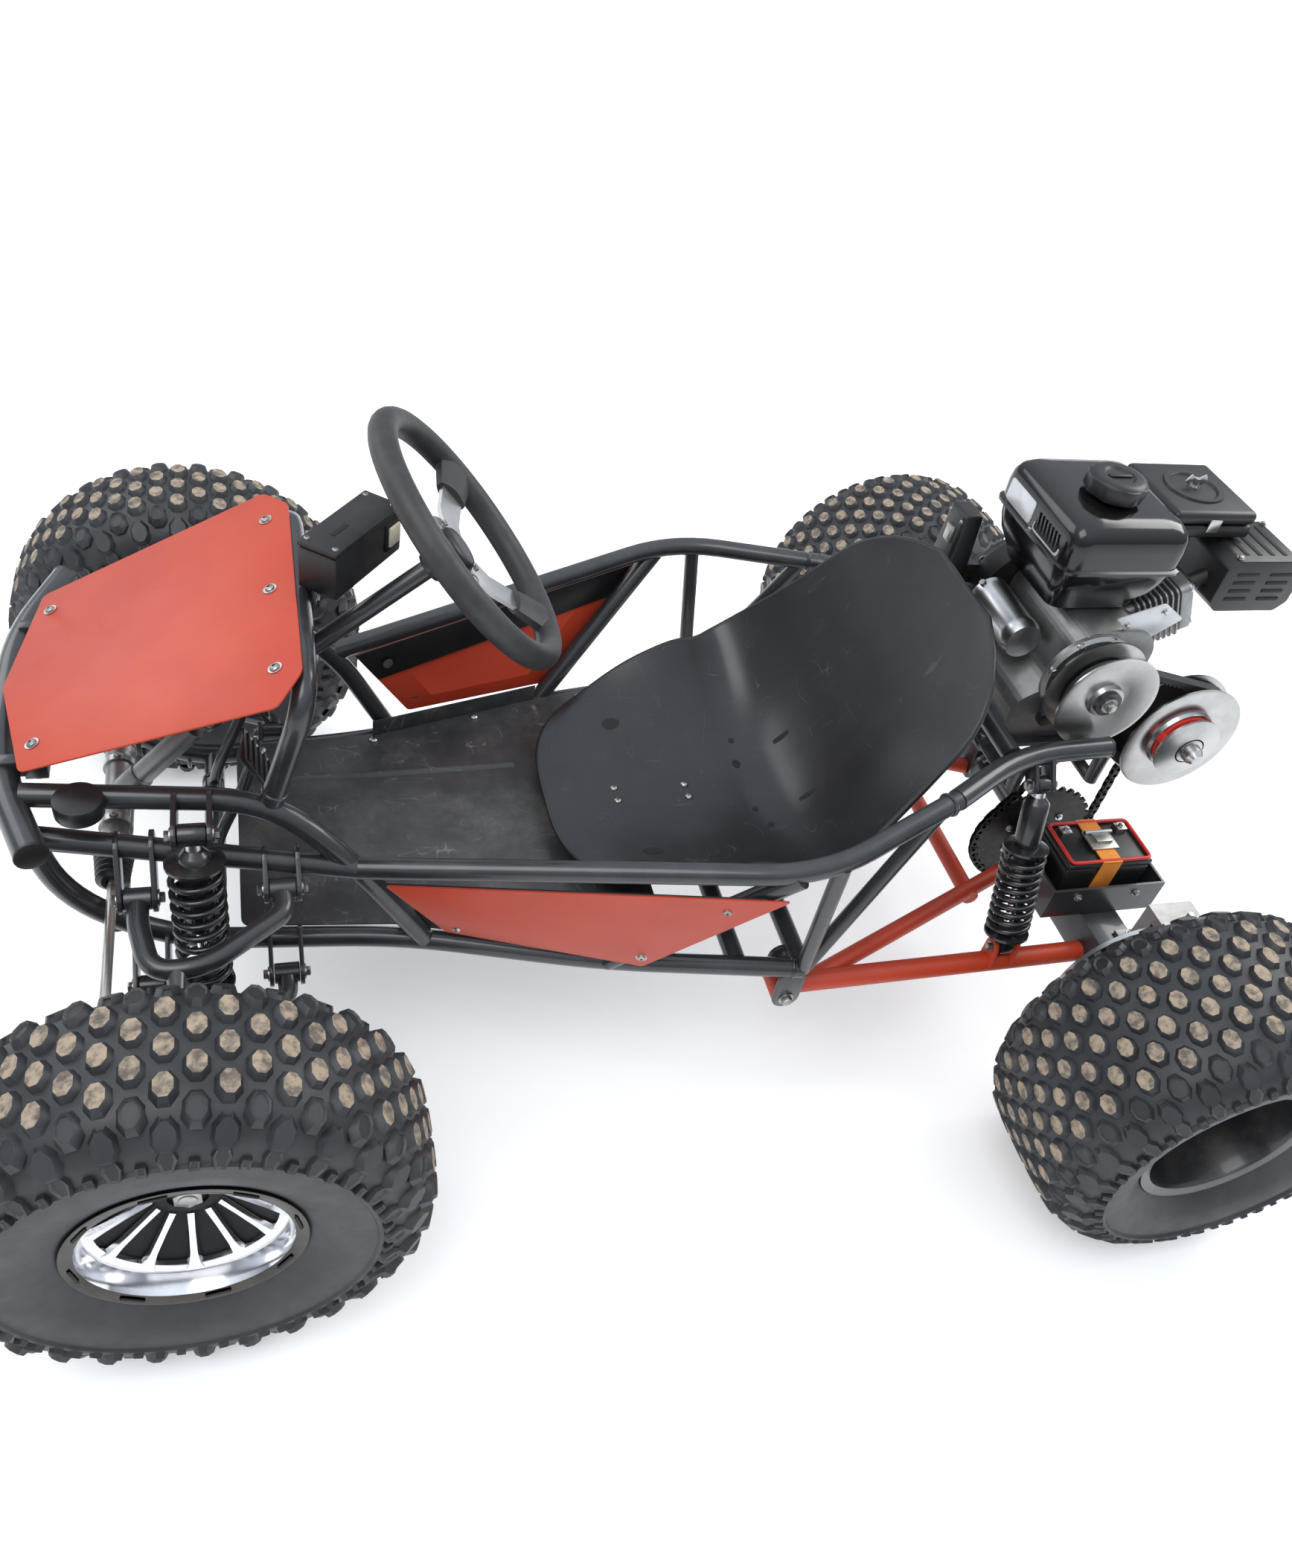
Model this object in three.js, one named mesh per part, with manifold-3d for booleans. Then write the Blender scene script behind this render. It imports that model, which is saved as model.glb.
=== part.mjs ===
// Off-road kart: a tubular frame with double-wishbone front suspension, a sprung rear
// swing arm with a live axle, a single-cylinder engine and a belt-and-chain drive.
// Millimetres. X points forward, Y to the driver's left and Z up. The sizes below are
// measured from the rear axle; the finished group stands on the middle of its footprint.
import * as THREE from "three";
import { mergeVertices } from "three/addons/utils/BufferGeometryUtils.js";
import Module from "manifold-3d";

const wasm = await Module();
wasm.setup();
const { Manifold, Mesh: SolidMesh } = wasm;

// Stance and wheels
const WHEELBASE = 1180;
const FRONT_TRACK = 911;
const REAR_TRACK = 995;
const FRONT_TYRE_RADIUS = 241.5;
const FRONT_TYRE_WIDTH = 178;
const REAR_TYRE_RADIUS = 228.5;
const REAR_TYRE_WIDTH = 241;
const BEAD_RADIUS = 104;
const FLANGE_RADIUS = 113;
const FLANGE_THICKNESS = 4.4;
const RIM_WALL = 4;
const RIM_DISC_THICKNESS = 8;
const FRONT_DISC_OFFSET = 2;
const REAR_DISC_OFFSET = -30;
const HUB_RADIUS = 30;
const FRONT_HUB_INNER = 30;
const REAR_HUB_INNER = 50;

// Clearances shared by all fits
const GAP = 0.3;
const RUNNING_CLEARANCE = 0.5;
const OVERRUN = 2;
const WELD_DISTANCE = 0.001;

// Main frame tubes
const RAIL_RADIUS = 12.5;
const BRACE_RADIUS = 10;
const HOOP_RADIUS = 13.5;
const BUMPER_RADIUS = 16;
const RAIL_BEND = 70;
const HOOP_BEND = 55;
const FLOOR_RAIL_Z = 255;
const RAIL_REAR_X = 458;
const RAIL_REAR_Y = 283;
const RAIL_WAIST_X = 707;
const RAIL_WAIST_Y = 241;
const RAIL_KNEE_LEAD = -236;
const RAIL_KNEE_Y = 175;
const NOSE_BEND_LEAD = 16;
const NOSE_BEND_Y = 152;
const NOSE_MIDDLE_LEAD = 118;
const NOSE_MIDDLE_Y = 161;
const NOSE_MIDDLE_Z = 352;
const NOSE_TOP_LEAD = 140;
const NOSE_TOP_Y = 168;
const FRONT_CROSS_LEAD = -30;

// Upper rails, middle rails, bumper and front hoop
const BUMPER_Z = 488;
const BUMPER_END_LEAD = 122;
const BUMPER_END_Y = 228;
const BUMPER_SHOULDER_LEAD = 164;
const BUMPER_SHOULDER_Y = 110;
const UPPER_RAIL_FRONT_LEAD = 138;
const UPPER_RAIL_FRONT_Y = 150;
const UPPER_RAIL_FRONT_Z = 494;
const HOOP_FOOT_LEAD = -100;
const HOOP_FOOT_Y = 162;
const HOOP_FOOT_Z = 480;
const STRUT_TOP_LEAD = -186;
const STRUT_TOP_Y = 191;
const STRUT_TOP_Z = 397;
const STRUT_FOOT_LEAD = -267;
const STRUT_FOOT_Y = 184;
const MIDDLE_RAIL_FRONT_LEAD = 136;
const MIDDLE_RAIL_FRONT_Y = 166;
const MIDDLE_RAIL_FRONT_Z = 450;
const HOOP_TOP_LEAD = -138;
const HOOP_TOP_Y = 172;
const HOOP_TOP_Z = 627;

// Waist rails, rear hoop, braces and engine cradle
const WAIST_BEND_X = 508;
const WAIST_BEND_Y = 325;
const WAIST_BEND_Z = 480;
const SLEEVE_X = 313;
const SLEEVE_Y = 243;
const SLEEVE_Z = 500;
const REAR_BEND_X = 196;
const REAR_BEND_Y = 178;
const REAR_HOOP_Z = 505;
const REAR_END_X = 62;
const REAR_END_Y = 172;
const SIDE_BRACE_FOOT_X = 702;
const SIDE_BRACE_FOOT_Y = 242;
const SIDE_BRACE_TOP_X = 530;
const SIDE_BRACE_TOP_Y = 319;
const SIDE_BRACE_TOP_Z = 472;
const REAR_BRACE_TOP_X = 332;
const REAR_BRACE_TOP_Y = 251;
const SHORT_BRACE_TOP_X = 480;
const SHORT_BRACE_TOP_Y = 313;
const CRADLE_THICKNESS = 6;
const CRADLE_FRONT_X = 186;
const CRADLE_SIDE_REAR_X = 66;
const CRADLE_REAR_X = 26;
const CRADLE_HALF_WIDTH = 104;
const CRADLE_HANGER_RADIUS = 9;
const SEAT_CROSS_X = 208;

// Front wishbones, kingpins and steering knuckles
const ARM_PIVOT_Y = 208;
const LOWER_PIVOT_Z = 245;
const UPPER_PIVOT_Z = 392;
const ARM_SPAN_Y = 118;
const ARM_DROP = 20;
const ARM_FRONT_LEAD = 38;
const ARM_REAR_LEAD = -106;
const ARM_STRAIGHT = 30;
const ARM_BEND = 14;
const ARM_TUBE_RADIUS = 11;
const ARM_CROSS_Y = 294;
const ARM_CROSS_HALF = 26;
const NECK_ROD_RADIUS = 9;
const ARM_BRACE_HALF = 9;
const OPEN_PIN_CLEARANCE = 1.6;
const EYE_RADIUS = 12;
const EYE_LENGTH = 28;
const PIVOT_PIN_RADIUS = 5;
const LUG_THICKNESS = 5;
const LUG_RADIUS = 13;
const KINGPIN_Y = 362;
const POST_Y = 338;
const POST_THICKNESS = 8;
const POST_WIDTH = 16;
const POST_BOTTOM_Z = 205;
const POST_TOP_Z = 383;
const EAR_THICKNESS = 8;
const EAR_RADIUS = 10.5;
const KINGPIN_RADIUS = 6;
const KNUCKLE_RADIUS = 13;
const SPINDLE_RADIUS = 10;
const SPINDLE_END_NUT = 16;
const NUT_THICKNESS = 10;
const JOINT_LENGTH = 20;
const JOINT_RADIUS = 10.5;

// Steering
const RACK_LEAD = 72;
const RACK_Z = 340;
const RACK_RADIUS = 17;
const RACK_BAR_DROP = 43;
const RACK_HALF_LENGTH = 82;
const BOOT_LENGTH = 54;
const BOOT_RADIUS = 23;
const BOOT_VALLEY_RADIUS = 18;
const BOOT_BORE_RADIUS = 9;
const BOOT_RIBS = 5;
const BOOT_SIDES = 8;
const TIE_ROD_RADIUS = 5.5;
const TIE_ROD_INNER_Y = 112;
const STEERING_ARM_THICKNESS = 9;
const STEERING_ARM_WIDTH = 14;
const TIE_ROD_EYE_RADIUS = 8;
const COLUMN_RADIUS = 11;
const COLUMN_SLOPE_DEG = 40;
const WHEEL_CENTRE_LEAD = -317;
const WHEEL_CENTRE_Z = 694;
const WHEEL_RIM_RADIUS = 145;
const WHEEL_GRIP_RADIUS = 15;
const WHEEL_HUB_RADIUS = 42;
const WHEEL_HUB_THICKNESS = 8;
const WHEEL_SPOKE_WIDTH = 34;
const WHEEL_SPOKE_THICKNESS = 5;
const WHEEL_DISH = 22;
const COLUMN_LENGTH = 378;
const COLLAR_DISTANCE = 234;
const COLLAR_LENGTH = 24;
const COLLAR_RADIUS = 19;
const PINION_TOWER_RADIUS = 15;

// Front shocks
const FRONT_SHOCK_LEAD = -22;
const FRONT_SHOCK_TOP_Y = 212;
const FRONT_SHOCK_TOP_Z = 487;
const FRONT_SHOCK_FOOT_Y = 252;
const FRONT_SHOCK_FOOT_Z = 264;
const FRONT_SPRING_RADIUS = 25;
const FRONT_WIRE_RADIUS = 3.6;
const FRONT_SPRING_CURLS = 7;
const FRONT_BODY_RADIUS = 17;
const FRONT_SEAT_RADIUS = 31;
const FRONT_BODY_SHARE = 0.52;
const FRONT_BODY_TOP_SHARE = 0.1;
const FRONT_BORE_SHARE = 0.2;
const FRONT_ROD_SHARE = 0.4;
const FRONT_SPRING_TOP_SHARE = 0.16;
const FRONT_SPRING_FOOT_SHARE = 0.86;

// Rear swing arm, axle and shocks
const SWING_PIVOT_X = 470;
const SWING_PIVOT_Z = 205;
const SWING_PIVOT_Y = 268;
const SWING_TUBE_RADIUS = 14;
const SWING_BRACE_RADIUS = 12;
const SWING_TUBE_REAR_Z = 200;
const SWING_TUBE_REAR_Y = 272;
const SWING_EYE_RADIUS = 18;
const SWING_EYE_LENGTH = 34;
const SWING_PIN_RADIUS = 6;
const SWING_CROSS_X = 142;
const BEAM_HALF_DEPTH = 30;
const BEAM_HALF_HEIGHT = 30;
const BEAM_INNER_Y = 86;
const BEAM_OUTER_Y = 306;
const BEARING_RADIUS = 34;
const BEARING_LENGTH = 10;
const AXLE_RADIUS = 15;
const AXLE_NUT_RADIUS = 22;
const DISC_RADIUS = 104;
const DISC_THICKNESS = 6;
const DISC_Y = 333;
const DISC_HUB_RADIUS = 27;
const DISC_HUB_LENGTH = 26;
const CALIPER_LEAD = -26;
const CALIPER_RISE = 96;
const CALIPER_LENGTH = 66;
const CALIPER_HEIGHT = 52;
const CALIPER_WIDTH = 50;
const CALIPER_FOOT = 26;
const REAR_SHOCK_TOP_X = 166;
const REAR_SHOCK_TOP_Y = 201;
const REAR_SHOCK_TOP_Z = 474;
const REAR_SHOCK_FOOT_X = 158;
const REAR_SHOCK_FOOT_Y = 270;
const REAR_SHOCK_FOOT_Z = 242;
const REAR_SPRING_RADIUS = 25;
const REAR_WIRE_RADIUS = 3.4;
const REAR_SPRING_CURLS = 9;
const REAR_BODY_RADIUS = 17;
const REAR_SEAT_RADIUS = 29;
const REAR_BODY_SHARE = 0.6;
const REAR_BODY_TOP_SHARE = 0.09;
const REAR_BORE_SHARE = 0.2;
const REAR_ROD_SHARE = 0.44;
const REAR_SPRING_TOP_SHARE = 0.38;
const REAR_SPRING_FOOT_SHARE = 0.9;
const REAR_EYE_LENGTH = 18;
const REAR_FOOT_EYE_LENGTH = 12;
const REAR_FOOT_SPREAD = 27;
const REAR_FOOT_CLEARANCE = 3;
const REAR_EYE_RADIUS = 12;
const DAMPER_ROD_RADIUS = 6;
const DAMPER_FOOT_RADIUS = 9;
const SPRING_SEAT_THICKNESS = 4;
const SPRING_LEAD_WIRES = 4;
const SPRING_STRAIGHT_WIRES = 2;

// Drive line
const CRANK_X = 81;
const CRANK_Z = 560;
const CRANK_RADIUS = 10;
const JACKSHAFT_X = -65;
const JACKSHAFT_Z = 492;
const JACKSHAFT_RADIUS = 8;
const BELT_Y = 135;
const BELT_WIDTH = 18;
const BELT_THICKNESS = 11;
const CLUTCH_RADIUS = 69.5;
const CLUTCH_INNER_Y = 112;
const CLUTCH_OUTER_Y = 150;
const CLUTCH_BELT_RADIUS = 38;
const DRIVEN_RADIUS = 84;
const DRIVEN_BELT_RADIUS = 64;
const SHEAVE_WALL = 5;
const DRIVEN_CAM_RADIUS = 46;
const DRIVEN_OUTER_Y = 174;
const JACKSHAFT_END_Y = 194;
const CHAIN_Y = 60;
const CHAIN_WIDTH = 9;
const CHAIN_THICKNESS = 8;
const AXLE_SPROCKET_TEETH = 32;
const JACK_SPROCKET_TEETH = 8;
const AXLE_SPROCKET_RADIUS = 92;
const SPROCKET_THICKNESS = 5;
const TOOTH_DEPTH = 6;

// Engine
const ENGINE_BASE_Z = 454;
const CASE_FRONT_X = 166;
const CASE_REAR_X = -6;
const CASE_LEFT_Y = 96;
const CASE_RIGHT_Y = -72;
const CASE_TOP_Z = 624;
const STARTER_X = 152;
const STARTER_Z = 574;
const STARTER_RADIUS = 28.5;
const STARTER_LEFT_Y = 44;
const STARTER_RIGHT_Y = -70;
const STARTER_FACE_SHARE = 0.72;
const CYLINDER_TILT_DEG = 25;
const CYLINDER_HALF = 34;
const CYLINDER_START = 86;
const CYLINDER_LENGTH = 172;
const CYLINDER_Y = 14;
const FIN_HALF = 40;
const FIN_THICKNESS = 4;
const FIN_PITCH = 11;
const FIN_COUNT = 4;
const CONVERTER_PLATE = 5;
const BEARING_HOUSING_RADIUS = 26;
const BEARING_HOUSING_GAP = 16;
const RECOIL_RADIUS = 78;
const RECOIL_DEPTH = 66;
const CONTROL_BOX_X = 189;
const CONTROL_BOX_Y = -122;
const CONTROL_BOX_LENGTH = 36;
const CONTROL_BOX_WIDTH = 52;
const CONTROL_BOX_FOOT_Z = 545;
const CONTROL_BOX_TOP_Z = 668;
const TANK_X = 79;
const TANK_Y = -22;
const TANK_LENGTH = 176;
const TANK_WIDTH = 190;
const TANK_FOOT_Z = 641;
const TANK_SEAM_Z = 697;
const TANK_TOP_Z = 758;
const TANK_SEAM_LIP = 5;
const TANK_CORNER = 30;
const TANK_FOOT = 34;
const CAP_X = 84;
const CAP_Y = -6;
const CAP_RADIUS = 38;
const CAP_HEIGHT = 24;
const NECK_RADIUS = 24;
const NECK_HEIGHT = 6;
const CLEANER_X = -84;
const CLEANER_Y = -66;
const CLEANER_LENGTH = 128;
const CLEANER_WIDTH = 118;
const CLEANER_FOOT_Z = 704;
const CLEANER_TOP_Z = 744;
const CLEANER_STEM_X = -48;
const CLEANER_STEM_Y = -10;
const CLEANER_STEM_HALF = 13;
const MUFFLER_STAND_OFF = 23.1;
const MUFFLER_LENGTH = 124;
const MUFFLER_LEFT_Y = 48;
const MUFFLER_RIGHT_Y = -48;
const MUFFLER_FOOT_Z = 622;
const MUFFLER_TOP_Z = 700;
const MUFFLER_CHAMFER = 14;
const EXHAUST_RADIUS = 12;

// Bodywork, seat and small fittings
const SHEET = 2.5;
const FLOOR_FRONT_LEAD = -58;
const FLOOR_REAR_X = 622;
const FLOOR_EDGE_INSET = 6;
const HOOD_REAR_LEAD = -135;
const HOOD_REAR_HALF = 150;
const HOOD_CORNER_LEAD = -109;
const HOOD_CORNER_HALF = 190;
const HOOD_FRONT_LEAD = 136;
const HOOD_FRONT_HALF = 146;
const HOOD_TIP_LEAD = 166;
const HOOD_FRONT_Z = 521;
const HOOD_STAND_OFF = 17.6;
const HOOD_TAB_LEAD = 125;
const HOOD_TAB_Y = 111;
const HOOD_TAB_WIDTH = 22;
const PANEL_CLEARANCE = 0.3;
const PANEL_REAR_CLEARANCE = 6.5;
const PANEL_TOP_REAR_X = 540;
const PANEL_TOP_REAR_Z = 447;
const PANEL_FOOT_REAR_X = 667;
const PANEL_FOOT_REAR_Z = 274;
const PANEL_TOP_FRONT_LEAD = -214;
const PANEL_TOP_FRONT_Z = 380;
const PANEL_FOOT_FRONT_LEAD = -287;
const PANEL_FOOT_FRONT_Z = 285;
const SEAT_SHEET = 4;
const SEAT_FRONT_X = 736;
const SEAT_FRONT_Z = 300;
const SEAT_PAN_Z = 292;
const SEAT_TOP_X = 239;
const SEAT_TOP_Z = 637;
const SEAT_HALF_WIDTH = 228;
const SEAT_DEPTH = 92;
const SEAT_BAR_X = 540;
const SEAT_PAD_Y = 12;
const SEAT_FRONT_PAD_X = 640;
const DASH_LEAD = -195;
const DASH_Y = -28;
const DASH_FOOT_Z = 640;
const DASH_LENGTH = 126;
const DASH_WIDTH = 48;
const DASH_HEIGHT = 58;
const DASH_TURN_DEG = 52;
const DASH_TAB_Y = 3;
const DASH_TAB_HALF = 12;
const PEDAL_Y = 62;
const PEDAL_PIVOT_LEAD = -30;
const PEDAL_PIVOT_Z = 288;
const PEDAL_PAD_LEAD = -84;
const PEDAL_PAD_Z = 442;
const PEDAL_PAD_WIDTH = 52;
const PEDAL_PAD_HEIGHT = 66;
const PEDAL_PAD_THICKNESS = 8;
const PEDAL_LEVER_WIDTH = 14;
const TRAY_X = 6;
const TRAY_Y = 186;
const TRAY_LENGTH = 176;
const TRAY_WIDTH = 116;
const TRAY_HEIGHT = 52;
const TRAY_WALL = 4;
const BATTERY_LENGTH = 130;
const BATTERY_WIDTH = 76;
const BATTERY_HEIGHT = 78;

// Mesh fineness, in counts
const WHEEL_SIDES = 16;
const PULLEY_SIDES = 12;
const TUBE_SIDES = 6;
const ROUND_SIDES = 8;
const BEND_STEPS = 2;
const BAND_STEPS = 8;
const GRIP_SIDES = 6;
const GRIP_STEPS = 20;
const WIRE_SIDES = 4;
const CURL_STEPS = 7;
const NUT_SIDES = 6;
const COLLAR_BORE_SIDES = 12;

// Outlines as shares of the sizes that they follow
const TYRE_OUTER_SHARES = [[0, 0.73], [0.09, 0.735], [0.37, 1], [0.78, 0.97], [1, 0.52]];
const TYRE_INNER_SHARES = [[0.86, 0.62], [0.06, 0.62]];
const SEAT_CENTRE_SHARES = [
  [0, 0], [0.22, 0.02], [0.42, 0.02], [0.57, 0.02], [0.67, 0.08], [0.75, 0.22],
  [0.84, 0.46], [0.93, 0.75], [1, 1],
];
const SEAT_WIDTH_SHARES = [0.56, 0.74, 0.83, 0.91, 0.98, 1.01, 0.98, 0.86, 0.4];
const SEAT_DEPTH_SHARES = [0.12, 0.6, 0.92, 1, 0.94, 0.81, 0.56, 0.27, 0.03];
const SEAT_ACROSS_SHARES = [-1, -0.82, -0.58, -0.3, 0, 0.3, 0.58, 0.82, 1];
const BAND_WRAP_SHARE = 0.6;
const SEAT_CURL_POWER = 2.4;
const SPOKE_TAPER_SHARE = 0.5;
const RECOIL_STRAIGHT_SHARE = 0.6;
const RECOIL_FACE_SHARE = 0.8;
const RECOIL_ARM_SHARES = [0.33, 0.5];
const CAP_STRAIGHT_SHARE = 0.7;
const CAP_FACE_SHARE = 0.8;
const CASE_OUTLINE_SHARES = [
  [0, 0], [1, 0], [1, 0.36], [0.72, 0.53], [0.72, 0.86], [0.62, 1], [0.12, 1], [0, 0.86],
];
const SPOKE_ANGLES_DEG = [0, 90, 180];

// Places worked out from the sizes above
const FRONT_AXLE_X = WHEELBASE;
const FRONT_AXLE_Z = FRONT_TYRE_RADIUS;
const REAR_AXLE_Z = REAR_TYRE_RADIUS;
const ORIGIN_X = (WHEELBASE + FRONT_TYRE_RADIUS - REAR_TYRE_RADIUS) / 2;
const KINGPIN_X = FRONT_AXLE_X;
const JOINT_Y = ARM_PIVOT_Y + ARM_SPAN_Y;
const LOWER_JOINT_Z = LOWER_PIVOT_Z - ARM_DROP;
const UPPER_JOINT_Z = UPPER_PIVOT_Z - ARM_DROP;
const ahead = (lead) => FRONT_AXLE_X + lead;
const place = (x, y, z) => new THREE.Vector3(x, y, z);
const radians = THREE.MathUtils.degToRad;

// Turning three.js geometry into closed solids and back
function solidOf(geometry) {
  const loose = geometry.index ? geometry.toNonIndexed() : geometry;
  const bare = new THREE.BufferGeometry();
  bare.setAttribute("position", loose.getAttribute("position"));
  const merged = mergeVertices(bare, WELD_DISTANCE);
  const corners = merged.index.array;
  const faces = [];
  for (let i = 0; i < corners.length; i += 3) {
    const [a, b, c] = corners.slice(i, i + 3);
    if (a !== b && b !== c && c !== a) faces.push(a, b, c);
  }
  const vertProperties = new Float32Array(merged.attributes.position.array);
  const build = (order) =>
    new Manifold(new SolidMesh({ numProp: 3, vertProperties, triVerts: new Uint32Array(order) }));
  const made = build(faces);
  return made.volume() < 0 ? build(faces.reverse()) : made;
}

function geometryOf(solid) {
  const { vertProperties, triVerts, numProp } = solid.getMesh();
  const points = new Float32Array(triVerts.length * 3);
  triVerts.forEach((vertex, i) => {
    points.set(vertProperties.subarray(vertex * numProp, vertex * numProp + 3), i * 3);
  });
  const geometry = new THREE.BufferGeometry();
  geometry.setAttribute("position", new THREE.BufferAttribute(points, 3));
  geometry.computeVertexNormals();
  return geometry;
}

const join = (...solids) => Manifold.union(solids.flat());
const mirrored = (solid) => {
  const geometry = geometryOf(solid);
  geometry.scale(1, -1, 1);
  return solidOf(geometry);
};
const bothSides = (solid) => [solid, mirrored(solid)];

// Basic shapes
function block(low, high) {
  const size = high.clone().sub(low);
  const middle = high.clone().add(low).multiplyScalar(0.5);
  const geometry = new THREE.BoxGeometry(Math.abs(size.x), Math.abs(size.y), Math.abs(size.z));
  return solidOf(geometry.translate(middle.x, middle.y, middle.z));
}

const slab = (x0, x1, y0, y1, z0, z1) => block(place(x0, y0, z0), place(x1, y1, z1));

function rod(from, to, radius, sides = TUBE_SIDES, endRadius = radius) {
  const along = to.clone().sub(from);
  const geometry = new THREE.CylinderGeometry(endRadius, radius, along.length(), sides);
  geometry.rotateY(Math.PI / sides);
  const turn = new THREE.Quaternion().setFromUnitVectors(place(0, 1, 0), along.normalize());
  const middle = from.clone().add(to).multiplyScalar(0.5);
  return solidOf(geometry.applyQuaternion(turn).translate(middle.x, middle.y, middle.z));
}

// A hole that clears a round piece of the given radius, whatever way both are turned
const holeRadius = (radius, clearance, sides) =>
  (radius + clearance) / Math.cos(Math.PI / sides);

const hole = (from, to, radius, clearance = RUNNING_CLEARANCE, sides = TUBE_SIDES) => {
  const extra = to.clone().sub(from).setLength(OVERRUN);
  return rod(from.clone().sub(extra), to.clone().add(extra), holeRadius(radius, clearance, sides), sides);
};

// A path that is sampled exactly at its stations
class StationPath extends THREE.Curve {
  constructor(stations) {
    super();
    this.stations = stations;
  }

  getPoint(share, target = new THREE.Vector3()) {
    const last = this.stations.length - 1;
    const whole = Math.min(Math.round(share * last), last);
    return target.copy(this.stations[whole]);
  }

  getPointAt(share, target) {
    return this.getPoint(share, target);
  }

  getTangentAt(share, target = new THREE.Vector3()) {
    const last = this.stations.length - 1;
    const i = Math.min(Math.round(share * last), last);
    const before = this.stations[Math.max(i - 1, 0)];
    const here = this.stations[i];
    const after = this.stations[Math.min(i + 1, last)];
    const arriving = here.clone().sub(before).normalize();
    const leaving = after.clone().sub(here).normalize();
    return target.copy(arriving).add(leaving).normalize();
  }
}

function sweep(stations, radius, sides = TUBE_SIDES) {
  const section = new THREE.Shape();
  for (let i = 0; i < sides; i++) {
    const angle = ((i + 0.5) / sides) * 2 * Math.PI;
    section[i ? "lineTo" : "moveTo"](radius * Math.cos(angle), radius * Math.sin(angle));
  }
  section.closePath();
  const extrudePath = new StationPath(stations);
  const steps = stations.length - 1;
  return solidOf(new THREE.ExtrudeGeometry(section, { steps, bevelEnabled: false, extrudePath }));
}

// Rounds the corners of a route of straight runs
function rounded(route, bend) {
  const stations = [route[0]];
  for (let i = 1; i < route.length - 1; i++) {
    const here = route[i];
    const back = route[i - 1].clone().sub(here);
    const on = route[i + 1].clone().sub(here);
    const reach = Math.min(bend, back.length() / 2, on.length() / 2);
    const start = here.clone().add(back.setLength(reach));
    const end = here.clone().add(on.setLength(reach));
    const arc = new THREE.QuadraticBezierCurve3(start, here, end);
    stations.push(...arc.getPoints(BEND_STEPS));
  }
  stations.push(route[route.length - 1]);
  return stations.filter((point, i) => i === 0 || point.distanceTo(stations[i - 1]) > WELD_DISTANCE);
}

const pipe = (route, radius = RAIL_RADIUS, bend = RAIL_BEND) => sweep(rounded(route, bend), radius);

// A turned piece from [radius, distance] pairs of a closed outline; its flats touch the radii
const acrossY = place(0, 1, 0);

function turned(profile, at, axis = acrossY, sides = ROUND_SIDES) {
  const outer = 1 / Math.cos(Math.PI / sides);
  const points = profile.map(([radius, along]) => new THREE.Vector2(radius * outer, along));
  const [first, last] = [points[0], points[points.length - 1]];
  if (first.x > 0 || last.x > 0) points.push(first.clone());
  const geometry = new THREE.LatheGeometry(points, sides, Math.PI / sides);
  const turn = new THREE.Quaternion().setFromUnitVectors(acrossY, axis.clone().normalize());
  return solidOf(geometry.applyQuaternion(turn).translate(at.x, at.y, at.z));
}

// Joins rings of equally many points into one closed skin
function loft(rings) {
  const points = [];
  const add = (...corners) => corners.forEach((corner) => points.push(...corner.toArray()));
  rings.slice(1).forEach((ring, i) => {
    const under = rings[i];
    ring.forEach((corner, k) => {
      const next = (k + 1) % ring.length;
      add(under[k], under[next], ring[next], under[k], ring[next], corner);
    });
  });
  const close = (ring, turn) => {
    for (let k = 1; k < ring.length - 1; k++) {
      add(ring[0], turn ? ring[k] : ring[k + 1], turn ? ring[k + 1] : ring[k]);
    }
  };
  close(rings[0], false);
  close(rings[rings.length - 1], true);
  const geometry = new THREE.BufferGeometry();
  geometry.setAttribute("position", new THREE.Float32BufferAttribute(points, 3));
  return solidOf(geometry);
}

// A level ring of eight corners: a rectangle with its corners cut off
function ringAt(x, y, z, length, width, corner) {
  const [a, b] = [length / 2, width / 2];
  return [
    [a, b - corner], [a - corner, b], [corner - a, b], [-a, b - corner],
    [-a, corner - b], [corner - a, -b], [a - corner, -b], [a, corner - b],
  ].map(([dx, dy]) => place(x + dx, y + dy, z));
}

// A flat plate of any outline, given as points of its middle plane
function plate(outline, thickness) {
  const normal = outline[1].clone().sub(outline[0]).cross(outline[2].clone().sub(outline[1]));
  const half = normal.setLength(thickness / 2);
  const lower = outline.map((corner) => corner.clone().sub(half));
  const upper = outline.map((corner) => corner.clone().add(half));
  return loft([lower, upper]);
}

// A cross-section in the X-Z plane carried along Y
function prism(outline, y0, y1) {
  const ring = (y) => outline.map(([x, z]) => place(x, y, z));
  return loft([ring(y0), ring(y1)]);
}

// Materials, coloured as on the real kart
const finish = (color, roughness, metalness = 0) =>
  new THREE.MeshStandardMaterial({ color, roughness, metalness });
const blackPaint = finish(0x17181a, 0.45);
const redPaint = finish(0xc8321f, 0.4);
const rubber = finish(0x1c1c1d, 0.85);
const castAluminium = finish(0x9b9c9a, 0.5, 0.8);
const polishedMetal = finish(0xcfd0d2, 0.2, 1);
const darkPlastic = finish(0x141416, 0.5);
const tankBlack = finish(0x0c0c0e, 0.18);
const springBlack = finish(0x101012, 0.3, 0.4);
const zincSteel = finish(0xb59c52, 0.4, 0.9);
const rustySteel = finish(0x4a3027, 0.7, 0.5);

const kart = new THREE.Group();
kart.position.x = -ORIGIN_X;

function show(name, solid, material) {
  const mesh = new THREE.Mesh(geometryOf(solid), material.clone());
  mesh.name = name;
  kart.add(mesh);
}

function showPair(name, left, material) {
  show(name + "_left", left, material);
  show(name + "_right", mirrored(left), material);
}

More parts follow.
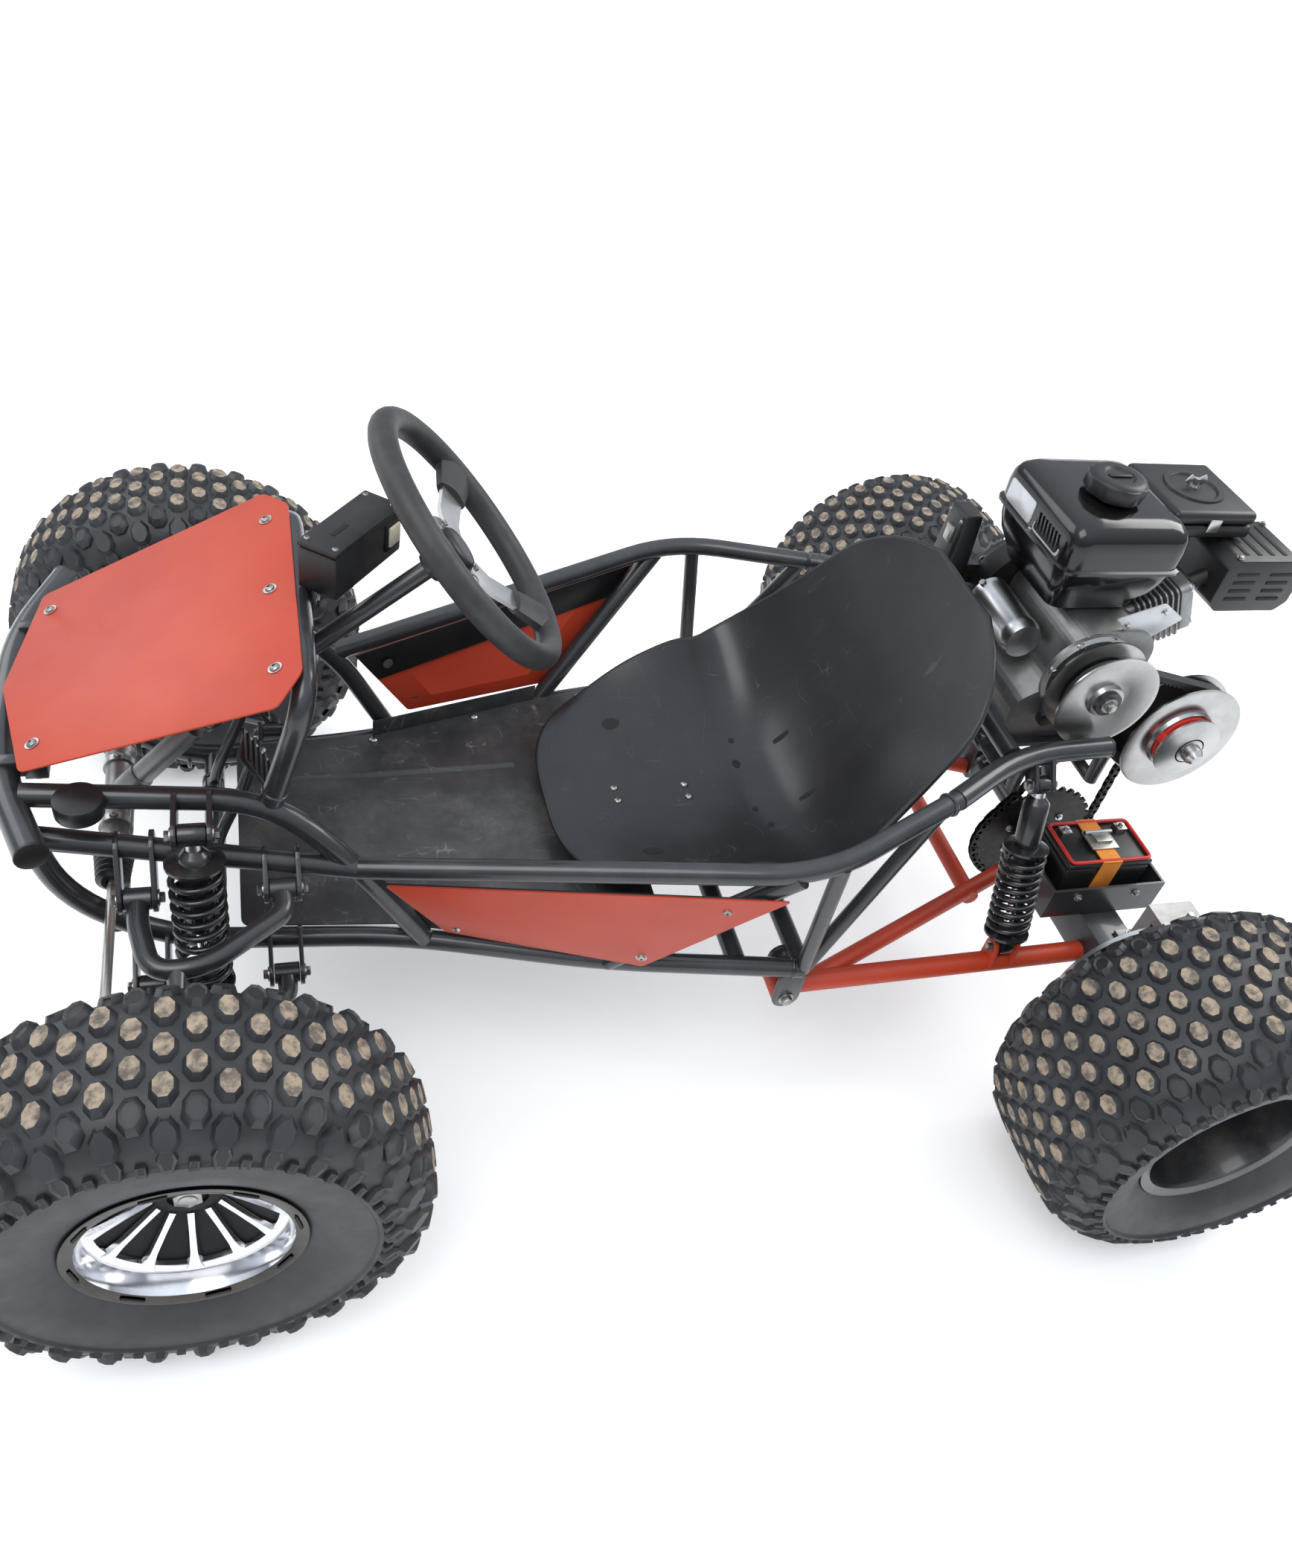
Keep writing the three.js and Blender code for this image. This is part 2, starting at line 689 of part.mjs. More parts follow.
// Routes of the frame tubes on the left side
const lowerRailRoute = [
  place(RAIL_REAR_X, RAIL_REAR_Y, FLOOR_RAIL_Z),
  place(RAIL_WAIST_X, RAIL_WAIST_Y, FLOOR_RAIL_Z),
  place(ahead(RAIL_KNEE_LEAD), RAIL_KNEE_Y, FLOOR_RAIL_Z),
  place(ahead(NOSE_BEND_LEAD), NOSE_BEND_Y, FLOOR_RAIL_Z),
  place(ahead(NOSE_MIDDLE_LEAD), NOSE_MIDDLE_Y, NOSE_MIDDLE_Z),
  place(ahead(NOSE_TOP_LEAD), NOSE_TOP_Y, BUMPER_Z - BUMPER_RADIUS - GAP),
];
const upperRailRoute = [
  place(ahead(UPPER_RAIL_FRONT_LEAD), UPPER_RAIL_FRONT_Y, UPPER_RAIL_FRONT_Z),
  place(ahead(HOOP_FOOT_LEAD), HOOP_FOOT_Y, HOOP_FOOT_Z),
  place(ahead(STRUT_TOP_LEAD), STRUT_TOP_Y, STRUT_TOP_Z),
  place(ahead(STRUT_FOOT_LEAD), STRUT_FOOT_Y, FLOOR_RAIL_Z),
];
const waistRailRoute = [
  place(ahead(STRUT_TOP_LEAD), STRUT_TOP_Y, STRUT_TOP_Z),
  place(WAIST_BEND_X, WAIST_BEND_Y, WAIST_BEND_Z),
  place(SLEEVE_X, SLEEVE_Y, SLEEVE_Z),
];
const rearHoopRoute = [
  place(SLEEVE_X, SLEEVE_Y, SLEEVE_Z),
  place(REAR_BEND_X, REAR_BEND_Y, REAR_HOOP_Z),
  place(REAR_END_X, REAR_END_Y, REAR_HOOP_Z),
];
const middleRailRoute = [
  place(ahead(MIDDLE_RAIL_FRONT_LEAD), MIDDLE_RAIL_FRONT_Y, MIDDLE_RAIL_FRONT_Z),
  place(ahead(STRUT_TOP_LEAD), STRUT_TOP_Y, STRUT_TOP_Z),
];
const sideBraceRoute = [
  place(SIDE_BRACE_FOOT_X, SIDE_BRACE_FOOT_Y, FLOOR_RAIL_Z),
  place(SIDE_BRACE_TOP_X, SIDE_BRACE_TOP_Y, SIDE_BRACE_TOP_Z),
];

// The left lower rail and the upper strut, fattened by the gap, for cutting what meets them
const lowerRailCut = pipe(lowerRailRoute, RAIL_RADIUS + GAP);
const upperRailCut = pipe(upperRailRoute, RAIL_RADIUS + GAP);
const waistRailCut = join(
  pipe(waistRailRoute, RAIL_RADIUS + GAP),
  pipe(rearHoopRoute, HOOP_RADIUS + GAP),
);
const middleRailCut = pipe(middleRailRoute, RAIL_RADIUS + GAP);
const sideBraceCut = pipe(sideBraceRoute, RAIL_RADIUS + GAP);
const waistCrossCut = rod(
  place(RAIL_WAIST_X, 0, FLOOR_RAIL_Z), place(RAIL_WAIST_X, RAIL_WAIST_Y, FLOOR_RAIL_Z), RAIL_RADIUS + GAP,
);

// Two plates and a pin across an axis parallel to X, carried by webs that run to a mount
function clevisX(at, length, mount, boss = LUG_RADIUS) {
  const lowY = Math.min(at.y - boss, mount.y);
  const highY = Math.max(at.y + boss, mount.y);
  const lowZ = Math.min(at.z - boss, mount.z);
  const highZ = Math.max(at.z + boss, mount.z);
  const plates = [-1, 1].map((side) => {
    const inner = at.x + side * (length / 2 + RUNNING_CLEARANCE);
    const outer = inner + side * LUG_THICKNESS;
    const [low, high] = [Math.min(inner, outer), Math.max(inner, outer)];
    return slab(low, high, lowY, highY, lowZ, highZ);
  });
  const reach = place(length / 2 + RUNNING_CLEARANCE + LUG_THICKNESS / 2, 0, 0);
  const pin = rod(at.clone().sub(reach), at.clone().add(reach), PIVOT_PIN_RADIUS);
  return join(plates, pin);
}

// A short post under the seat
const seatPad = (x, y, foot) => slab(
  x - RAIL_RADIUS, x + RAIL_RADIUS, y - RAIL_RADIUS, y + RAIL_RADIUS, foot, SEAT_PAN_Z - GAP,
);

// Lower frame: both floor rails with their swept-up noses, cross tubes, braces and pivot lugs
function lowerFrame() {
  const shortBrace = pipe([
    place(RAIL_REAR_X, RAIL_REAR_Y, FLOOR_RAIL_Z),
    place(SHORT_BRACE_TOP_X, SHORT_BRACE_TOP_Y, WAIST_BEND_Z),
  ], BRACE_RADIUS);
  const rearBrace = pipe([
    place(RAIL_REAR_X, RAIL_REAR_Y, FLOOR_RAIL_Z),
    place(REAR_BRACE_TOP_X, REAR_BRACE_TOP_Y, SLEEVE_Z),
  ], BRACE_RADIUS);
  const braces = join(shortBrace, rearBrace).subtract(waistRailCut);
  const lug = [-1, 1].map((side) => {
    const inner = SWING_PIVOT_Y + side * (SWING_EYE_LENGTH / 2 + RUNNING_CLEARANCE);
    const outer = inner + side * LUG_THICKNESS;
    return slab(
      SWING_PIVOT_X - SWING_EYE_RADIUS, SWING_PIVOT_X + SWING_EYE_RADIUS,
      Math.min(inner, outer), Math.max(inner, outer),
      SWING_PIVOT_Z - SWING_EYE_RADIUS, FLOOR_RAIL_Z,
    );
  });
  const reach = (SWING_EYE_LENGTH + LUG_THICKNESS) / 2 + RUNNING_CLEARANCE;
  const swingPin = rod(
    place(SWING_PIVOT_X, SWING_PIVOT_Y - reach, SWING_PIVOT_Z),
    place(SWING_PIVOT_X, SWING_PIVOT_Y + reach, SWING_PIVOT_Z),
    SWING_PIN_RADIUS,
  );
  const armLugs = [ARM_FRONT_LEAD, ARM_REAR_LEAD].map((lead) => {
    const towards = place(ahead(lead), NOSE_BEND_Y, FLOOR_RAIL_Z + (lead > 0 ? RAIL_RADIUS * 2 : 0));
    return clevisX(place(ahead(lead), ARM_PIVOT_Y, LOWER_PIVOT_Z), EYE_LENGTH, towards);
  });
  const pedalLug = [-1, 1].map((side) => {
    const inner = PEDAL_Y + side * (PEDAL_LEVER_WIDTH / 2 + RUNNING_CLEARANCE);
    const outer = inner + side * LUG_THICKNESS;
    return slab(
      ahead(PEDAL_PIVOT_LEAD) - LUG_RADIUS, ahead(PEDAL_PIVOT_LEAD) + LUG_RADIUS,
      Math.min(inner, outer), Math.max(inner, outer),
      FLOOR_RAIL_Z, PEDAL_PIVOT_Z + LUG_RADIUS,
    );
  });
  const pedalReach = (PEDAL_LEVER_WIDTH + LUG_THICKNESS) / 2 + RUNNING_CLEARANCE;
  const pedalPin = rod(
    place(ahead(PEDAL_PIVOT_LEAD), PEDAL_Y - pedalReach, PEDAL_PIVOT_Z),
    place(ahead(PEDAL_PIVOT_LEAD), PEDAL_Y + pedalReach, PEDAL_PIVOT_Z),
    PIVOT_PIN_RADIUS,
  );
  const left = join(pipe(lowerRailRoute), braces, lug, swingPin, armLugs, pedalLug, pedalPin);
  const cross = (x, railY, z = FLOOR_RAIL_Z) => {
    const y = railY - RAIL_RADIUS / 2;
    return rod(place(x, -y, z), place(x, y, z), RAIL_RADIUS);
  };
  const rackBarZ = RACK_Z - RACK_BAR_DROP;
  const rackMounts = [-1, 1].map((side) => slab(
    ahead(RACK_LEAD) - RACK_RADIUS / 2, ahead(RACK_LEAD) + RACK_RADIUS / 2,
    side * RACK_HALF_LENGTH / 2, side * (RACK_HALF_LENGTH / 2 + RACK_RADIUS),
    rackBarZ, RACK_Z - RACK_RADIUS * Math.cos(Math.PI / ROUND_SIDES) - GAP,
  ));
  const seatPads = [-1, 1].map((side) => seatPad(SEAT_BAR_X, side * SEAT_PAD_Y, FLOOR_RAIL_Z));
  const seatBarY = THREE.MathUtils.mapLinear(
    SEAT_BAR_X, RAIL_REAR_X, RAIL_WAIST_X, RAIL_REAR_Y, RAIL_WAIST_Y,
  );
  return join(
    bothSides(left), cross(RAIL_REAR_X, RAIL_REAR_Y), cross(RAIL_WAIST_X, RAIL_WAIST_Y),
    cross(ahead(FRONT_CROSS_LEAD), NOSE_BEND_Y), cross(SEAT_BAR_X, seatBarY),
    cross(ahead(RACK_LEAD), NOSE_BEND_Y + RAIL_RADIUS, rackBarZ), rackMounts, seatPads,
  );
}

// Front frame: upper and middle rails, bumper, hoop behind the hood and the column's collar
const columnTurn = radians(COLUMN_SLOPE_DEG);
const columnDown = place(Math.cos(columnTurn), 0, -Math.sin(columnTurn));
const wheelCentre = place(ahead(WHEEL_CENTRE_LEAD), 0, WHEEL_CENTRE_Z);
const onColumn = (distance) => wheelCentre.clone().addScaledVector(columnDown, distance);

function hoodHeight(x) {
  const rearX = ahead(HOOP_TOP_LEAD);
  const rearZ = HOOP_TOP_Z + HOOD_STAND_OFF;
  const share = (x - rearX) / (ahead(HOOD_FRONT_LEAD) - rearX);
  return THREE.MathUtils.lerp(rearZ, HOOD_FRONT_Z, share);
}

function frontFrame() {
  const middleRail = pipe(middleRailRoute).subtract(lowerRailCut);
  const upperRail = pipe(upperRailRoute).subtract(join(lowerRailCut, waistCrossCut));
  const armLugs = [ARM_FRONT_LEAD, ARM_REAR_LEAD].map((lead) => {
    const share = (lead - STRUT_TOP_LEAD) / (MIDDLE_RAIL_FRONT_LEAD - STRUT_TOP_LEAD);
    const towards = place(
      ahead(lead),
      THREE.MathUtils.lerp(STRUT_TOP_Y, MIDDLE_RAIL_FRONT_Y, share),
      THREE.MathUtils.lerp(STRUT_TOP_Z, MIDDLE_RAIL_FRONT_Z, share),
    );
    return clevisX(place(ahead(lead), ARM_PIVOT_Y, UPPER_PIVOT_Z), EYE_LENGTH, towards);
  });
  const shockLug = clevisX(
    place(ahead(FRONT_SHOCK_LEAD), FRONT_SHOCK_TOP_Y, FRONT_SHOCK_TOP_Z), EYE_LENGTH,
    place(ahead(FRONT_SHOCK_LEAD), HOOP_FOOT_Y, HOOP_FOOT_Z),
  );
  const tabRear = ahead(HOOD_TAB_LEAD) - HOOD_TAB_WIDTH / 2;
  const hoodTab = prism(
    [
      [tabRear, BUMPER_Z], [ahead(BUMPER_SHOULDER_LEAD), BUMPER_Z],
      [ahead(BUMPER_SHOULDER_LEAD), hoodHeight(ahead(BUMPER_SHOULDER_LEAD)) - SHEET - GAP],
      [tabRear, hoodHeight(tabRear) - SHEET - GAP],
    ],
    HOOD_TAB_Y - HOOD_TAB_WIDTH / 2, HOOD_TAB_Y + HOOD_TAB_WIDTH / 2,
  );
  const left = join(middleRail, upperRail, armLugs, shockLug, hoodTab);
  const bumperRoute = [
    place(ahead(BUMPER_END_LEAD), BUMPER_END_Y, BUMPER_Z),
    place(ahead(BUMPER_SHOULDER_LEAD), BUMPER_SHOULDER_Y, BUMPER_Z),
    place(ahead(BUMPER_SHOULDER_LEAD), -BUMPER_SHOULDER_Y, BUMPER_Z),
    place(ahead(BUMPER_END_LEAD), -BUMPER_END_Y, BUMPER_Z),
  ];
  const hoopRoute = [
    place(ahead(HOOP_FOOT_LEAD), HOOP_FOOT_Y, HOOP_FOOT_Z),
    place(ahead(HOOP_TOP_LEAD), HOOP_TOP_Y, HOOP_TOP_Z),
    place(ahead(HOOP_TOP_LEAD), -HOOP_TOP_Y, HOOP_TOP_Z),
    place(ahead(HOOP_FOOT_LEAD), -HOOP_FOOT_Y, HOOP_FOOT_Z),
  ];
  const collarFrom = onColumn(COLLAR_DISTANCE - COLLAR_LENGTH / 2);
  const collarTo = onColumn(COLLAR_DISTANCE + COLLAR_LENGTH / 2);
  const collar = rod(collarFrom, collarTo, COLLAR_RADIUS, ROUND_SIDES);
  const stay = slab(
    ahead(HOOP_TOP_LEAD) - LUG_THICKNESS * 2, ahead(HOOP_TOP_LEAD) + LUG_THICKNESS,
    -COLUMN_RADIUS, COLUMN_RADIUS, onColumn(COLLAR_DISTANCE).z, HOOP_TOP_Z,
  );
  const columnHole = hole(onColumn(0), onColumn(COLUMN_LENGTH), COLUMN_RADIUS, GAP, COLLAR_BORE_SIDES);
  return join(
    bothSides(left), pipe(bumperRoute, BUMPER_RADIUS, RAIL_BEND),
    pipe(hoopRoute, RAIL_RADIUS, HOOP_BEND), join(collar, stay).subtract(columnHole),
  );
}

// Rear frame: waist rails, thicker rear hoop tubes, side braces and the engine cradle
function rearFrame() {
  const waist = pipe(waistRailRoute).subtract(join(upperRailCut, middleRailCut));
  const hoop = pipe(rearHoopRoute, HOOP_RADIUS);
  const aboveFoot = pipe(sideBraceRoute).trimByPlane([0, 0, 1], FLOOR_RAIL_Z);
  const brace = aboveFoot.subtract(join(lowerRailCut, waistCrossCut));
  const hangers = [CRADLE_SIDE_REAR_X, CRADLE_FRONT_X].map((x) => {
    const y = THREE.MathUtils.mapLinear(x, REAR_END_X, REAR_BEND_X, REAR_END_Y, REAR_BEND_Y);
    const low = ENGINE_BASE_Z - GAP - CRADLE_THICKNESS;
    const strap = slab(
      x - CRADLE_HANGER_RADIUS, x + CRADLE_HANGER_RADIUS, 0, y + CRADLE_HANGER_RADIUS,
      low, low + CRADLE_THICKNESS,
    );
    return join(strap, rod(place(x, y, low + GAP), place(x, y, REAR_HOOP_Z), CRADLE_HANGER_RADIUS));
  });
  const shockClevis = clevisX(
    place(REAR_SHOCK_TOP_X, REAR_SHOCK_TOP_Y, REAR_SHOCK_TOP_Z), REAR_EYE_LENGTH,
    place(REAR_SHOCK_TOP_X, REAR_BEND_Y, REAR_HOOP_Z), REAR_EYE_RADIUS,
  );
  const left = join(waist, hoop, brace, hangers, shockClevis);
  const floor = slab(
    CRADLE_REAR_X, CRADLE_FRONT_X + RAIL_RADIUS, -CRADLE_HALF_WIDTH, CRADLE_HALF_WIDTH,
    ENGINE_BASE_Z - GAP - CRADLE_THICKNESS, ENGINE_BASE_Z - GAP,
  );
  const seatCross = rod(
    place(SEAT_CROSS_X, -REAR_BEND_Y, REAR_HOOP_Z), place(SEAT_CROSS_X, REAR_BEND_Y, REAR_HOOP_Z),
    RAIL_RADIUS,
  );
  return join(bothSides(left), floor, seatCross);
}

show("lower_frame", lowerFrame(), blackPaint);
show("front_frame", frontFrame(), blackPaint);
show("rear_frame", rearFrame(), blackPaint);

// Floor pan on the rails, cut round the braces that pass its edges
function floorPan() {
  const z0 = FLOOR_RAIL_Z + RAIL_RADIUS + GAP;
  const half = (x) => {
    const knee = ahead(RAIL_KNEE_LEAD);
    const front = ahead(NOSE_BEND_LEAD);
    const railY = x > knee
      ? THREE.MathUtils.mapLinear(x, knee, front, RAIL_KNEE_Y, NOSE_BEND_Y)
      : x > RAIL_WAIST_X
        ? THREE.MathUtils.mapLinear(x, RAIL_WAIST_X, knee, RAIL_WAIST_Y, RAIL_KNEE_Y)
        : THREE.MathUtils.mapLinear(x, RAIL_REAR_X, RAIL_WAIST_X, RAIL_REAR_Y, RAIL_WAIST_Y);
    return railY - FLOOR_EDGE_INSET;
  };
  const xs = [FLOOR_REAR_X, RAIL_WAIST_X, ahead(RAIL_KNEE_LEAD), ahead(FLOOR_FRONT_LEAD)];
  const pieces = xs.slice(1).map((x, i) => {
    const from = xs[i];
    const ring = (z) => [
      place(from, -half(from), z), place(x, -half(x), z), place(x, half(x), z), place(from, half(from), z),
    ];
    return loft([ring(z0), ring(z0 + SHEET)]);
  });
  const pads = [-1, 1].map((side) => seatPad(SEAT_FRONT_PAD_X, side * SEAT_PAD_Y, z0));
  return join(pieces, pads).subtract(join(bothSides(upperRailCut), bothSides(sideBraceCut)));
}

show("floor_pan", floorPan(), blackPaint);

// Hood: one flat red sheet with cut corners and a blunt point at the front
function hoodPanel() {
  const corner = (lead, y) => place(ahead(lead), y, hoodHeight(ahead(lead)) - SHEET / 2);
  const outline = [
    corner(HOOD_REAR_LEAD, HOOD_REAR_HALF), corner(HOOD_REAR_LEAD, -HOOD_REAR_HALF),
    corner(HOOD_CORNER_LEAD, -HOOD_CORNER_HALF), corner(HOOD_FRONT_LEAD, -HOOD_FRONT_HALF),
    corner(HOOD_TIP_LEAD, 0), corner(HOOD_FRONT_LEAD, HOOD_FRONT_HALF),
    corner(HOOD_CORNER_LEAD, HOOD_CORNER_HALF),
  ];
  return plate(outline, SHEET);
}

show("hood_panel", hoodPanel(), redPaint);

// Side panels: red sheets that lie just outside the struts
function sidePanel() {
  const reach = RAIL_RADIUS + PANEL_CLEARANCE + SHEET / 2;
  const braceY = (z) => THREE.MathUtils.mapLinear(
    z, FLOOR_RAIL_Z, SIDE_BRACE_TOP_Z, SIDE_BRACE_FOOT_Y, SIDE_BRACE_TOP_Y,
  );
  const strutY = (z) => THREE.MathUtils.mapLinear(z, FLOOR_RAIL_Z, STRUT_TOP_Z, STRUT_FOOT_Y, STRUT_TOP_Y);
  const rearReach = reach + PANEL_REAR_CLEARANCE;
  const topRear = place(PANEL_TOP_REAR_X, braceY(PANEL_TOP_REAR_Z) + rearReach, PANEL_TOP_REAR_Z);
  const footRear = place(PANEL_FOOT_REAR_X, braceY(PANEL_FOOT_REAR_Z) + rearReach, PANEL_FOOT_REAR_Z);
  const footFront = place(
    ahead(PANEL_FOOT_FRONT_LEAD), strutY(PANEL_FOOT_FRONT_Z) + reach, PANEL_FOOT_FRONT_Z,
  );
  const topFront = place(
    ahead(PANEL_TOP_FRONT_LEAD), strutY(PANEL_TOP_FRONT_Z) + reach, PANEL_TOP_FRONT_Z,
  );
  return plate([footRear, footFront, topFront, topRear], SHEET);
}

showPair("side_panel", sidePanel(), redPaint);

// Seat: a moulded scoop, as a grid of stations along its centre line
function seatShell() {
  const run = SEAT_FRONT_X - SEAT_TOP_X;
  const rise = SEAT_TOP_Z - SEAT_PAN_Z;
  const firstUp = SEAT_CENTRE_SHARES[1][1];
  const centre = SEAT_CENTRE_SHARES.map(([back, up], i) =>
    place(SEAT_FRONT_X - run * back, 0, i ? SEAT_PAN_Z + rise * (up - firstUp) : SEAT_FRONT_Z),
  );
  const normalAt = (i) => {
    const before = centre[Math.max(i - 1, 0)];
    const after = centre[Math.min(i + 1, centre.length - 1)];
    const along = after.clone().sub(before).normalize();
    return place(along.z, 0, -along.x);
  };
  const skin = (offset) =>
    centre.map((point, i) =>
      SEAT_ACROSS_SHARES.map((across) => {
        const half = SEAT_HALF_WIDTH * SEAT_WIDTH_SHARES[i];
        const lift = SEAT_DEPTH * SEAT_DEPTH_SHARES[i] * Math.abs(across) ** SEAT_CURL_POWER;
        const at = point.clone().addScaledVector(normalAt(i), lift + offset);
        at.y = half * across;
        return at;
      }),
    );
  const top = skin(SEAT_SHEET);
  const under = skin(0);
  const rings = centre.map((_, i) => [...top[i], ...under[i].slice().reverse()]);
  return stripLoft(rings);
}

// A loft whose end caps are strips between the two halves of each ring
function stripLoft(rings) {
  const points = [];
  const add = (...corners) => corners.forEach((corner) => points.push(...corner.toArray()));
  const count = rings[0].length;
  rings.slice(1).forEach((ring, i) => {
    ring.forEach((corner, k) => {
      const next = (k + 1) % count;
      add(rings[i][k], rings[i][next], ring[next], rings[i][k], ring[next], corner);
    });
  });
  const close = (ring, turn) => {
    for (let k = 0; k < count / 2 - 1; k++) {
      const strip = [ring[k], ring[k + 1], ring[count - 2 - k], ring[count - 1 - k]];
      if (turn) strip.reverse();
      add(strip[0], strip[2], strip[1], strip[0], strip[3], strip[2]);
    }
  };
  close(rings[0], false);
  close(rings[rings.length - 1], true);
  const geometry = new THREE.BufferGeometry();
  geometry.setAttribute("position", new THREE.Float32BufferAttribute(points, 3));
  return solidOf(geometry);
}

show("seat_shell", seatShell(), darkPlastic);

// Dash box, turned towards the driver, on a tab that lies against the front hoop
function dashBox() {
  const size = [DASH_LENGTH, DASH_WIDTH, DASH_HEIGHT];
  const box = new THREE.BoxGeometry(...size);
  box.rotateZ(radians(DASH_TURN_DEG));
  const body = solidOf(box.translate(ahead(DASH_LEAD), DASH_Y, DASH_FOOT_Z + DASH_HEIGHT / 2));
  const tabFront = ahead(HOOP_TOP_LEAD) - RAIL_RADIUS - GAP;
  const tab = slab(
    tabFront - LUG_THICKNESS, tabFront, DASH_TAB_Y - DASH_TAB_HALF, DASH_TAB_Y + DASH_TAB_HALF,
    HOOP_TOP_Z - RAIL_RADIUS, DASH_FOOT_Z + OVERRUN,
  );
  return join(body, tab);
}

show("dash_box", dashBox(), darkPlastic);

// Steering wheel: a round grip, three flat spokes and a dished hub, square to the column
const wheelAxis = columnDown.clone().negate();

function steeringWheel() {
  const grip = new THREE.TorusGeometry(WHEEL_RIM_RADIUS, WHEEL_GRIP_RADIUS, GRIP_SIDES, GRIP_STEPS);
  const facing = new THREE.Quaternion().setFromUnitVectors(place(0, 0, 1), wheelAxis);
  const rim = solidOf(grip.applyQuaternion(facing).translate(...wheelCentre.toArray()));
  const hub = rod(
    onColumn(WHEEL_DISH - WHEEL_HUB_THICKNESS / 2), onColumn(WHEEL_DISH + WHEEL_HUB_THICKNESS / 2),
    WHEEL_HUB_RADIUS, ROUND_SIDES,
  );
  const spokes = SPOKE_ANGLES_DEG.map((degrees) => {
    const out = acrossY.clone().applyAxisAngle(wheelAxis, radians(degrees));
    const aside = out.clone().cross(wheelAxis).setLength(WHEEL_SPOKE_WIDTH / 2);
    const inner = onColumn(WHEEL_DISH).addScaledVector(out, WHEEL_HUB_RADIUS / 2);
    const outer = wheelCentre.clone().addScaledVector(out, WHEEL_RIM_RADIUS);
    const outline = [
      inner.clone().add(aside), inner.clone().sub(aside),
      outer.clone().addScaledVector(aside, -SPOKE_TAPER_SHARE),
      outer.clone().addScaledVector(aside, SPOKE_TAPER_SHARE),
    ];
    return plate(outline, WHEEL_SPOKE_THICKNESS);
  });
  return join(rim, hub, spokes);
}

show("steering_wheel", steeringWheel(), rubber);
const columnTop = WHEEL_DISH + WHEEL_HUB_THICKNESS / 2 + GAP;
const columnRod = rod(onColumn(columnTop), onColumn(COLUMN_LENGTH), COLUMN_RADIUS, ROUND_SIDES);
show("steering_column", columnRod, blackPaint);

// Steering rack: a housing across the car, a pinion tower and two ribbed boots
const rackAt = (y) => place(ahead(RACK_LEAD), y, RACK_Z);

function boot() {
  const rib = BOOT_LENGTH / BOOT_RIBS;
  const outline = [];
  for (let i = 0; i < BOOT_RIBS; i++) {
    const from = RACK_HALF_LENGTH + rib * i;
    outline.push([BOOT_VALLEY_RADIUS, from], [BOOT_RADIUS, from + rib / 2]);
  }
  const end = RACK_HALF_LENGTH + BOOT_LENGTH;
  outline.push([BOOT_VALLEY_RADIUS, end], [BOOT_BORE_RADIUS, end]);
  outline.push([BOOT_BORE_RADIUS, RACK_HALF_LENGTH]);
  return turned(outline, rackAt(0), acrossY, BOOT_SIDES);
}

function steeringRack() {
  const housing = rod(rackAt(-RACK_HALF_LENGTH), rackAt(RACK_HALF_LENGTH), RACK_RADIUS, ROUND_SIDES);
  const joint = onColumn(COLUMN_LENGTH);
  const short = joint.clone().sub(rackAt(0)).setLength(PINION_TOWER_RADIUS + OVERRUN);
  const tower = rod(rackAt(0), joint.sub(short), PINION_TOWER_RADIUS);
  return join(housing, tower, bothSides(boot()));
}

show("steering_rack", steeringRack(), castAluminium);

// Tie rods: straight rods that slide with the rack and end in eyes under the steering arms
function tieRod() {
  const end = rackAt(KINGPIN_Y);
  const eyeHalf = place(0, 0, TIE_ROD_EYE_RADIUS);
  const eye = rod(end.clone().sub(eyeHalf), end.clone().add(eyeHalf), TIE_ROD_EYE_RADIUS, ROUND_SIDES);
  return join(rod(rackAt(TIE_ROD_INNER_Y), end, TIE_ROD_RADIUS), eye);
}

showPair("tie_rod", tieRod(), zincSteel);

// An eye along X with its bore, to be cut after its tubes are joined
const eyeX = (at, length, radius) => {
  const half = place(length / 2, 0, 0);
  return rod(at.clone().sub(half), at.clone().add(half), radius, ROUND_SIDES);
};
const boreX = (at, length, clearance = RUNNING_CLEARANCE) => {
  const half = place(length / 2, 0, 0);
  return hole(at.clone().sub(half), at.clone().add(half), PIVOT_PIN_RADIUS, clearance);
};

// A wishbone between two inner eyes and one outer joint
function wishbone(pivotZ, jointZ) {
  const height = (y) => THREE.MathUtils.mapLinear(y, ARM_PIVOT_Y, JOINT_Y, pivotZ, jointZ);
  const at = (x, y) => place(x, y, height(y));
  const inner = [ARM_FRONT_LEAD, ARM_REAR_LEAD].map((lead) => at(ahead(lead), ARM_PIVOT_Y));
  const bend = [ARM_FRONT_LEAD, ARM_REAR_LEAD].map((lead) => at(ahead(lead), ARM_PIVOT_Y + ARM_STRAIGHT));
  const joint = at(KINGPIN_X, JOINT_Y);
  const neck = rod(at(KINGPIN_X, ARM_CROSS_Y), joint, NECK_ROD_RADIUS);
  const eyes = join(
    inner.map((eye) => eyeX(eye, EYE_LENGTH, EYE_RADIUS)),
    eyeX(joint, JOINT_LENGTH, JOINT_RADIUS),
  );
  const bores = join(
    inner.map((eye) => boreX(eye, EYE_LENGTH)),
    boreX(joint, JOINT_LENGTH, OPEN_PIN_CLEARANCE),
  );
  return { at, inner, bend, neck, eyes, bores };
}

function upperArm() {
  const { at, inner, bend, neck, eyes, bores } = wishbone(UPPER_PIVOT_Z, UPPER_JOINT_Z);
  const route = [
    inner[0], bend[0], at(KINGPIN_X + ARM_CROSS_HALF, ARM_CROSS_Y),
    at(KINGPIN_X - ARM_CROSS_HALF, ARM_CROSS_Y), bend[1], inner[1],
  ];
  return join(pipe(route, ARM_TUBE_RADIUS, ARM_BEND), neck, eyes).subtract(bores);
}

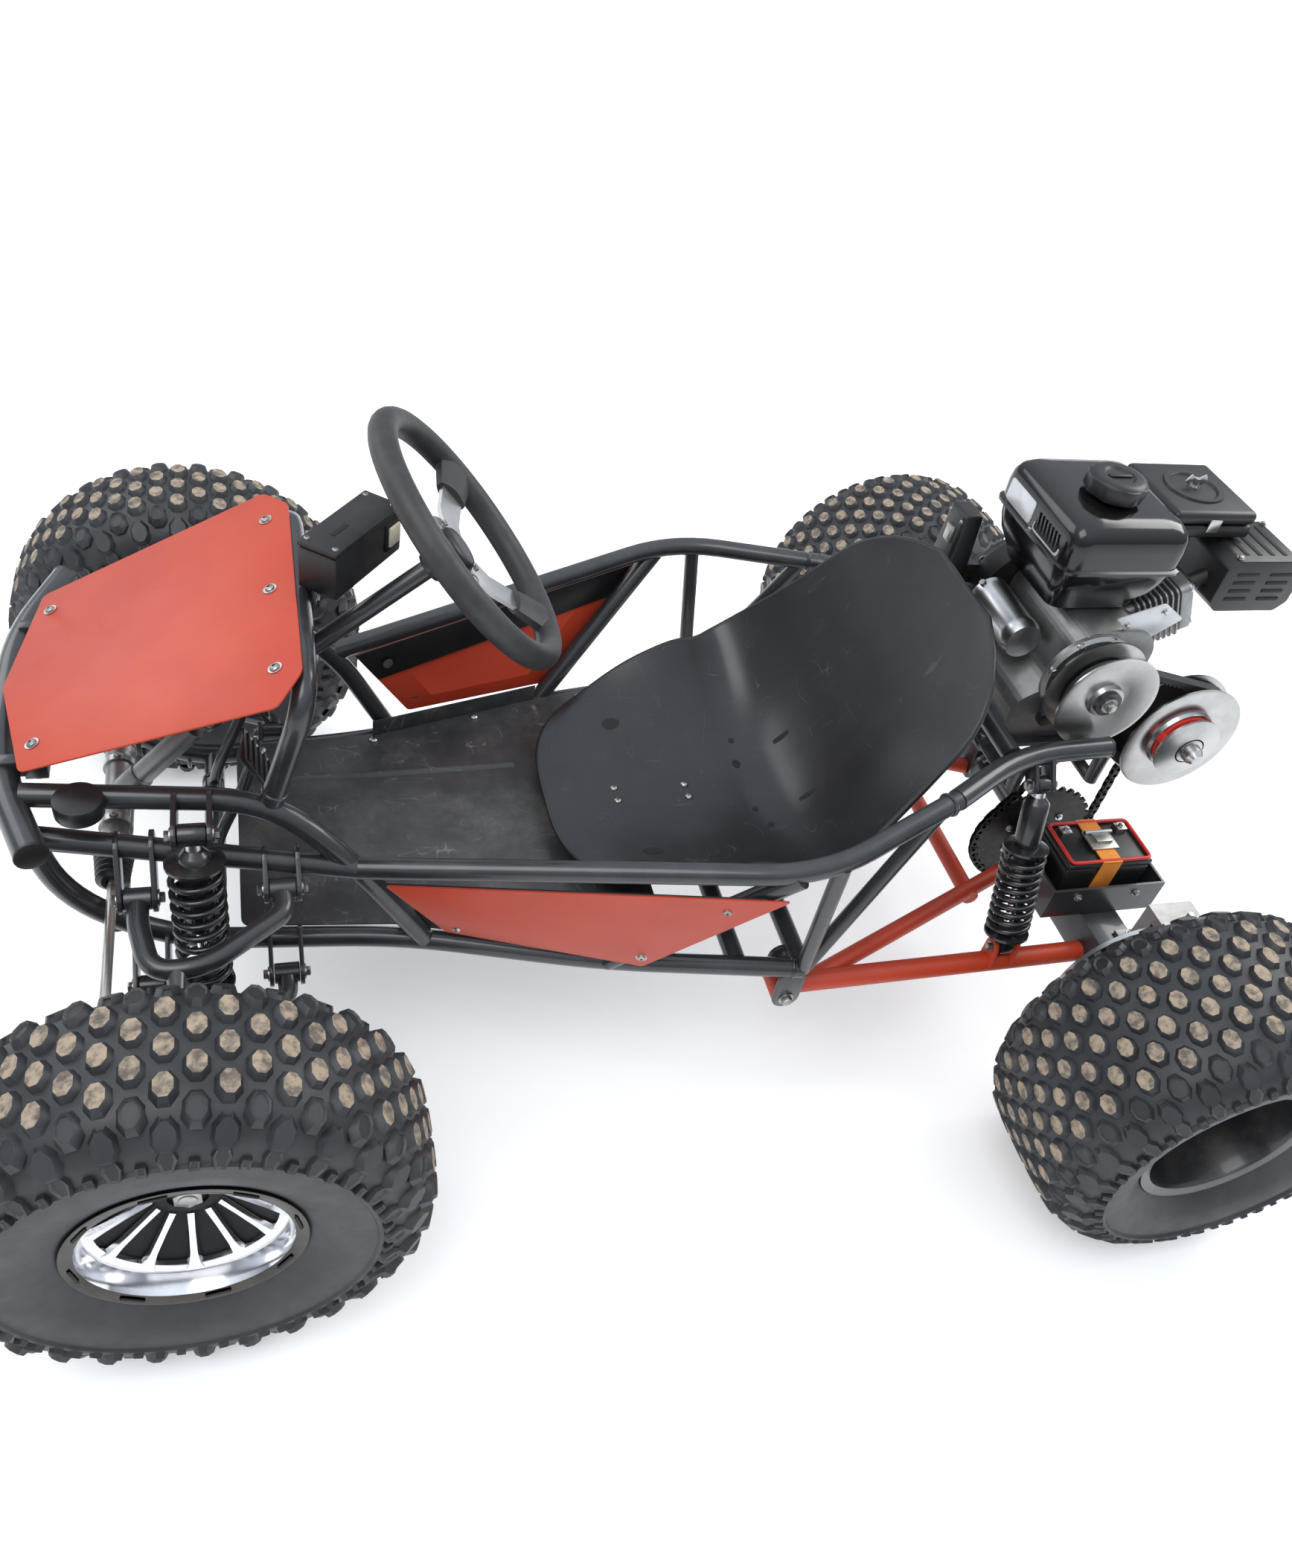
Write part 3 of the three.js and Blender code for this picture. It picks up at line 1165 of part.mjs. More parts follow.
const shockFoot = place(ahead(FRONT_SHOCK_LEAD), FRONT_SHOCK_FOOT_Y, FRONT_SHOCK_FOOT_Z);
const shockTop = place(ahead(FRONT_SHOCK_LEAD), FRONT_SHOCK_TOP_Y, FRONT_SHOCK_TOP_Z);

function lowerArm() {
  const { at, inner, bend, neck, eyes, bores } = wishbone(LOWER_PIVOT_Z, LOWER_JOINT_Z);
  const tip = at(KINGPIN_X, ARM_CROSS_Y);
  const tubes = inner.map((eye, i) => pipe([eye, bend[i], tip], ARM_TUBE_RADIUS, ARM_BEND));
  const braceY = FRONT_SHOCK_FOOT_Y;
  const braceReach = [ahead(ARM_REAR_LEAD) + ARM_BEND * 2, ahead(ARM_FRONT_LEAD) - ARM_BEND];
  const brace = slab(
    ...braceReach, braceY - ARM_BRACE_HALF * 2, braceY + ARM_BRACE_HALF * 2,
    at(0, braceY).z - ARM_BRACE_HALF / 2, at(0, braceY).z + ARM_BRACE_HALF / 2,
  );
  const ears = clevisX(shockFoot, EYE_LENGTH, at(shockFoot.x, braceY));
  return join(tubes, neck, eyes, brace, ears).subtract(bores);
}

showPair("lower_arm", lowerArm(), blackPaint);
showPair("upper_arm", upperArm(), blackPaint);

// Kingpin bracket: a post between both wishbones that carries the kingpin on two ears
const kingpinAt = (z) => place(KINGPIN_X, KINGPIN_Y, z);

function kingpinBracket() {
  const post = slab(
    KINGPIN_X - POST_WIDTH / 2, KINGPIN_X + POST_WIDTH / 2, POST_Y, POST_Y + POST_THICKNESS,
    POST_BOTTOM_Z, POST_TOP_Z,
  );
  const boss = JOINT_RADIUS + OVERRUN;
  const lugs = [LOWER_JOINT_Z, UPPER_JOINT_Z].map((z) => {
    const back = slab(
      KINGPIN_X - JOINT_LENGTH / 2 - LUG_THICKNESS, KINGPIN_X + JOINT_LENGTH / 2 + LUG_THICKNESS,
      POST_Y, POST_Y + POST_THICKNESS, z - boss, z + boss,
    );
    const mount = place(KINGPIN_X, POST_Y + POST_THICKNESS / 2, z);
    return join(back, clevisX(place(KINGPIN_X, JOINT_Y, z), JOINT_LENGTH, mount, boss));
  });
  const ear = (z) => join(
    rod(kingpinAt(z), kingpinAt(z + EAR_THICKNESS), EAR_RADIUS, ROUND_SIDES),
    slab(
      KINGPIN_X - POST_WIDTH / 2, KINGPIN_X + POST_WIDTH / 2, POST_Y, KINGPIN_Y,
      z, z + EAR_THICKNESS,
    ),
  );
  const pin = rod(kingpinAt(POST_BOTTOM_Z), kingpinAt(POST_TOP_Z), KINGPIN_RADIUS);
  return join(post, lugs, ear(POST_BOTTOM_Z), ear(POST_TOP_Z - EAR_THICKNESS), pin);
}

showPair("kingpin_bracket", kingpinBracket(), blackPaint);

// Knuckle: a sleeve on the kingpin with the spindle and the steering arm
const frontWheelY = FRONT_TRACK / 2;
const rearWheelY = REAR_TRACK / 2;

function knuckle() {
  const low = POST_BOTTOM_Z + EAR_THICKNESS + RUNNING_CLEARANCE;
  const high = POST_TOP_Z - EAR_THICKNESS - RUNNING_CLEARANCE;
  const sleeve = rod(kingpinAt(low), kingpinAt(high), KNUCKLE_RADIUS, ROUND_SIDES);
  const spindleAt = (y) => place(FRONT_AXLE_X, y, FRONT_AXLE_Z);
  const hubInner = frontWheelY - FRONT_HUB_INNER - RUNNING_CLEARANCE;
  const hubOuter = frontWheelY + FRONT_DISC_OFFSET + RIM_DISC_THICKNESS + RUNNING_CLEARANCE;
  const shoulderFrom = spindleAt(KINGPIN_Y + KINGPIN_RADIUS * 2);
  const shoulder = rod(shoulderFrom, spindleAt(hubInner), KNUCKLE_RADIUS, ROUND_SIDES);
  const spindle = rod(
    spindleAt(hubInner - OVERRUN), spindleAt(hubOuter + NUT_THICKNESS), SPINDLE_RADIUS, ROUND_SIDES,
  );
  const nut = rod(spindleAt(hubOuter), spindleAt(hubOuter + NUT_THICKNESS), SPINDLE_END_NUT, NUT_SIDES);
  const armZ = RACK_Z + TIE_ROD_EYE_RADIUS + RUNNING_CLEARANCE;
  const half = STEERING_ARM_WIDTH / 2;
  const arm = slab(
    KINGPIN_X, ahead(RACK_LEAD), KINGPIN_Y - half, KINGPIN_Y + half, armZ, armZ + STEERING_ARM_THICKNESS,
  );
  const tip = place(ahead(RACK_LEAD), KINGPIN_Y, armZ);
  const tipTop = tip.clone().setZ(armZ + STEERING_ARM_THICKNESS);
  const end = rod(tip, tipTop, TIE_ROD_EYE_RADIUS, ROUND_SIDES);
  const bore = hole(kingpinAt(low), kingpinAt(high), KINGPIN_RADIUS);
  return join(sleeve.subtract(bore), join(arm, end).subtract(bore), shoulder.subtract(bore), spindle, nut);
}

showPair("knuckle", knuckle(), castAluminium);

// Tyres and rims share their sides and phase, so that their faces run parallel
const beadReach = (radius, half, tyreRadius) => {
  const [[, inner], [share, outer]] = TYRE_OUTER_SHARES;
  const rise = (radius - BEAD_RADIUS) / (share * (tyreRadius - BEAD_RADIUS));
  return half * THREE.MathUtils.lerp(inner, outer, Math.max(rise, 0)) + GAP;
};

function tyre(radius, width, at) {
  const ringOf = ([rise, reach], side) => [
    BEAD_RADIUS + rise * (radius - BEAD_RADIUS), (side * reach * width) / 2,
  ];
  const outer = TYRE_OUTER_SHARES;
  const inner = TYRE_INNER_SHARES;
  const outline = [
    ...outer.map((share) => ringOf(share, 1)), ...outer.toReversed().map((share) => ringOf(share, -1)),
    ...inner.toReversed().map((share) => ringOf(share, -1)), ...inner.map((share) => ringOf(share, 1)),
  ];
  return turned(outline, at, acrossY, WHEEL_SIDES);
}

function rim(radius, width, at, disc, hubInner, bore) {
  const seat = BEAD_RADIUS - GAP;
  const edge = beadReach(FLANGE_RADIUS, width / 2, radius);
  const foot = beadReach(seat, width / 2, radius);
  const inside = seat - RIM_WALL;
  const outline = [
    [FLANGE_RADIUS, edge + FLANGE_THICKNESS], [FLANGE_RADIUS, edge], [seat, foot],
    [seat, -foot], [FLANGE_RADIUS, -edge], [FLANGE_RADIUS, -edge - FLANGE_THICKNESS],
    [inside, -edge], [inside, disc], [HUB_RADIUS, disc], [HUB_RADIUS, -hubInner], [bore, -hubInner],
    [bore, disc + RIM_DISC_THICKNESS], [inside, disc + RIM_DISC_THICKNESS], [inside, edge],
  ];
  return turned(outline, at, acrossY, WHEEL_SIDES);
}

const frontWheelAt = place(FRONT_AXLE_X, frontWheelY, FRONT_AXLE_Z);
const rearWheelAt = place(0, rearWheelY, REAR_AXLE_Z);
showPair("front_tyre", tyre(FRONT_TYRE_RADIUS, FRONT_TYRE_WIDTH, frontWheelAt), rubber);
showPair("rear_tyre", tyre(REAR_TYRE_RADIUS, REAR_TYRE_WIDTH, rearWheelAt), rubber);
const frontBore = SPINDLE_RADIUS + RUNNING_CLEARANCE;
const frontRim = rim(
  FRONT_TYRE_RADIUS, FRONT_TYRE_WIDTH, frontWheelAt,
  FRONT_DISC_OFFSET, FRONT_HUB_INNER, frontBore,
);
showPair("front_rim", frontRim, darkPlastic);
const rearRim = rim(
  REAR_TYRE_RADIUS, REAR_TYRE_WIDTH, rearWheelAt,
  REAR_DISC_OFFSET, REAR_HUB_INNER, AXLE_RADIUS + GAP,
);
showPair("rear_rim", rearRim, darkPlastic);

// Springs: each is one unbroken wire whose ends run straight towards their seats
function coil(name, from, to, radius, wire, curls) {
  const axis = to.clone().sub(from);
  const length = axis.length() - 2 * GAP;
  const unit = axis.normalize();
  const aside = place(1, 0, 0).addScaledVector(unit, -unit.x).normalize();
  const across = unit.clone().cross(aside).normalize();
  const start = from.clone().addScaledVector(unit, GAP);
  const lead = wire * SPRING_LEAD_WIRES;
  const straight = wire * SPRING_STRAIGHT_WIRES;
  const at = (share, along) => {
    const angle = share * curls * 2 * Math.PI;
    return start.clone().addScaledVector(unit, along)
      .addScaledVector(aside, radius * Math.cos(angle))
      .addScaledVector(across, radius * Math.sin(angle));
  };
  const steps = curls * CURL_STEPS;
  const stations = [at(0, 0), at(0, straight)];
  for (let i = 1; i < steps; i++) {
    stations.push(at(i / steps, lead + (length - 2 * lead) * (i / steps)));
  }
  stations.push(at(1, length - straight), at(1, length));
  const apart = stations.flatMap((point, i) =>
    stations.slice(i + Math.floor(CURL_STEPS / 2)).map((other) => point.distanceTo(other)),
  );
  console.log(`${name}: least gap ${(Math.min(...apart) - 2 * wire).toFixed(2)} mm`);
  return sweep(stations, wire, WIRE_SIDES);
}

// A coil-over: a body with its top eye and seat, a rod with its bottom eye and seat, a spring
function coilOver(top, foot, sizes) {
  const along = foot.clone().sub(top);
  const length = along.length();
  const unit = along.normalize();
  const at = (share) => top.clone().addScaledVector(unit, share * length);
  const past = (share, distance) => at(share).addScaledVector(unit, distance);
  const bore = rod(
    at(sizes.boreShare), past(sizes.bodyShare, OVERRUN),
    holeRadius(DAMPER_ROD_RADIUS, RUNNING_CLEARANCE, TUBE_SIDES), TUBE_SIDES,
  );
  const body = join(
    eyeX(top, sizes.topEyeLength, sizes.eyeRadius),
    rod(top, at(sizes.bodyTop), Math.min(sizes.eyeRadius, sizes.topEyeLength / 2) - GAP, TUBE_SIDES),
    rod(at(sizes.bodyTop), at(sizes.bodyShare), sizes.bodyRadius, ROUND_SIDES),
    rod(at(sizes.springTop), past(sizes.springTop, -SPRING_SEAT_THICKNESS), sizes.seatRadius, ROUND_SIDES),
  );
  const stem = join(
    rod(at(sizes.rodShare), foot, DAMPER_ROD_RADIUS),
    rod(at(sizes.springFoot), past(sizes.springFoot, SPRING_SEAT_THICKNESS), sizes.seatRadius, ROUND_SIDES),
    rod(past(sizes.springFoot, SPRING_SEAT_THICKNESS), foot, sizes.footRadius),
    eyeX(foot, sizes.footEyeLength, sizes.eyeRadius),
  );
  return {
    body: body.subtract(join(bore, boreX(top, sizes.topEyeLength + sizes.bodyRadius * 2))),
    stem: stem.subtract(boreX(foot, sizes.footEyeLength + sizes.footRadius * 2, sizes.footClearance)),
    spring: coil(
      sizes.name, at(sizes.springTop), at(sizes.springFoot),
      sizes.springRadius, sizes.wireRadius, sizes.curls,
    ),
  };
}

const frontShock = coilOver(shockTop, shockFoot, {
  name: "front spring", bodyTop: FRONT_BODY_TOP_SHARE, boreShare: FRONT_BORE_SHARE,
  bodyShare: FRONT_BODY_SHARE, rodShare: FRONT_ROD_SHARE,
  springTop: FRONT_SPRING_TOP_SHARE, springFoot: FRONT_SPRING_FOOT_SHARE,
  bodyRadius: FRONT_BODY_RADIUS, seatRadius: FRONT_SEAT_RADIUS, eyeRadius: EYE_RADIUS,
  footRadius: DAMPER_FOOT_RADIUS, topEyeLength: EYE_LENGTH, footEyeLength: EYE_LENGTH,
  footClearance: OPEN_PIN_CLEARANCE, springRadius: FRONT_SPRING_RADIUS,
  wireRadius: FRONT_WIRE_RADIUS, curls: FRONT_SPRING_CURLS,
});
showPair("front_shock_body", frontShock.body, blackPaint);
showPair("front_shock_rod", frontShock.stem, polishedMetal);
showPair("front_spring", frontShock.spring, springBlack);

const rearShockTop = place(REAR_SHOCK_TOP_X, REAR_SHOCK_TOP_Y, REAR_SHOCK_TOP_Z);
const rearShockFoot = place(REAR_SHOCK_FOOT_X, REAR_SHOCK_FOOT_Y, REAR_SHOCK_FOOT_Z);
const rearShock = coilOver(rearShockTop, rearShockFoot, {
  name: "rear spring", bodyTop: REAR_BODY_TOP_SHARE, boreShare: REAR_BORE_SHARE, bodyShare: REAR_BODY_SHARE,
  rodShare: REAR_ROD_SHARE, springTop: REAR_SPRING_TOP_SHARE, springFoot: REAR_SPRING_FOOT_SHARE,
  bodyRadius: REAR_BODY_RADIUS, seatRadius: REAR_SEAT_RADIUS, eyeRadius: REAR_EYE_RADIUS,
  footRadius: DAMPER_FOOT_RADIUS, topEyeLength: REAR_EYE_LENGTH, footEyeLength: REAR_FOOT_EYE_LENGTH,
  footClearance: REAR_FOOT_CLEARANCE, springRadius: REAR_SPRING_RADIUS,
  wireRadius: REAR_WIRE_RADIUS, curls: REAR_SPRING_CURLS,
});
showPair("rear_shock_body", rearShock.body, blackPaint);
showPair("rear_shock_rod", rearShock.stem, polishedMetal);
showPair("rear_spring", rearShock.spring, springBlack);

// Swing arm: red tubes from two pivots to a black box beam on each side of the chain
function swingArm() {
  const pivot = place(SWING_PIVOT_X, SWING_PIVOT_Y, SWING_PIVOT_Z);
  const eyeHalf = place(0, SWING_EYE_LENGTH / 2, 0);
  const [eyeIn, eyeOut] = [pivot.clone().sub(eyeHalf), pivot.clone().add(eyeHalf)];
  const eye = rod(eyeIn, eyeOut, SWING_EYE_RADIUS, ROUND_SIDES);
  const eyeBore = hole(eyeIn, eyeOut, SWING_PIN_RADIUS);
  const beamFace = BEAM_HALF_DEPTH - OVERRUN;
  const outerEnd = place(beamFace, SWING_TUBE_REAR_Y, SWING_TUBE_REAR_Z + SWING_TUBE_RADIUS);
  const outer = rod(pivot, outerEnd, SWING_TUBE_RADIUS);
  const inFront = place(SWING_PIVOT_X - SWING_EYE_RADIUS * 2, SWING_PIVOT_Y, SWING_PIVOT_Z);
  const inRear = place(beamFace, BEAM_INNER_Y + SWING_TUBE_RADIUS, outerEnd.z);
  const diagonal = rod(inFront, inRear, SWING_BRACE_RADIUS);
  const beam = slab(
    -BEAM_HALF_DEPTH, BEAM_HALF_DEPTH, BEAM_INNER_Y, BEAM_OUTER_Y,
    REAR_AXLE_Z - BEAM_HALF_HEIGHT, REAR_AXLE_Z + BEAM_HALF_HEIGHT,
  );
  const onAxle = (y) => place(0, y, REAR_AXLE_Z);
  const innerEnd = BEAM_INNER_Y - BEARING_LENGTH;
  const outerFace = BEAM_OUTER_Y + BEARING_LENGTH;
  const bearings = [[innerEnd, BEAM_INNER_Y], [BEAM_OUTER_Y, outerFace]]
    .map(([from, to]) => rod(onAxle(from), onAxle(to), BEARING_RADIUS, ROUND_SIDES));
  const axleHole = hole(onAxle(innerEnd), onAxle(outerFace), AXLE_RADIUS);
  const share = (pivot.x - rearShockFoot.x) / (pivot.x - outerEnd.x);
  const under = pivot.clone().lerp(outerEnd, share);
  const ears = clevisX(rearShockFoot, REAR_FOOT_SPREAD, under, REAR_EYE_RADIUS);
  const left = join(outer, diagonal, beam, bearings, eye, ears).subtract(join(eyeBore, axleHole));
  const crossShare = (inFront.x - SWING_CROSS_X) / (inFront.x - inRear.x);
  const crossEnd = inFront.clone().lerp(inRear, crossShare);
  const cross = rod(crossEnd.clone().setY(-crossEnd.y), crossEnd, SWING_BRACE_RADIUS);
  return join(bothSides(left), cross);
}

show("swing_arm", swingArm(), redPaint);

// A toothed disc across an axis parallel to Y, and a ring of links round two sprockets
function sprocket(radius, teeth, x, y, z, thickness) {
  const section = new THREE.Shape();
  for (let i = 0; i < teeth * 2; i++) {
    const angle = (i / (teeth * 2)) * 2 * Math.PI;
    const reach = i % 2 ? radius : radius - TOOTH_DEPTH;
    section[i ? "lineTo" : "moveTo"](reach * Math.cos(angle), reach * Math.sin(angle));
  }
  section.closePath();
  const disc = new THREE.ExtrudeGeometry(section, { depth: thickness, bevelEnabled: false });
  disc.rotateX(Math.PI / 2);
  return solidOf(disc.translate(x, y + thickness / 2, z));
}

// The outline of a band that is drawn tight round two wheels, as [x, z] pairs
function tightOutline(a, b) {
  const [dx, dz] = [b.x - a.x, b.z - a.z];
  const distance = Math.hypot(dx, dz);
  const heading = Math.atan2(dz, dx);
  const lean = Math.acos((a.radius - b.radius) / distance);
  const arc = (wheel, from, to) => {
    const steps = BAND_STEPS;
    return Array.from({ length: steps + 1 }, (_, i) => {
      const angle = THREE.MathUtils.lerp(from, to, i / steps);
      return [wheel.x + wheel.radius * Math.cos(angle), wheel.z + wheel.radius * Math.sin(angle)];
    });
  };
  return [
    ...arc(b, heading - lean, heading + lean),
    ...arc(a, heading + lean, heading + 2 * Math.PI - lean),
  ];
}

function band(a, b, thickness, y, width) {
  const grown = (wheel, by) => ({ ...wheel, radius: wheel.radius + by });
  const outer = prism(tightOutline(grown(a, thickness), grown(b, thickness)), y - width / 2, y + width / 2);
  const inner = prism(tightOutline(a, b), y - width / 2 - OVERRUN, y + width / 2 + OVERRUN);
  return outer.subtract(inner);
}

const bandClearance = (radius) =>
  (radius + RUNNING_CLEARANCE) / Math.cos((Math.PI * BAND_WRAP_SHARE) / BAND_STEPS);
const jackSprocketRadius = (AXLE_SPROCKET_RADIUS * JACK_SPROCKET_TEETH) / AXLE_SPROCKET_TEETH;
const axleWheel = { x: 0, z: REAR_AXLE_Z, radius: bandClearance(AXLE_SPROCKET_RADIUS) };
const jackWheel = { x: JACKSHAFT_X, z: JACKSHAFT_Z, radius: bandClearance(jackSprocketRadius) };
show("drive_chain", band(jackWheel, axleWheel, CHAIN_THICKNESS, CHAIN_Y, CHAIN_WIDTH), rustySteel);
const grooveReach = (radius) => bandClearance(radius / Math.cos(Math.PI / PULLEY_SIDES));
const clutchWheel = { x: CRANK_X, z: CRANK_Z, radius: grooveReach(CLUTCH_BELT_RADIUS) };
const drivenWheel = { x: JACKSHAFT_X, z: JACKSHAFT_Z, radius: grooveReach(DRIVEN_BELT_RADIUS) };
show("drive_belt", band(clutchWheel, drivenWheel, BELT_THICKNESS, BELT_Y, BELT_WIDTH), rubber);

// Rear axle with its sprocket, brake disc and wheel flanges
function rearAxle() {
  const onAxle = (y) => place(0, y, REAR_AXLE_Z);
  const hubFace = rearWheelY - REAR_HUB_INNER - RUNNING_CLEARANCE;
  const hubEnd = rearWheelY + REAR_DISC_OFFSET + RIM_DISC_THICKNESS + RUNNING_CLEARANCE;
  const flanges = [-1, 1].map((side) => join(
    rod(onAxle(side * (hubFace - NUT_THICKNESS)), onAxle(side * hubFace), HUB_RADIUS, ROUND_SIDES),
    rod(onAxle(side * hubEnd), onAxle(side * (hubEnd + NUT_THICKNESS)), AXLE_NUT_RADIUS, NUT_SIDES),
  ));
  const shaft = rod(onAxle(-hubEnd - OVERRUN), onAxle(hubEnd + OVERRUN), AXLE_RADIUS, ROUND_SIDES);
  const disc = rod(
    onAxle(DISC_Y - DISC_THICKNESS / 2), onAxle(DISC_Y + DISC_THICKNESS / 2), DISC_RADIUS, WHEEL_SIDES,
  );
  const discHub = rod(
    onAxle(DISC_Y - DISC_HUB_LENGTH / 2), onAxle(DISC_Y + DISC_HUB_LENGTH / 2), DISC_HUB_RADIUS, ROUND_SIDES,
  );
  const wheel = sprocket(
    AXLE_SPROCKET_RADIUS, AXLE_SPROCKET_TEETH, 0, CHAIN_Y, REAR_AXLE_Z, SPROCKET_THICKNESS,
  );
  return join(shaft, flanges, disc, discHub, wheel);
}

show("rear_axle", rearAxle(), castAluminium);

// Brake caliper on a foot that stands on the beam
function brakeCaliper() {
  const low = REAR_AXLE_Z + CALIPER_RISE - CALIPER_HEIGHT / 2;
  const body = slab(
    CALIPER_LEAD - CALIPER_LENGTH / 2, CALIPER_LEAD + CALIPER_LENGTH / 2,
    DISC_Y - CALIPER_WIDTH / 2, DISC_Y + CALIPER_WIDTH / 2, low, low + CALIPER_HEIGHT,
  );
  const slot = rod(
    place(0, DISC_Y - DISC_THICKNESS / 2 - OVERRUN, REAR_AXLE_Z),
    place(0, DISC_Y + DISC_THICKNESS / 2 + OVERRUN, REAR_AXLE_Z),
    DISC_RADIUS + OVERRUN * 3, WHEEL_SIDES,
  );
  const beamTop = REAR_AXLE_Z + BEAM_HALF_HEIGHT + GAP;
  const foot = slab(
    -BEAM_HALF_DEPTH, -OVERRUN, BEAM_OUTER_Y - CALIPER_FOOT, BEAM_OUTER_Y, beamTop, beamTop + LUG_THICKNESS,
  );
  const stay = slab(
    -BEAM_HALF_DEPTH, -OVERRUN, BEAM_OUTER_Y - LUG_THICKNESS, BEAM_OUTER_Y, beamTop, low + LUG_THICKNESS,
  );
  const shelf = slab(
    -BEAM_HALF_DEPTH, -OVERRUN, BEAM_OUTER_Y - LUG_THICKNESS, DISC_Y - DISC_HUB_LENGTH / 2,
    low, low + LUG_THICKNESS,
  );
  return join(body, foot, stay, shelf).subtract(slot);
}

show("brake_caliper", brakeCaliper(), castAluminium);

// Battery tray on the left beam, with its battery
function batteryTray() {
  const foot = REAR_AXLE_Z + BEAM_HALF_HEIGHT + GAP;
  const [x0, x1] = [TRAY_X - TRAY_LENGTH / 2, TRAY_X + TRAY_LENGTH / 2];
  const [y0, y1] = [TRAY_Y - TRAY_WIDTH / 2, TRAY_Y + TRAY_WIDTH / 2];
  const inside = slab(
    x0 + TRAY_WALL, x1 - TRAY_WALL, y0 + TRAY_WALL, y1 - TRAY_WALL,
    foot + TRAY_WALL, foot + TRAY_HEIGHT + OVERRUN,
  );
  return slab(x0, x1, y0, y1, foot, foot + TRAY_HEIGHT).subtract(inside);
}

const batteryFoot = REAR_AXLE_Z + BEAM_HALF_HEIGHT + TRAY_WALL + GAP * 2;
const batteryBlock = slab(
  TRAY_X - BATTERY_LENGTH / 2, TRAY_X + BATTERY_LENGTH / 2,
  TRAY_Y - BATTERY_WIDTH / 2, TRAY_Y + BATTERY_WIDTH / 2, batteryFoot, batteryFoot + BATTERY_HEIGHT,
);
show("battery_tray", batteryTray(), blackPaint);
show("battery", batteryBlock, darkPlastic);

// Engine: crankcase, finned cylinder, head, crank stub, drive plate and jackshaft bearing
const cylinderLean = radians(CYLINDER_TILT_DEG);
const cylinderOut = place(-Math.cos(cylinderLean), 0, Math.sin(cylinderLean));
const onCylinder = (distance) =>
  place(CRANK_X, CYLINDER_Y, CRANK_Z).addScaledVector(cylinderOut, distance);

function engineBlock() {
  const length = CASE_FRONT_X - CASE_REAR_X;
  const height = CASE_TOP_Z - ENGINE_BASE_Z;
  const outline = CASE_OUTLINE_SHARES.map(([x, z]) => [CASE_REAR_X + length * x, ENGINE_BASE_Z + height * z]);
  const crankcase = prism(outline, CASE_RIGHT_Y, CASE_LEFT_Y);
  const raised = (half, from, to) => {
    const box = new THREE.BoxGeometry(to - from, half * 2, half * 2);
    box.rotateY(cylinderLean);
    const middle = onCylinder((from + to) / 2);
    return solidOf(box.translate(middle.x, middle.y, middle.z));
  };
  const barrel = raised(CYLINDER_HALF, CYLINDER_START, CYLINDER_LENGTH);
  const fins = Array.from({ length: FIN_COUNT }, (_, i) => {
    const from = CYLINDER_LENGTH - FIN_PITCH * (i + 1);
    return raised(FIN_HALF, from, from + FIN_THICKNESS);
  });
  const plateOuter = CASE_LEFT_Y + CONVERTER_PLATE;
  const round = (x, z, radius, from, to) => rod(place(x, from, z), place(x, to, z), radius, ROUND_SIDES);
  const backing = prism(
    tightOutline(
      { x: CRANK_X, z: CRANK_Z, radius: CLUTCH_BELT_RADIUS },
      { x: JACKSHAFT_X, z: JACKSHAFT_Z, radius: BEARING_HOUSING_RADIUS },
    ),
    CASE_LEFT_Y - CONVERTER_PLATE, plateOuter,
  );
  const housing = round(
    JACKSHAFT_X, JACKSHAFT_Z, BEARING_HOUSING_RADIUS, CHAIN_Y + BEARING_HOUSING_GAP, plateOuter,
  );
  const crank = round(CRANK_X, CRANK_Z, CRANK_RADIUS, CASE_LEFT_Y, CLUTCH_OUTER_Y);
  const shaftHole = hole(
    place(JACKSHAFT_X, CHAIN_Y, JACKSHAFT_Z), place(JACKSHAFT_X, plateOuter, JACKSHAFT_Z), JACKSHAFT_RADIUS,
  );
  return join(crankcase, barrel, fins, join(backing, housing).subtract(shaftHole), crank);
}

show("engine_block", engineBlock(), castAluminium);

// Recoil housing on the right of the crankcase, with the control box in front of it
function recoilHousing() {
  const from = CASE_RIGHT_Y - GAP;
  const drum = turned(
    [
      [0, 0], [RECOIL_RADIUS, 0], [RECOIL_RADIUS, -RECOIL_DEPTH * RECOIL_STRAIGHT_SHARE],
      [RECOIL_RADIUS * RECOIL_FACE_SHARE, -RECOIL_DEPTH], [0, -RECOIL_DEPTH],
    ],
    place(CRANK_X, from, CRANK_Z),
  );
  const box = slab(
    CONTROL_BOX_X - CONTROL_BOX_LENGTH / 2, CONTROL_BOX_X + CONTROL_BOX_LENGTH / 2,
    CONTROL_BOX_Y - CONTROL_BOX_WIDTH / 2, CONTROL_BOX_Y + CONTROL_BOX_WIDTH / 2,
    CONTROL_BOX_FOOT_Z, CONTROL_BOX_TOP_Z,
  );
  const [near, far] = RECOIL_ARM_SHARES;
  const arm = slab(
    CRANK_X, CONTROL_BOX_X, from - RECOIL_DEPTH * far, from - RECOIL_DEPTH * near,
    CONTROL_BOX_FOOT_Z, CRANK_Z + RECOIL_RADIUS / 2,
  );
  return join(drum, box, arm);
}

show("recoil_housing", recoilHousing(), darkPlastic);

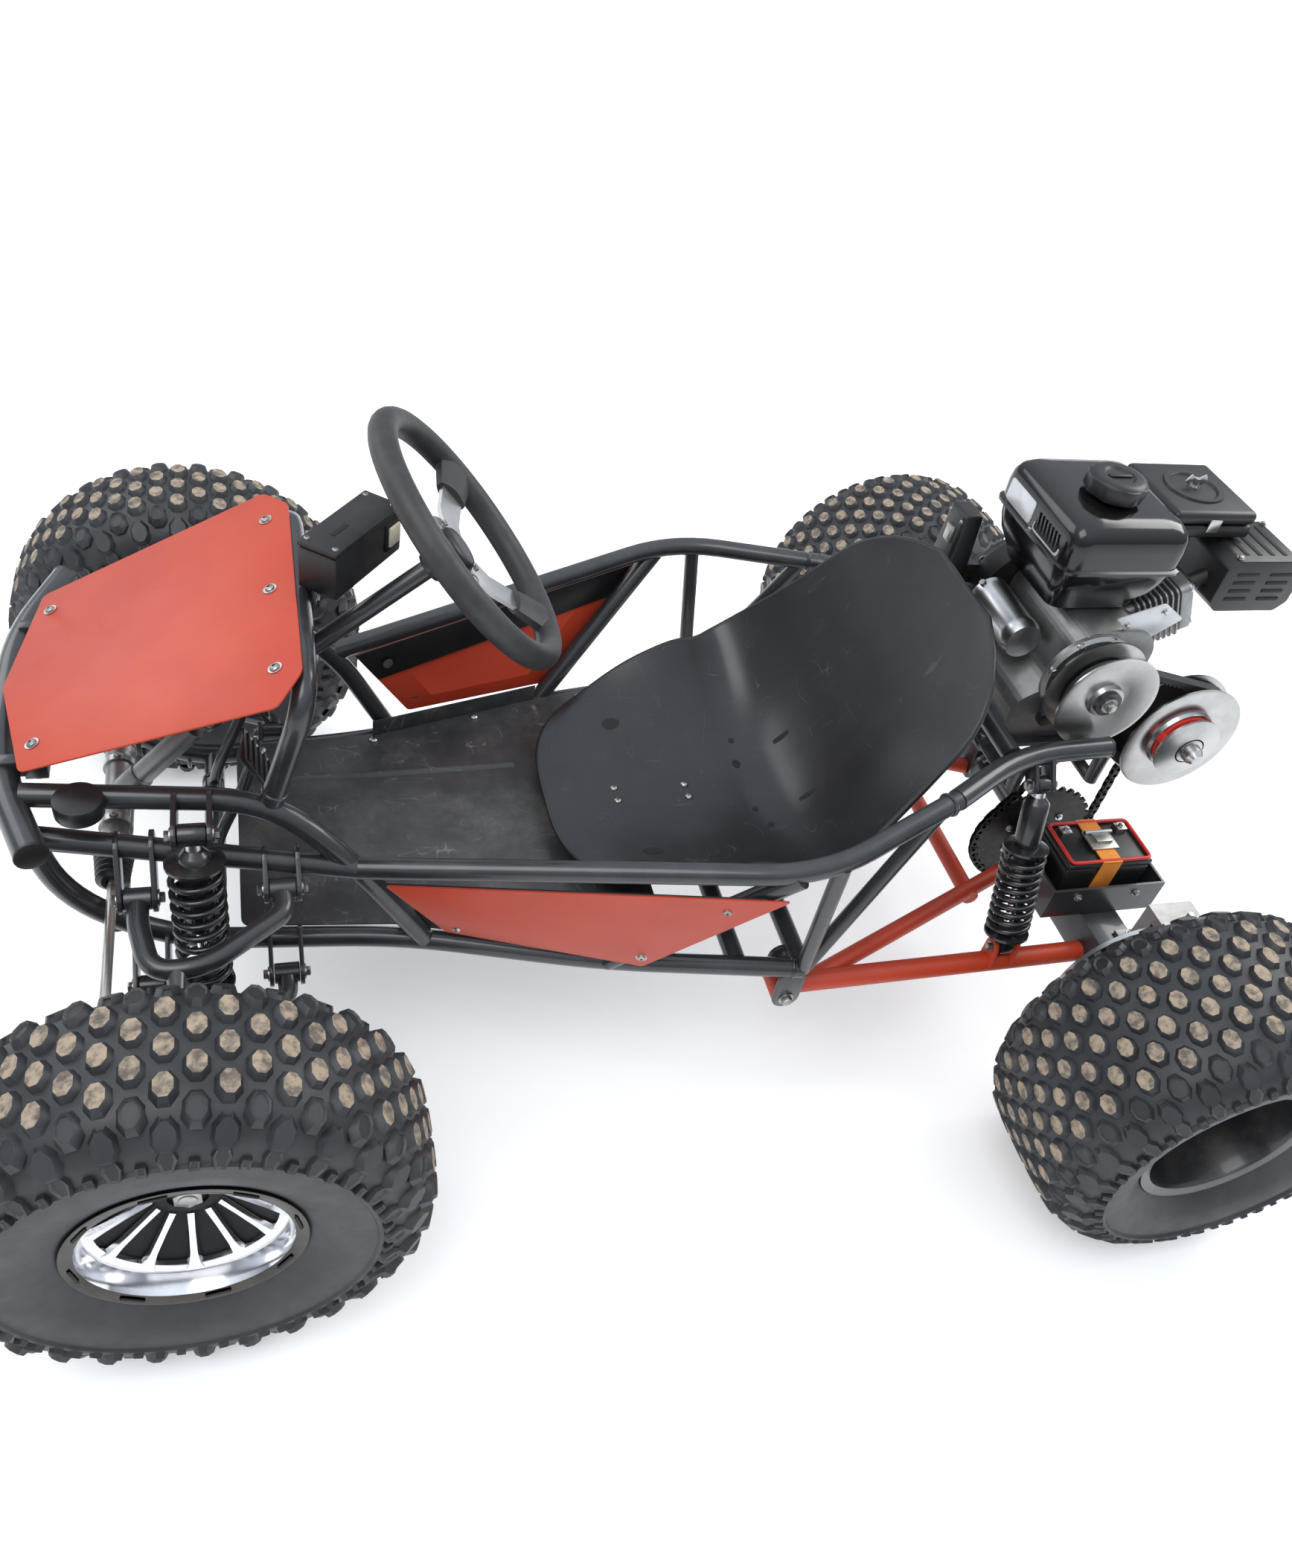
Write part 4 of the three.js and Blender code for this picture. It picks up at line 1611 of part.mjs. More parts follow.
// Starter motor on a foot against the crankcase
function starterMotor() {
  const barrel = rod(
    place(STARTER_X, STARTER_RIGHT_Y, STARTER_Z), place(STARTER_X, STARTER_LEFT_Y, STARTER_Z),
    STARTER_RADIUS, ROUND_SIDES,
  );
  const caseFace = CASE_REAR_X + (CASE_FRONT_X - CASE_REAR_X) * STARTER_FACE_SHARE + GAP;
  const foot = slab(
    caseFace, STARTER_X, STARTER_RIGHT_Y / 2, STARTER_LEFT_Y / 2,
    STARTER_Z - STARTER_RADIUS / 2, STARTER_Z + STARTER_RADIUS / 2,
  );
  return join(barrel, foot);
}

show("starter_motor", starterMotor(), polishedMetal);

// Fuel tank: two pressed halves with a seam, a short neck and two feet on the crankcase
function fuelTank() {
  const ring = (z, trim) => ringAt(
    TANK_X, TANK_Y, z, TANK_LENGTH - trim * 2, TANK_WIDTH - trim * 2, TANK_CORNER - trim / 2,
  );
  const lower = loft([ring(TANK_FOOT_Z, TANK_CORNER / 2), ring(TANK_SEAM_Z, TANK_SEAM_LIP)]);
  const seam = loft([ring(TANK_SEAM_Z - SHEET, 0), ring(TANK_SEAM_Z + SHEET, 0)]);
  const upper = loft([
    ring(TANK_SEAM_Z, TANK_SEAM_LIP), ring(TANK_TOP_Z - TANK_CORNER / 3, TANK_SEAM_LIP * 2),
    ring(TANK_TOP_Z, TANK_CORNER),
  ]);
  const neck = rod(
    place(CAP_X, CAP_Y, TANK_TOP_Z - OVERRUN), place(CAP_X, CAP_Y, TANK_TOP_Z + NECK_HEIGHT),
    NECK_RADIUS, ROUND_SIDES,
  );
  const foot = slab(
    CRANK_X - TANK_FOOT, CRANK_X + TANK_FOOT / 2, TANK_Y - TANK_FOOT, TANK_Y + TANK_FOOT * 2,
    CASE_TOP_Z + GAP, TANK_FOOT_Z + OVERRUN,
  );
  return join(lower, seam, upper, neck, foot);
}

show("fuel_tank", fuelTank(), tankBlack);
const capFoot = TANK_TOP_Z + NECK_HEIGHT + GAP;
const fuelCap = turned(
  [
    [0, 0], [CAP_RADIUS, 0], [CAP_RADIUS, CAP_HEIGHT * CAP_STRAIGHT_SHARE],
    [CAP_RADIUS * CAP_FACE_SHARE, CAP_HEIGHT], [0, CAP_HEIGHT],
  ],
  place(CAP_X, CAP_Y, capFoot), place(0, 0, 1),
);
show("fuel_cap", fuelCap, darkPlastic);

// Air cleaner with its stem down to the cylinder head, and the muffler on its pipe
function airCleaner() {
  const ring = (z, trim) => ringAt(
    CLEANER_X, CLEANER_Y, z, CLEANER_LENGTH - trim * 2, CLEANER_WIDTH - trim * 2, TANK_CORNER / 2,
  );
  const box = loft([
    ring(CLEANER_FOOT_Z, 0), ring(CLEANER_TOP_Z - SHEET * 4, 0), ring(CLEANER_TOP_Z, SHEET * 4),
  ]);
  const lastFin = onCylinder(CYLINDER_LENGTH - FIN_PITCH + FIN_THICKNESS);
  const finTop = lastFin.z + FIN_HALF * Math.cos(cylinderLean);
  const stem = slab(
    CLEANER_STEM_X - CLEANER_STEM_HALF, CLEANER_STEM_X + CLEANER_STEM_HALF,
    CLEANER_STEM_Y - CLEANER_STEM_HALF, CLEANER_STEM_Y + CLEANER_STEM_HALF,
    finTop + GAP, CLEANER_FOOT_Z + OVERRUN,
  );
  return join(box, stem);
}

show("air_cleaner", airCleaner(), darkPlastic);

function muffler() {
  const frontX = onCylinder(CYLINDER_LENGTH).x - MUFFLER_STAND_OFF;
  const rearX = frontX - MUFFLER_LENGTH;
  const outline = [
    [frontX, MUFFLER_FOOT_Z], [frontX, MUFFLER_TOP_Z - MUFFLER_CHAMFER],
    [frontX - MUFFLER_CHAMFER, MUFFLER_TOP_Z], [rearX + MUFFLER_CHAMFER, MUFFLER_TOP_Z],
    [rearX, MUFFLER_TOP_Z - MUFFLER_CHAMFER], [rearX, MUFFLER_FOOT_Z],
  ];
  const inside = (CRANK_X - frontX) / Math.cos(cylinderLean) + EXHAUST_RADIUS;
  const exhaust = rod(
    onCylinder(CYLINDER_LENGTH + GAP), onCylinder(inside), EXHAUST_RADIUS, ROUND_SIDES,
  );
  return join(prism(outline, MUFFLER_RIGHT_Y, MUFFLER_LEFT_Y), exhaust);
}

show("muffler", muffler(), polishedMetal);

// Driver clutch on the crank and driven pulley on its jackshaft
function driverClutch() {
  const bore = CRANK_RADIUS + RUNNING_CLEARANCE;
  const gapFrom = BELT_Y - BELT_WIDTH / 2 - RUNNING_CLEARANCE;
  const gapTo = BELT_Y + BELT_WIDTH / 2 + RUNNING_CLEARANCE;
  const outline = [
    [bore, CLUTCH_INNER_Y], [CLUTCH_RADIUS, CLUTCH_INNER_Y], [CLUTCH_RADIUS, gapFrom - SHEAVE_WALL],
    [CLUTCH_BELT_RADIUS, gapFrom], [CLUTCH_BELT_RADIUS, gapTo], [CLUTCH_RADIUS, gapTo + SHEAVE_WALL],
    [CLUTCH_RADIUS, CLUTCH_OUTER_Y], [bore, CLUTCH_OUTER_Y],
  ];
  return turned(outline, place(CRANK_X, 0, CRANK_Z), acrossY, PULLEY_SIDES);
}

show("driver_clutch", driverClutch(), castAluminium);

function drivenPulley() {
  const gapFrom = BELT_Y - BELT_WIDTH / 2 - RUNNING_CLEARANCE;
  const gapTo = BELT_Y + BELT_WIDTH / 2 + RUNNING_CLEARANCE;
  const outline = [
    [0, gapFrom - SHEAVE_WALL * 2], [DRIVEN_RADIUS, gapFrom - SHEAVE_WALL],
    [DRIVEN_BELT_RADIUS, gapFrom], [DRIVEN_BELT_RADIUS, gapTo], [DRIVEN_RADIUS, gapTo + SHEAVE_WALL],
    [DRIVEN_CAM_RADIUS, gapTo + SHEAVE_WALL * 2], [DRIVEN_CAM_RADIUS, DRIVEN_OUTER_Y], [0, DRIVEN_OUTER_Y],
  ];
  const wheel = turned(outline, place(JACKSHAFT_X, 0, JACKSHAFT_Z), acrossY, PULLEY_SIDES);
  const shaft = rod(
    place(JACKSHAFT_X, CHAIN_Y - CHAIN_WIDTH, JACKSHAFT_Z), place(JACKSHAFT_X, JACKSHAFT_END_Y, JACKSHAFT_Z),
    JACKSHAFT_RADIUS, ROUND_SIDES,
  );
  const small = sprocket(
    jackSprocketRadius, JACK_SPROCKET_TEETH, JACKSHAFT_X, CHAIN_Y, JACKSHAFT_Z, SPROCKET_THICKNESS,
  );
  return join(wheel, shaft, small);
}

show("driven_pulley", drivenPulley(), castAluminium);

// Pedals: a lever on the front cross tube with a pad that leans towards the driver
function pedal() {
  const pivot = place(ahead(PEDAL_PIVOT_LEAD), PEDAL_Y, PEDAL_PIVOT_Z);
  const pad = place(ahead(PEDAL_PAD_LEAD), PEDAL_Y, PEDAL_PAD_Z);
  const half = place(0, PEDAL_LEVER_WIDTH / 2, 0);
  const eye = rod(pivot.clone().sub(half), pivot.clone().add(half), LUG_RADIUS, ROUND_SIDES);
  const bore = hole(pivot.clone().sub(half), pivot.clone().add(half), PIVOT_PIN_RADIUS);
  const lever = rod(pivot, pad, PEDAL_LEVER_WIDTH / 2 - GAP);
  const lean = Math.atan2(pivot.x - pad.x, pad.z - pivot.z);
  const padBox = new THREE.BoxGeometry(PEDAL_PAD_THICKNESS, PEDAL_PAD_WIDTH, PEDAL_PAD_HEIGHT);
  padBox.rotateY(-lean);
  const padSolid = solidOf(padBox.translate(pad.x, pad.y, pad.z));
  return join(eye, lever, padSolid).subtract(bore);
}

show("brake_pedal", pedal(), blackPaint);
show("throttle_pedal", mirrored(pedal()), blackPaint);

const root = new THREE.Group();
root.add(kart);
export default root;
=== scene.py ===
"""Off-road kart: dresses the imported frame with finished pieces, materials, light and a camera."""

import logging
import math
from collections.abc import Iterable, Sequence
from dataclasses import dataclass
from enum import Enum
from functools import cache

import bmesh
import bpy
from mathutils import Matrix, Vector


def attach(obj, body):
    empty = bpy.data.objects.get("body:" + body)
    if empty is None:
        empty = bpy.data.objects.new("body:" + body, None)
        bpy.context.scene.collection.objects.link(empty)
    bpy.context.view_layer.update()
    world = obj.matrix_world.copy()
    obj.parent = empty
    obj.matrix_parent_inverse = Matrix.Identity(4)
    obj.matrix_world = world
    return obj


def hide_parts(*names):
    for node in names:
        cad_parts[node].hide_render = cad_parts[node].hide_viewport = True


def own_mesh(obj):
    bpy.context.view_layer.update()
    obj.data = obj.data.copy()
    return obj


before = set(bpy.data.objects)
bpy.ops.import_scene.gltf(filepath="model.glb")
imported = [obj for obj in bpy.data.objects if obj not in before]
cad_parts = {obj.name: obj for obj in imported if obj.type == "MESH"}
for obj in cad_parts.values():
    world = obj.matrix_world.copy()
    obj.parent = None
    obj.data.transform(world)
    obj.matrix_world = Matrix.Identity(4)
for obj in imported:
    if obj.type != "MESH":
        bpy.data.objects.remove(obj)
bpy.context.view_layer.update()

logging.basicConfig(level=logging.INFO, format="%(message)s")
LOG = logging.getLogger("kart")

MM = 0.001
ORIGIN_X = 596.5
MERGE = 1e-6
CORNERS = ((-1, -1), (1, -1), (1, 1), (-1, 1))
Colour = tuple[float, float, float]
Point = tuple[float, float, float]
X_AXIS = Vector((1.0, 0.0, 0.0))
Y_AXIS = Vector((0.0, 1.0, 0.0))
Z_AXIS = Vector((0.0, 0.0, 1.0))


def spot(x: float, y: float, z: float) -> Vector:
    """Turn millimetres measured from the rear axle into a point of the frame in metres."""
    return Vector(((x - ORIGIN_X) * MM, y * MM, z * MM))


def spots(points: Iterable[Point]) -> list[Vector]:
    """Turn several millimetre points into frame points."""
    return [spot(*point) for point in points]


def flip(points: Iterable[Point], side: int) -> list[Point]:
    """Mirror millimetre points across the kart's middle plane where side is -1."""
    return [(x, y * side, z) for x, y, z in points]


class Side(Enum):
    """The two sides of the kart."""

    LEFT = 1
    RIGHT = -1

    @property
    def tag(self) -> str:
        """The side's ending in node and body names."""
        return self.name.lower()


# Materials


@dataclass(frozen=True)
class Wire:
    """An output socket whose operators add Math nodes."""

    bench: "Bench"
    out: bpy.types.NodeSocket

    def _math(self, operation: str, first: "Wire | float", second: "Wire | float") -> "Wire":
        """Add one Math node to the tree."""
        node = self.bench.node("ShaderNodeMath", {"operation": operation}, {0: first, 1: second})
        return Wire(self.bench, node.outputs[0])

    def __add__(self, other: "Wire | float") -> "Wire":
        """Add."""
        return self._math("ADD", self, other)

    def __radd__(self, other: float) -> "Wire":
        """Add to a number."""
        return self._math("ADD", other, self)

    def __sub__(self, other: "Wire | float") -> "Wire":
        """Subtract."""
        return self._math("SUBTRACT", self, other)

    def __rsub__(self, other: float) -> "Wire":
        """Subtract from a number."""
        return self._math("SUBTRACT", other, self)

    def __mul__(self, other: "Wire | float") -> "Wire":
        """Multiply."""
        return self._math("MULTIPLY", self, other)

    def __rmul__(self, other: float) -> "Wire":
        """Multiply a number."""
        return self._math("MULTIPLY", other, self)

    def size(self) -> "Wire":
        """Drop the sign."""
        return self._math("ABSOLUTE", self, 0.0)

    def spread(self, low: float, high: float) -> "Wire":
        """Stretch the values from low to high smoothly over 0 to 1.

        Args:
            low: The value that becomes 0.
            high: The value that becomes 1.

        Returns:
            The stretched values, clamped.
        """
        node = self.bench.node(
            "ShaderNodeMapRange", {"interpolation_type": "SMOOTHSTEP"}, {0: self, 1: low, 2: high}
        )
        return Wire(self.bench, node.outputs[0])


class Bench:
    """A new material's node tree with a Principled shader on it."""

    def __init__(self, name: str) -> None:
        """Start a bare tree for a material of that name.

        Args:
            name: The material's name.
        """
        self.material = bpy.data.materials.new(name)
        self.material.use_nodes = True
        self.tree = self.material.node_tree
        self.tree.nodes.clear()
        self.shader = self.node("ShaderNodeBsdfPrincipled", {}, {})
        output = self.node("ShaderNodeOutputMaterial", {}, {})
        self.tree.links.new(self.shader.outputs[0], output.inputs[0])
        coordinates = self.node("ShaderNodeTexCoord", {}, {})
        self.place = Wire(self, coordinates.outputs["Object"])

    def node(self, kind: str, settings: dict, inputs: dict) -> bpy.types.Node:
        """Add any node.

        Args:
            kind: The node's type name.
            settings: Its own settings, which are set first.
            inputs: Values or links for its sockets, by name or number.

        Returns:
            The node.
        """
        made = self.tree.nodes.new(kind)
        for key, value in settings.items():
            setattr(made, key, value)
        for key, value in inputs.items():
            self.feed(made.inputs[key], value)
        return made

    def feed(self, socket: bpy.types.NodeSocket, value: "Wire | float | Sequence[float]") -> None:
        """Link a wire to a socket, or set its value.

        Args:
            socket: The socket to fill.
            value: A wire, a number, a vector or a colour.
        """
        if isinstance(value, Wire):
            self.tree.links.new(value.out, socket)
        elif isinstance(value, tuple) and socket.type == "RGBA":
            socket.default_value = (*value, 1.0)
        else:
            socket.default_value = value

    def noise(
        self, scale: float, detail: float = 3.0, rough: float = 0.55, stretch: Point = (1.0, 1.0, 1.0)
    ) -> Wire:
        """Noise on Object coordinates.

        Args:
            scale: Features per metre.
            detail: How many octaves.
            rough: How strong the fine octaves are.
            stretch: Factors that squeeze the pattern along X, Y and Z.

        Returns:
            Values from 0 to 1.
        """
        moved = self.node("ShaderNodeVectorMath", {"operation": "MULTIPLY"}, {0: self.place, 1: stretch})
        place = Wire(self, moved.outputs[0])
        inputs = {"Vector": place, "Scale": scale, "Detail": detail, "Roughness": rough}
        return Wire(self, self.node("ShaderNodeTexNoise", {}, inputs).outputs[0])

    def mix(self, share: "Wire | float", first: "Wire | Colour", second: "Wire | Colour") -> Wire:
        """Blend two colours by a share from 0 to 1."""
        node = self.node("ShaderNodeMix", {"data_type": "RGBA"}, {0: share, 6: first, 7: second})
        return Wire(self, node.outputs[2])

    def bump(self, height: Wire, strength: float, distance: float) -> Wire:
        """Turn heights into a normal.

        Args:
            height: The heights.
            strength: The share of the effect.
            distance: The height that 1 stands for, in metres.

        Returns:
            The normal.
        """
        node = self.node(
            "ShaderNodeBump", {}, {"Strength": strength, "Distance": distance, "Height": height}
        )
        return Wire(self, node.outputs[0])


class Grain(Enum):
    """The direction and size of a finish's fine marks."""

    EVEN = (1.0, 1.0, 1.0)
    LENGTHWISE = (0.04, 1.0, 1.0)
    ACROSS = (1.0, 0.04, 1.0)
    UPRIGHT = (1.0, 1.0, 0.04)


@dataclass(frozen=True)
class Finish:
    """A procedural finish: two colours in blotches, gloss, fine grain, dust and scratches."""

    name: str
    colour: Colour
    shade: Colour
    rough: float = 0.5
    rough_spread: float = 0.12
    metal: float = 0.0
    coat: float = 0.0
    blotch: float = 16.0
    grain: float = 900.0
    depth: float = 0.0001
    way: Grain = Grain.EVEN
    dust: float = 0.0
    dust_colour: Colour = (0.34, 0.27, 0.19)
    scratch: float = 0.0
    scratch_colour: Colour = (0.32, 0.32, 0.33)

    @cache
    def material(self) -> bpy.types.Material:
        """Build the material, or find it if it was built before.

        Returns:
            The material.
        """
        bench = Bench(f"{self.name}_finish")
        patches = bench.noise(self.blotch, 4.0, 0.6)
        colour = bench.mix(patches.spread(0.36, 0.66), self.colour, self.shade)
        wobble = bench.noise(self.blotch * 3.0, 3.0) - 0.5
        rough = wobble * (2.0 * self.rough_spread) + self.rough
        grain = bench.noise(self.grain, 3.0, 0.6, self.way.value)
        height = grain
        if self.scratch:
            lines = self.scratches(bench)
            colour = bench.mix(lines * self.scratch, colour, self.scratch_colour)
            rough = rough + lines * 0.15
            height = height - lines * 0.5
        if self.dust:
            veil = bench.noise(self.blotch * 0.8, 6.0, 0.7).spread(0.42, 0.74)
            speckle = bench.noise(self.blotch * 22.0, 3.0, 0.7).spread(0.4, 0.62)
            share = (veil * 0.6 + veil * speckle * 0.4) * self.dust
            colour = bench.mix(share, colour, self.dust_colour)
            rough = rough + share * 0.35
        sockets = {
            "Base Color": colour, "Roughness": rough, "Metallic": self.metal, "Coat Weight": self.coat,
            "Coat Roughness": 0.08, "Normal": bench.bump(height, 0.5, self.depth),
        }
        for name, value in sockets.items():
            bench.feed(bench.shader.inputs[name], value)
        return bench.material

    def scratches(self, bench: Bench) -> Wire:
        """Thin scattered lines, where two stretched noises cross their middle value.

        Args:
            bench: The material's tree.

        Returns:
            Values from 0 to 1.
        """
        first = (bench.noise(9.0, 1.0, 0.4, (1.0, 5.0, 1.0)) - 0.5).size().spread(0.006, 0.0)
        second = (bench.noise(7.0, 1.0, 0.4, (4.0, 1.2, 1.0)) - 0.47).size().spread(0.005, 0.0)
        worn = bench.noise(24.0, 3.0, 0.6).spread(0.5, 0.62)
        return (first + second) * worn


FRAME_BLACK = Finish(
    "frame_black", (0.017, 0.0182, 0.021), (0.026, 0.0275, 0.031), 0.31, 0.05, coat=0.35,
    blotch=20.0, grain=1500.0, depth=0.00003, dust=0.03, scratch=0.04,
)
PANEL_RED = Finish(
    "panel_red", (0.5, 0.046, 0.014), (0.45, 0.038, 0.012), 0.44, 0.06,
    blotch=7.0, grain=700.0, depth=0.00003, dust=0.05, scratch=0.06, scratch_colour=(0.7, 0.2, 0.14),
)
SEAT_PLASTIC = Finish(
    "seat_plastic", (0.012, 0.0128, 0.0145), (0.017, 0.018, 0.0205), 0.3, 0.05, blotch=9.0,
    grain=1900.0, depth=0.00004, dust=0.03, dust_colour=(0.14, 0.13, 0.12), scratch=0.11,
)
PAN_BLACK = Finish(
    "pan_black", (0.026, 0.028, 0.03), (0.045, 0.046, 0.048), 0.42, 0.12, blotch=12.0,
    grain=1200.0, depth=0.00006, dust=0.3, dust_colour=(0.25, 0.23, 0.2), scratch=0.4,
)
DARK_PLASTIC = Finish(
    "dark_plastic", (0.007, 0.007, 0.008), (0.011, 0.011, 0.012), 0.4, 0.08, blotch=18.0,
    grain=2400.0, depth=0.00009, dust=0.04,
)
GLOSS_BLACK = Finish(
    "tank_black", (0.003, 0.003, 0.004), (0.005, 0.005, 0.006), 0.15, 0.03, coat=0.12,
    blotch=10.0, grain=500.0, depth=0.00003, dust=0.02,
)
CAST_METAL = Finish(
    "cast_metal", (0.33, 0.33, 0.325), (0.25, 0.25, 0.245), 0.42, 0.12, metal=0.9,
    blotch=22.0, grain=1300.0, depth=0.0002, dust=0.12,
)
BRIGHT_STEEL = Finish(
    "bright_steel", (0.6, 0.6, 0.6), (0.5, 0.5, 0.5), 0.3, 0.05, metal=1.0,
    blotch=24.0, grain=1600.0, depth=0.000006, dust=0.04,
)
TURNED_STEEL = Finish(
    "turned_steel", (0.47, 0.465, 0.455), (0.4, 0.395, 0.385), 0.26, 0.03, metal=1.0,
    blotch=30.0, grain=1400.0, depth=0.000012, way=Grain.ACROSS,
)
POLISHED_LIP = Finish(
    "polished_lip", (0.82, 0.82, 0.83), (0.7, 0.7, 0.72), 0.13, 0.02, metal=1.0,
    blotch=18.0, grain=900.0, depth=0.000008, way=Grain.ACROSS,
)
DARK_CHROME = Finish(
    "dark_chrome", (0.07, 0.065, 0.06), (0.045, 0.042, 0.038), 0.16, 0.05, metal=1.0,
    blotch=20.0, grain=900.0, depth=0.00003,
)
RIM_BLACK = Finish(
    "rim_black", (0.01, 0.01, 0.012), (0.018, 0.018, 0.02), 0.3, 0.08, coat=0.3,
    blotch=20.0, grain=900.0, depth=0.00004, dust=0.12,
)
CHROME_ROD = Finish(
    "chrome_rod", (0.8, 0.8, 0.8), (0.72, 0.72, 0.73), 0.08, 0.03, metal=1.0,
    blotch=30.0, grain=1000.0, depth=0.00002,
)
ZINC = Finish(
    "zinc_steel", (0.5, 0.49, 0.45), (0.42, 0.41, 0.38), 0.34, 0.1, metal=0.9,
    blotch=26.0, grain=1300.0, depth=0.00006, dust=0.05,
)
BOLT_ZINC = Finish(
    "bolt_zinc", (0.42, 0.41, 0.39), (0.28, 0.275, 0.26), 0.32, 0.1, metal=1.0,
    blotch=60.0, grain=1500.0, depth=0.00006,
)
TYRE_RUBBER = Finish(
    "tyre_rubber", (0.016, 0.0172, 0.0195), (0.027, 0.0285, 0.032), 0.48, 0.1, blotch=22.0,
    grain=1100.0, depth=0.00025, dust=0.1, dust_colour=(0.1, 0.092, 0.082),
)
KNOB_DUST = Finish(
    "knob_dust", (0.36, 0.28, 0.2), (0.1, 0.085, 0.07), 0.85, 0.08, blotch=95.0,
    grain=1600.0, depth=0.0003, dust=0.5, dust_colour=(0.34, 0.28, 0.21),
)
KNOB_GREY = Finish(
    "knob_grey", (0.075, 0.076, 0.078), (0.035, 0.036, 0.038), 0.75, 0.1, blotch=90.0,
    grain=1600.0, depth=0.0003, dust=0.3, dust_colour=(0.2, 0.18, 0.15),
)
GRIP_RUBBER = Finish(
    "grip_rubber", (0.02, 0.02, 0.021), (0.03, 0.03, 0.031), 0.52, 0.08, blotch=30.0,
    grain=2600.0, depth=0.0001, dust=0.06,
)
BELT_RUBBER = Finish(
    "belt_rubber", (0.012, 0.012, 0.012), (0.022, 0.022, 0.022), 0.66, 0.08, blotch=40.0,
    grain=1800.0, depth=0.0001,
)
SPRING_BLACK = Finish(
    "spring_black", (0.009, 0.009, 0.01), (0.015, 0.015, 0.016), 0.26, 0.05, coat=0.3,
    blotch=40.0, grain=1300.0, depth=0.00001, dust=0.03,
)
CHAIN_STEEL = Finish(
    "chain_steel", (0.02, 0.0195, 0.019), (0.032, 0.029, 0.027), 0.42, 0.12, metal=0.8,
    blotch=120.0, grain=1800.0, depth=0.0001, dust=0.06,
)
STRAP_ORANGE = Finish(
    "strap_orange", (0.82, 0.28, 0.03), (0.7, 0.22, 0.02), 0.72, 0.08, blotch=50.0,
    grain=700.0, depth=0.0004, way=Grain.UPRIGHT, dust=0.12,
)
TRIM_RED = Finish(
    "trim_red", (0.6, 0.03, 0.02), (0.5, 0.02, 0.015), 0.4, 0.08, blotch=40.0,
    grain=1200.0, depth=0.00005,
)
PALE_PLATE = Finish(
    "pale_plate", (0.62, 0.63, 0.64), (0.52, 0.53, 0.54), 0.3, 0.06, metal=0.4,
    blotch=30.0, grain=1500.0, depth=0.00003,
)
CREAM_PLASTIC = Finish(
    "cream_plastic", (0.66, 0.6, 0.47), (0.58, 0.52, 0.4), 0.45, 0.06, blotch=60.0,
    grain=1500.0, depth=0.00004,
)
# Plain black for real black parts, and also painted shade: the black sheets, slabs and rods that stand in the
# seat's openings, the brake disc's holes and the recoil cover's and muffler's slots, which are not cut.
BLACK_AND_PAINTED_SHADE = Finish(
    "deep_black", (0.003, 0.003, 0.003), (0.005, 0.005, 0.005), 0.7, 0.05, blotch=30.0,
    grain=900.0, depth=0.00003,
)


# Shaping


def upright(axis: Vector) -> Matrix:
    """The turn that carries +Z onto an axis."""
    return Z_AXIS.rotation_difference(axis.normalized()).to_matrix().to_4x4()


def rounded(route: Sequence[Vector], bend: float, steps: int = 7) -> list[Vector]:
    """Round the corners of a route.

    Args:
        route: The corner points.
        bend: How far before and after a corner its curve reaches, in metres.
        steps: Stations on each curve.

    Returns:
        The stations along the rounded route.
    """
    stations = [route[0]]
    for before, here, after in zip(route, route[1:], route[2:]):
        back, on = before - here, after - here
        reach = min(bend, back.length * 0.49, on.length * 0.49)
        start, end = here + back.normalized() * reach, here + on.normalized() * reach
        for i in range(steps + 1):
            t = i / steps
            stations.append(start * (1 - t) ** 2 + here * 2 * t * (1 - t) + end * t**2)
    stations.append(route[-1])
    return [p for i, p in enumerate(stations) if i == 0 or (p - stations[i - 1]).length > MERGE]


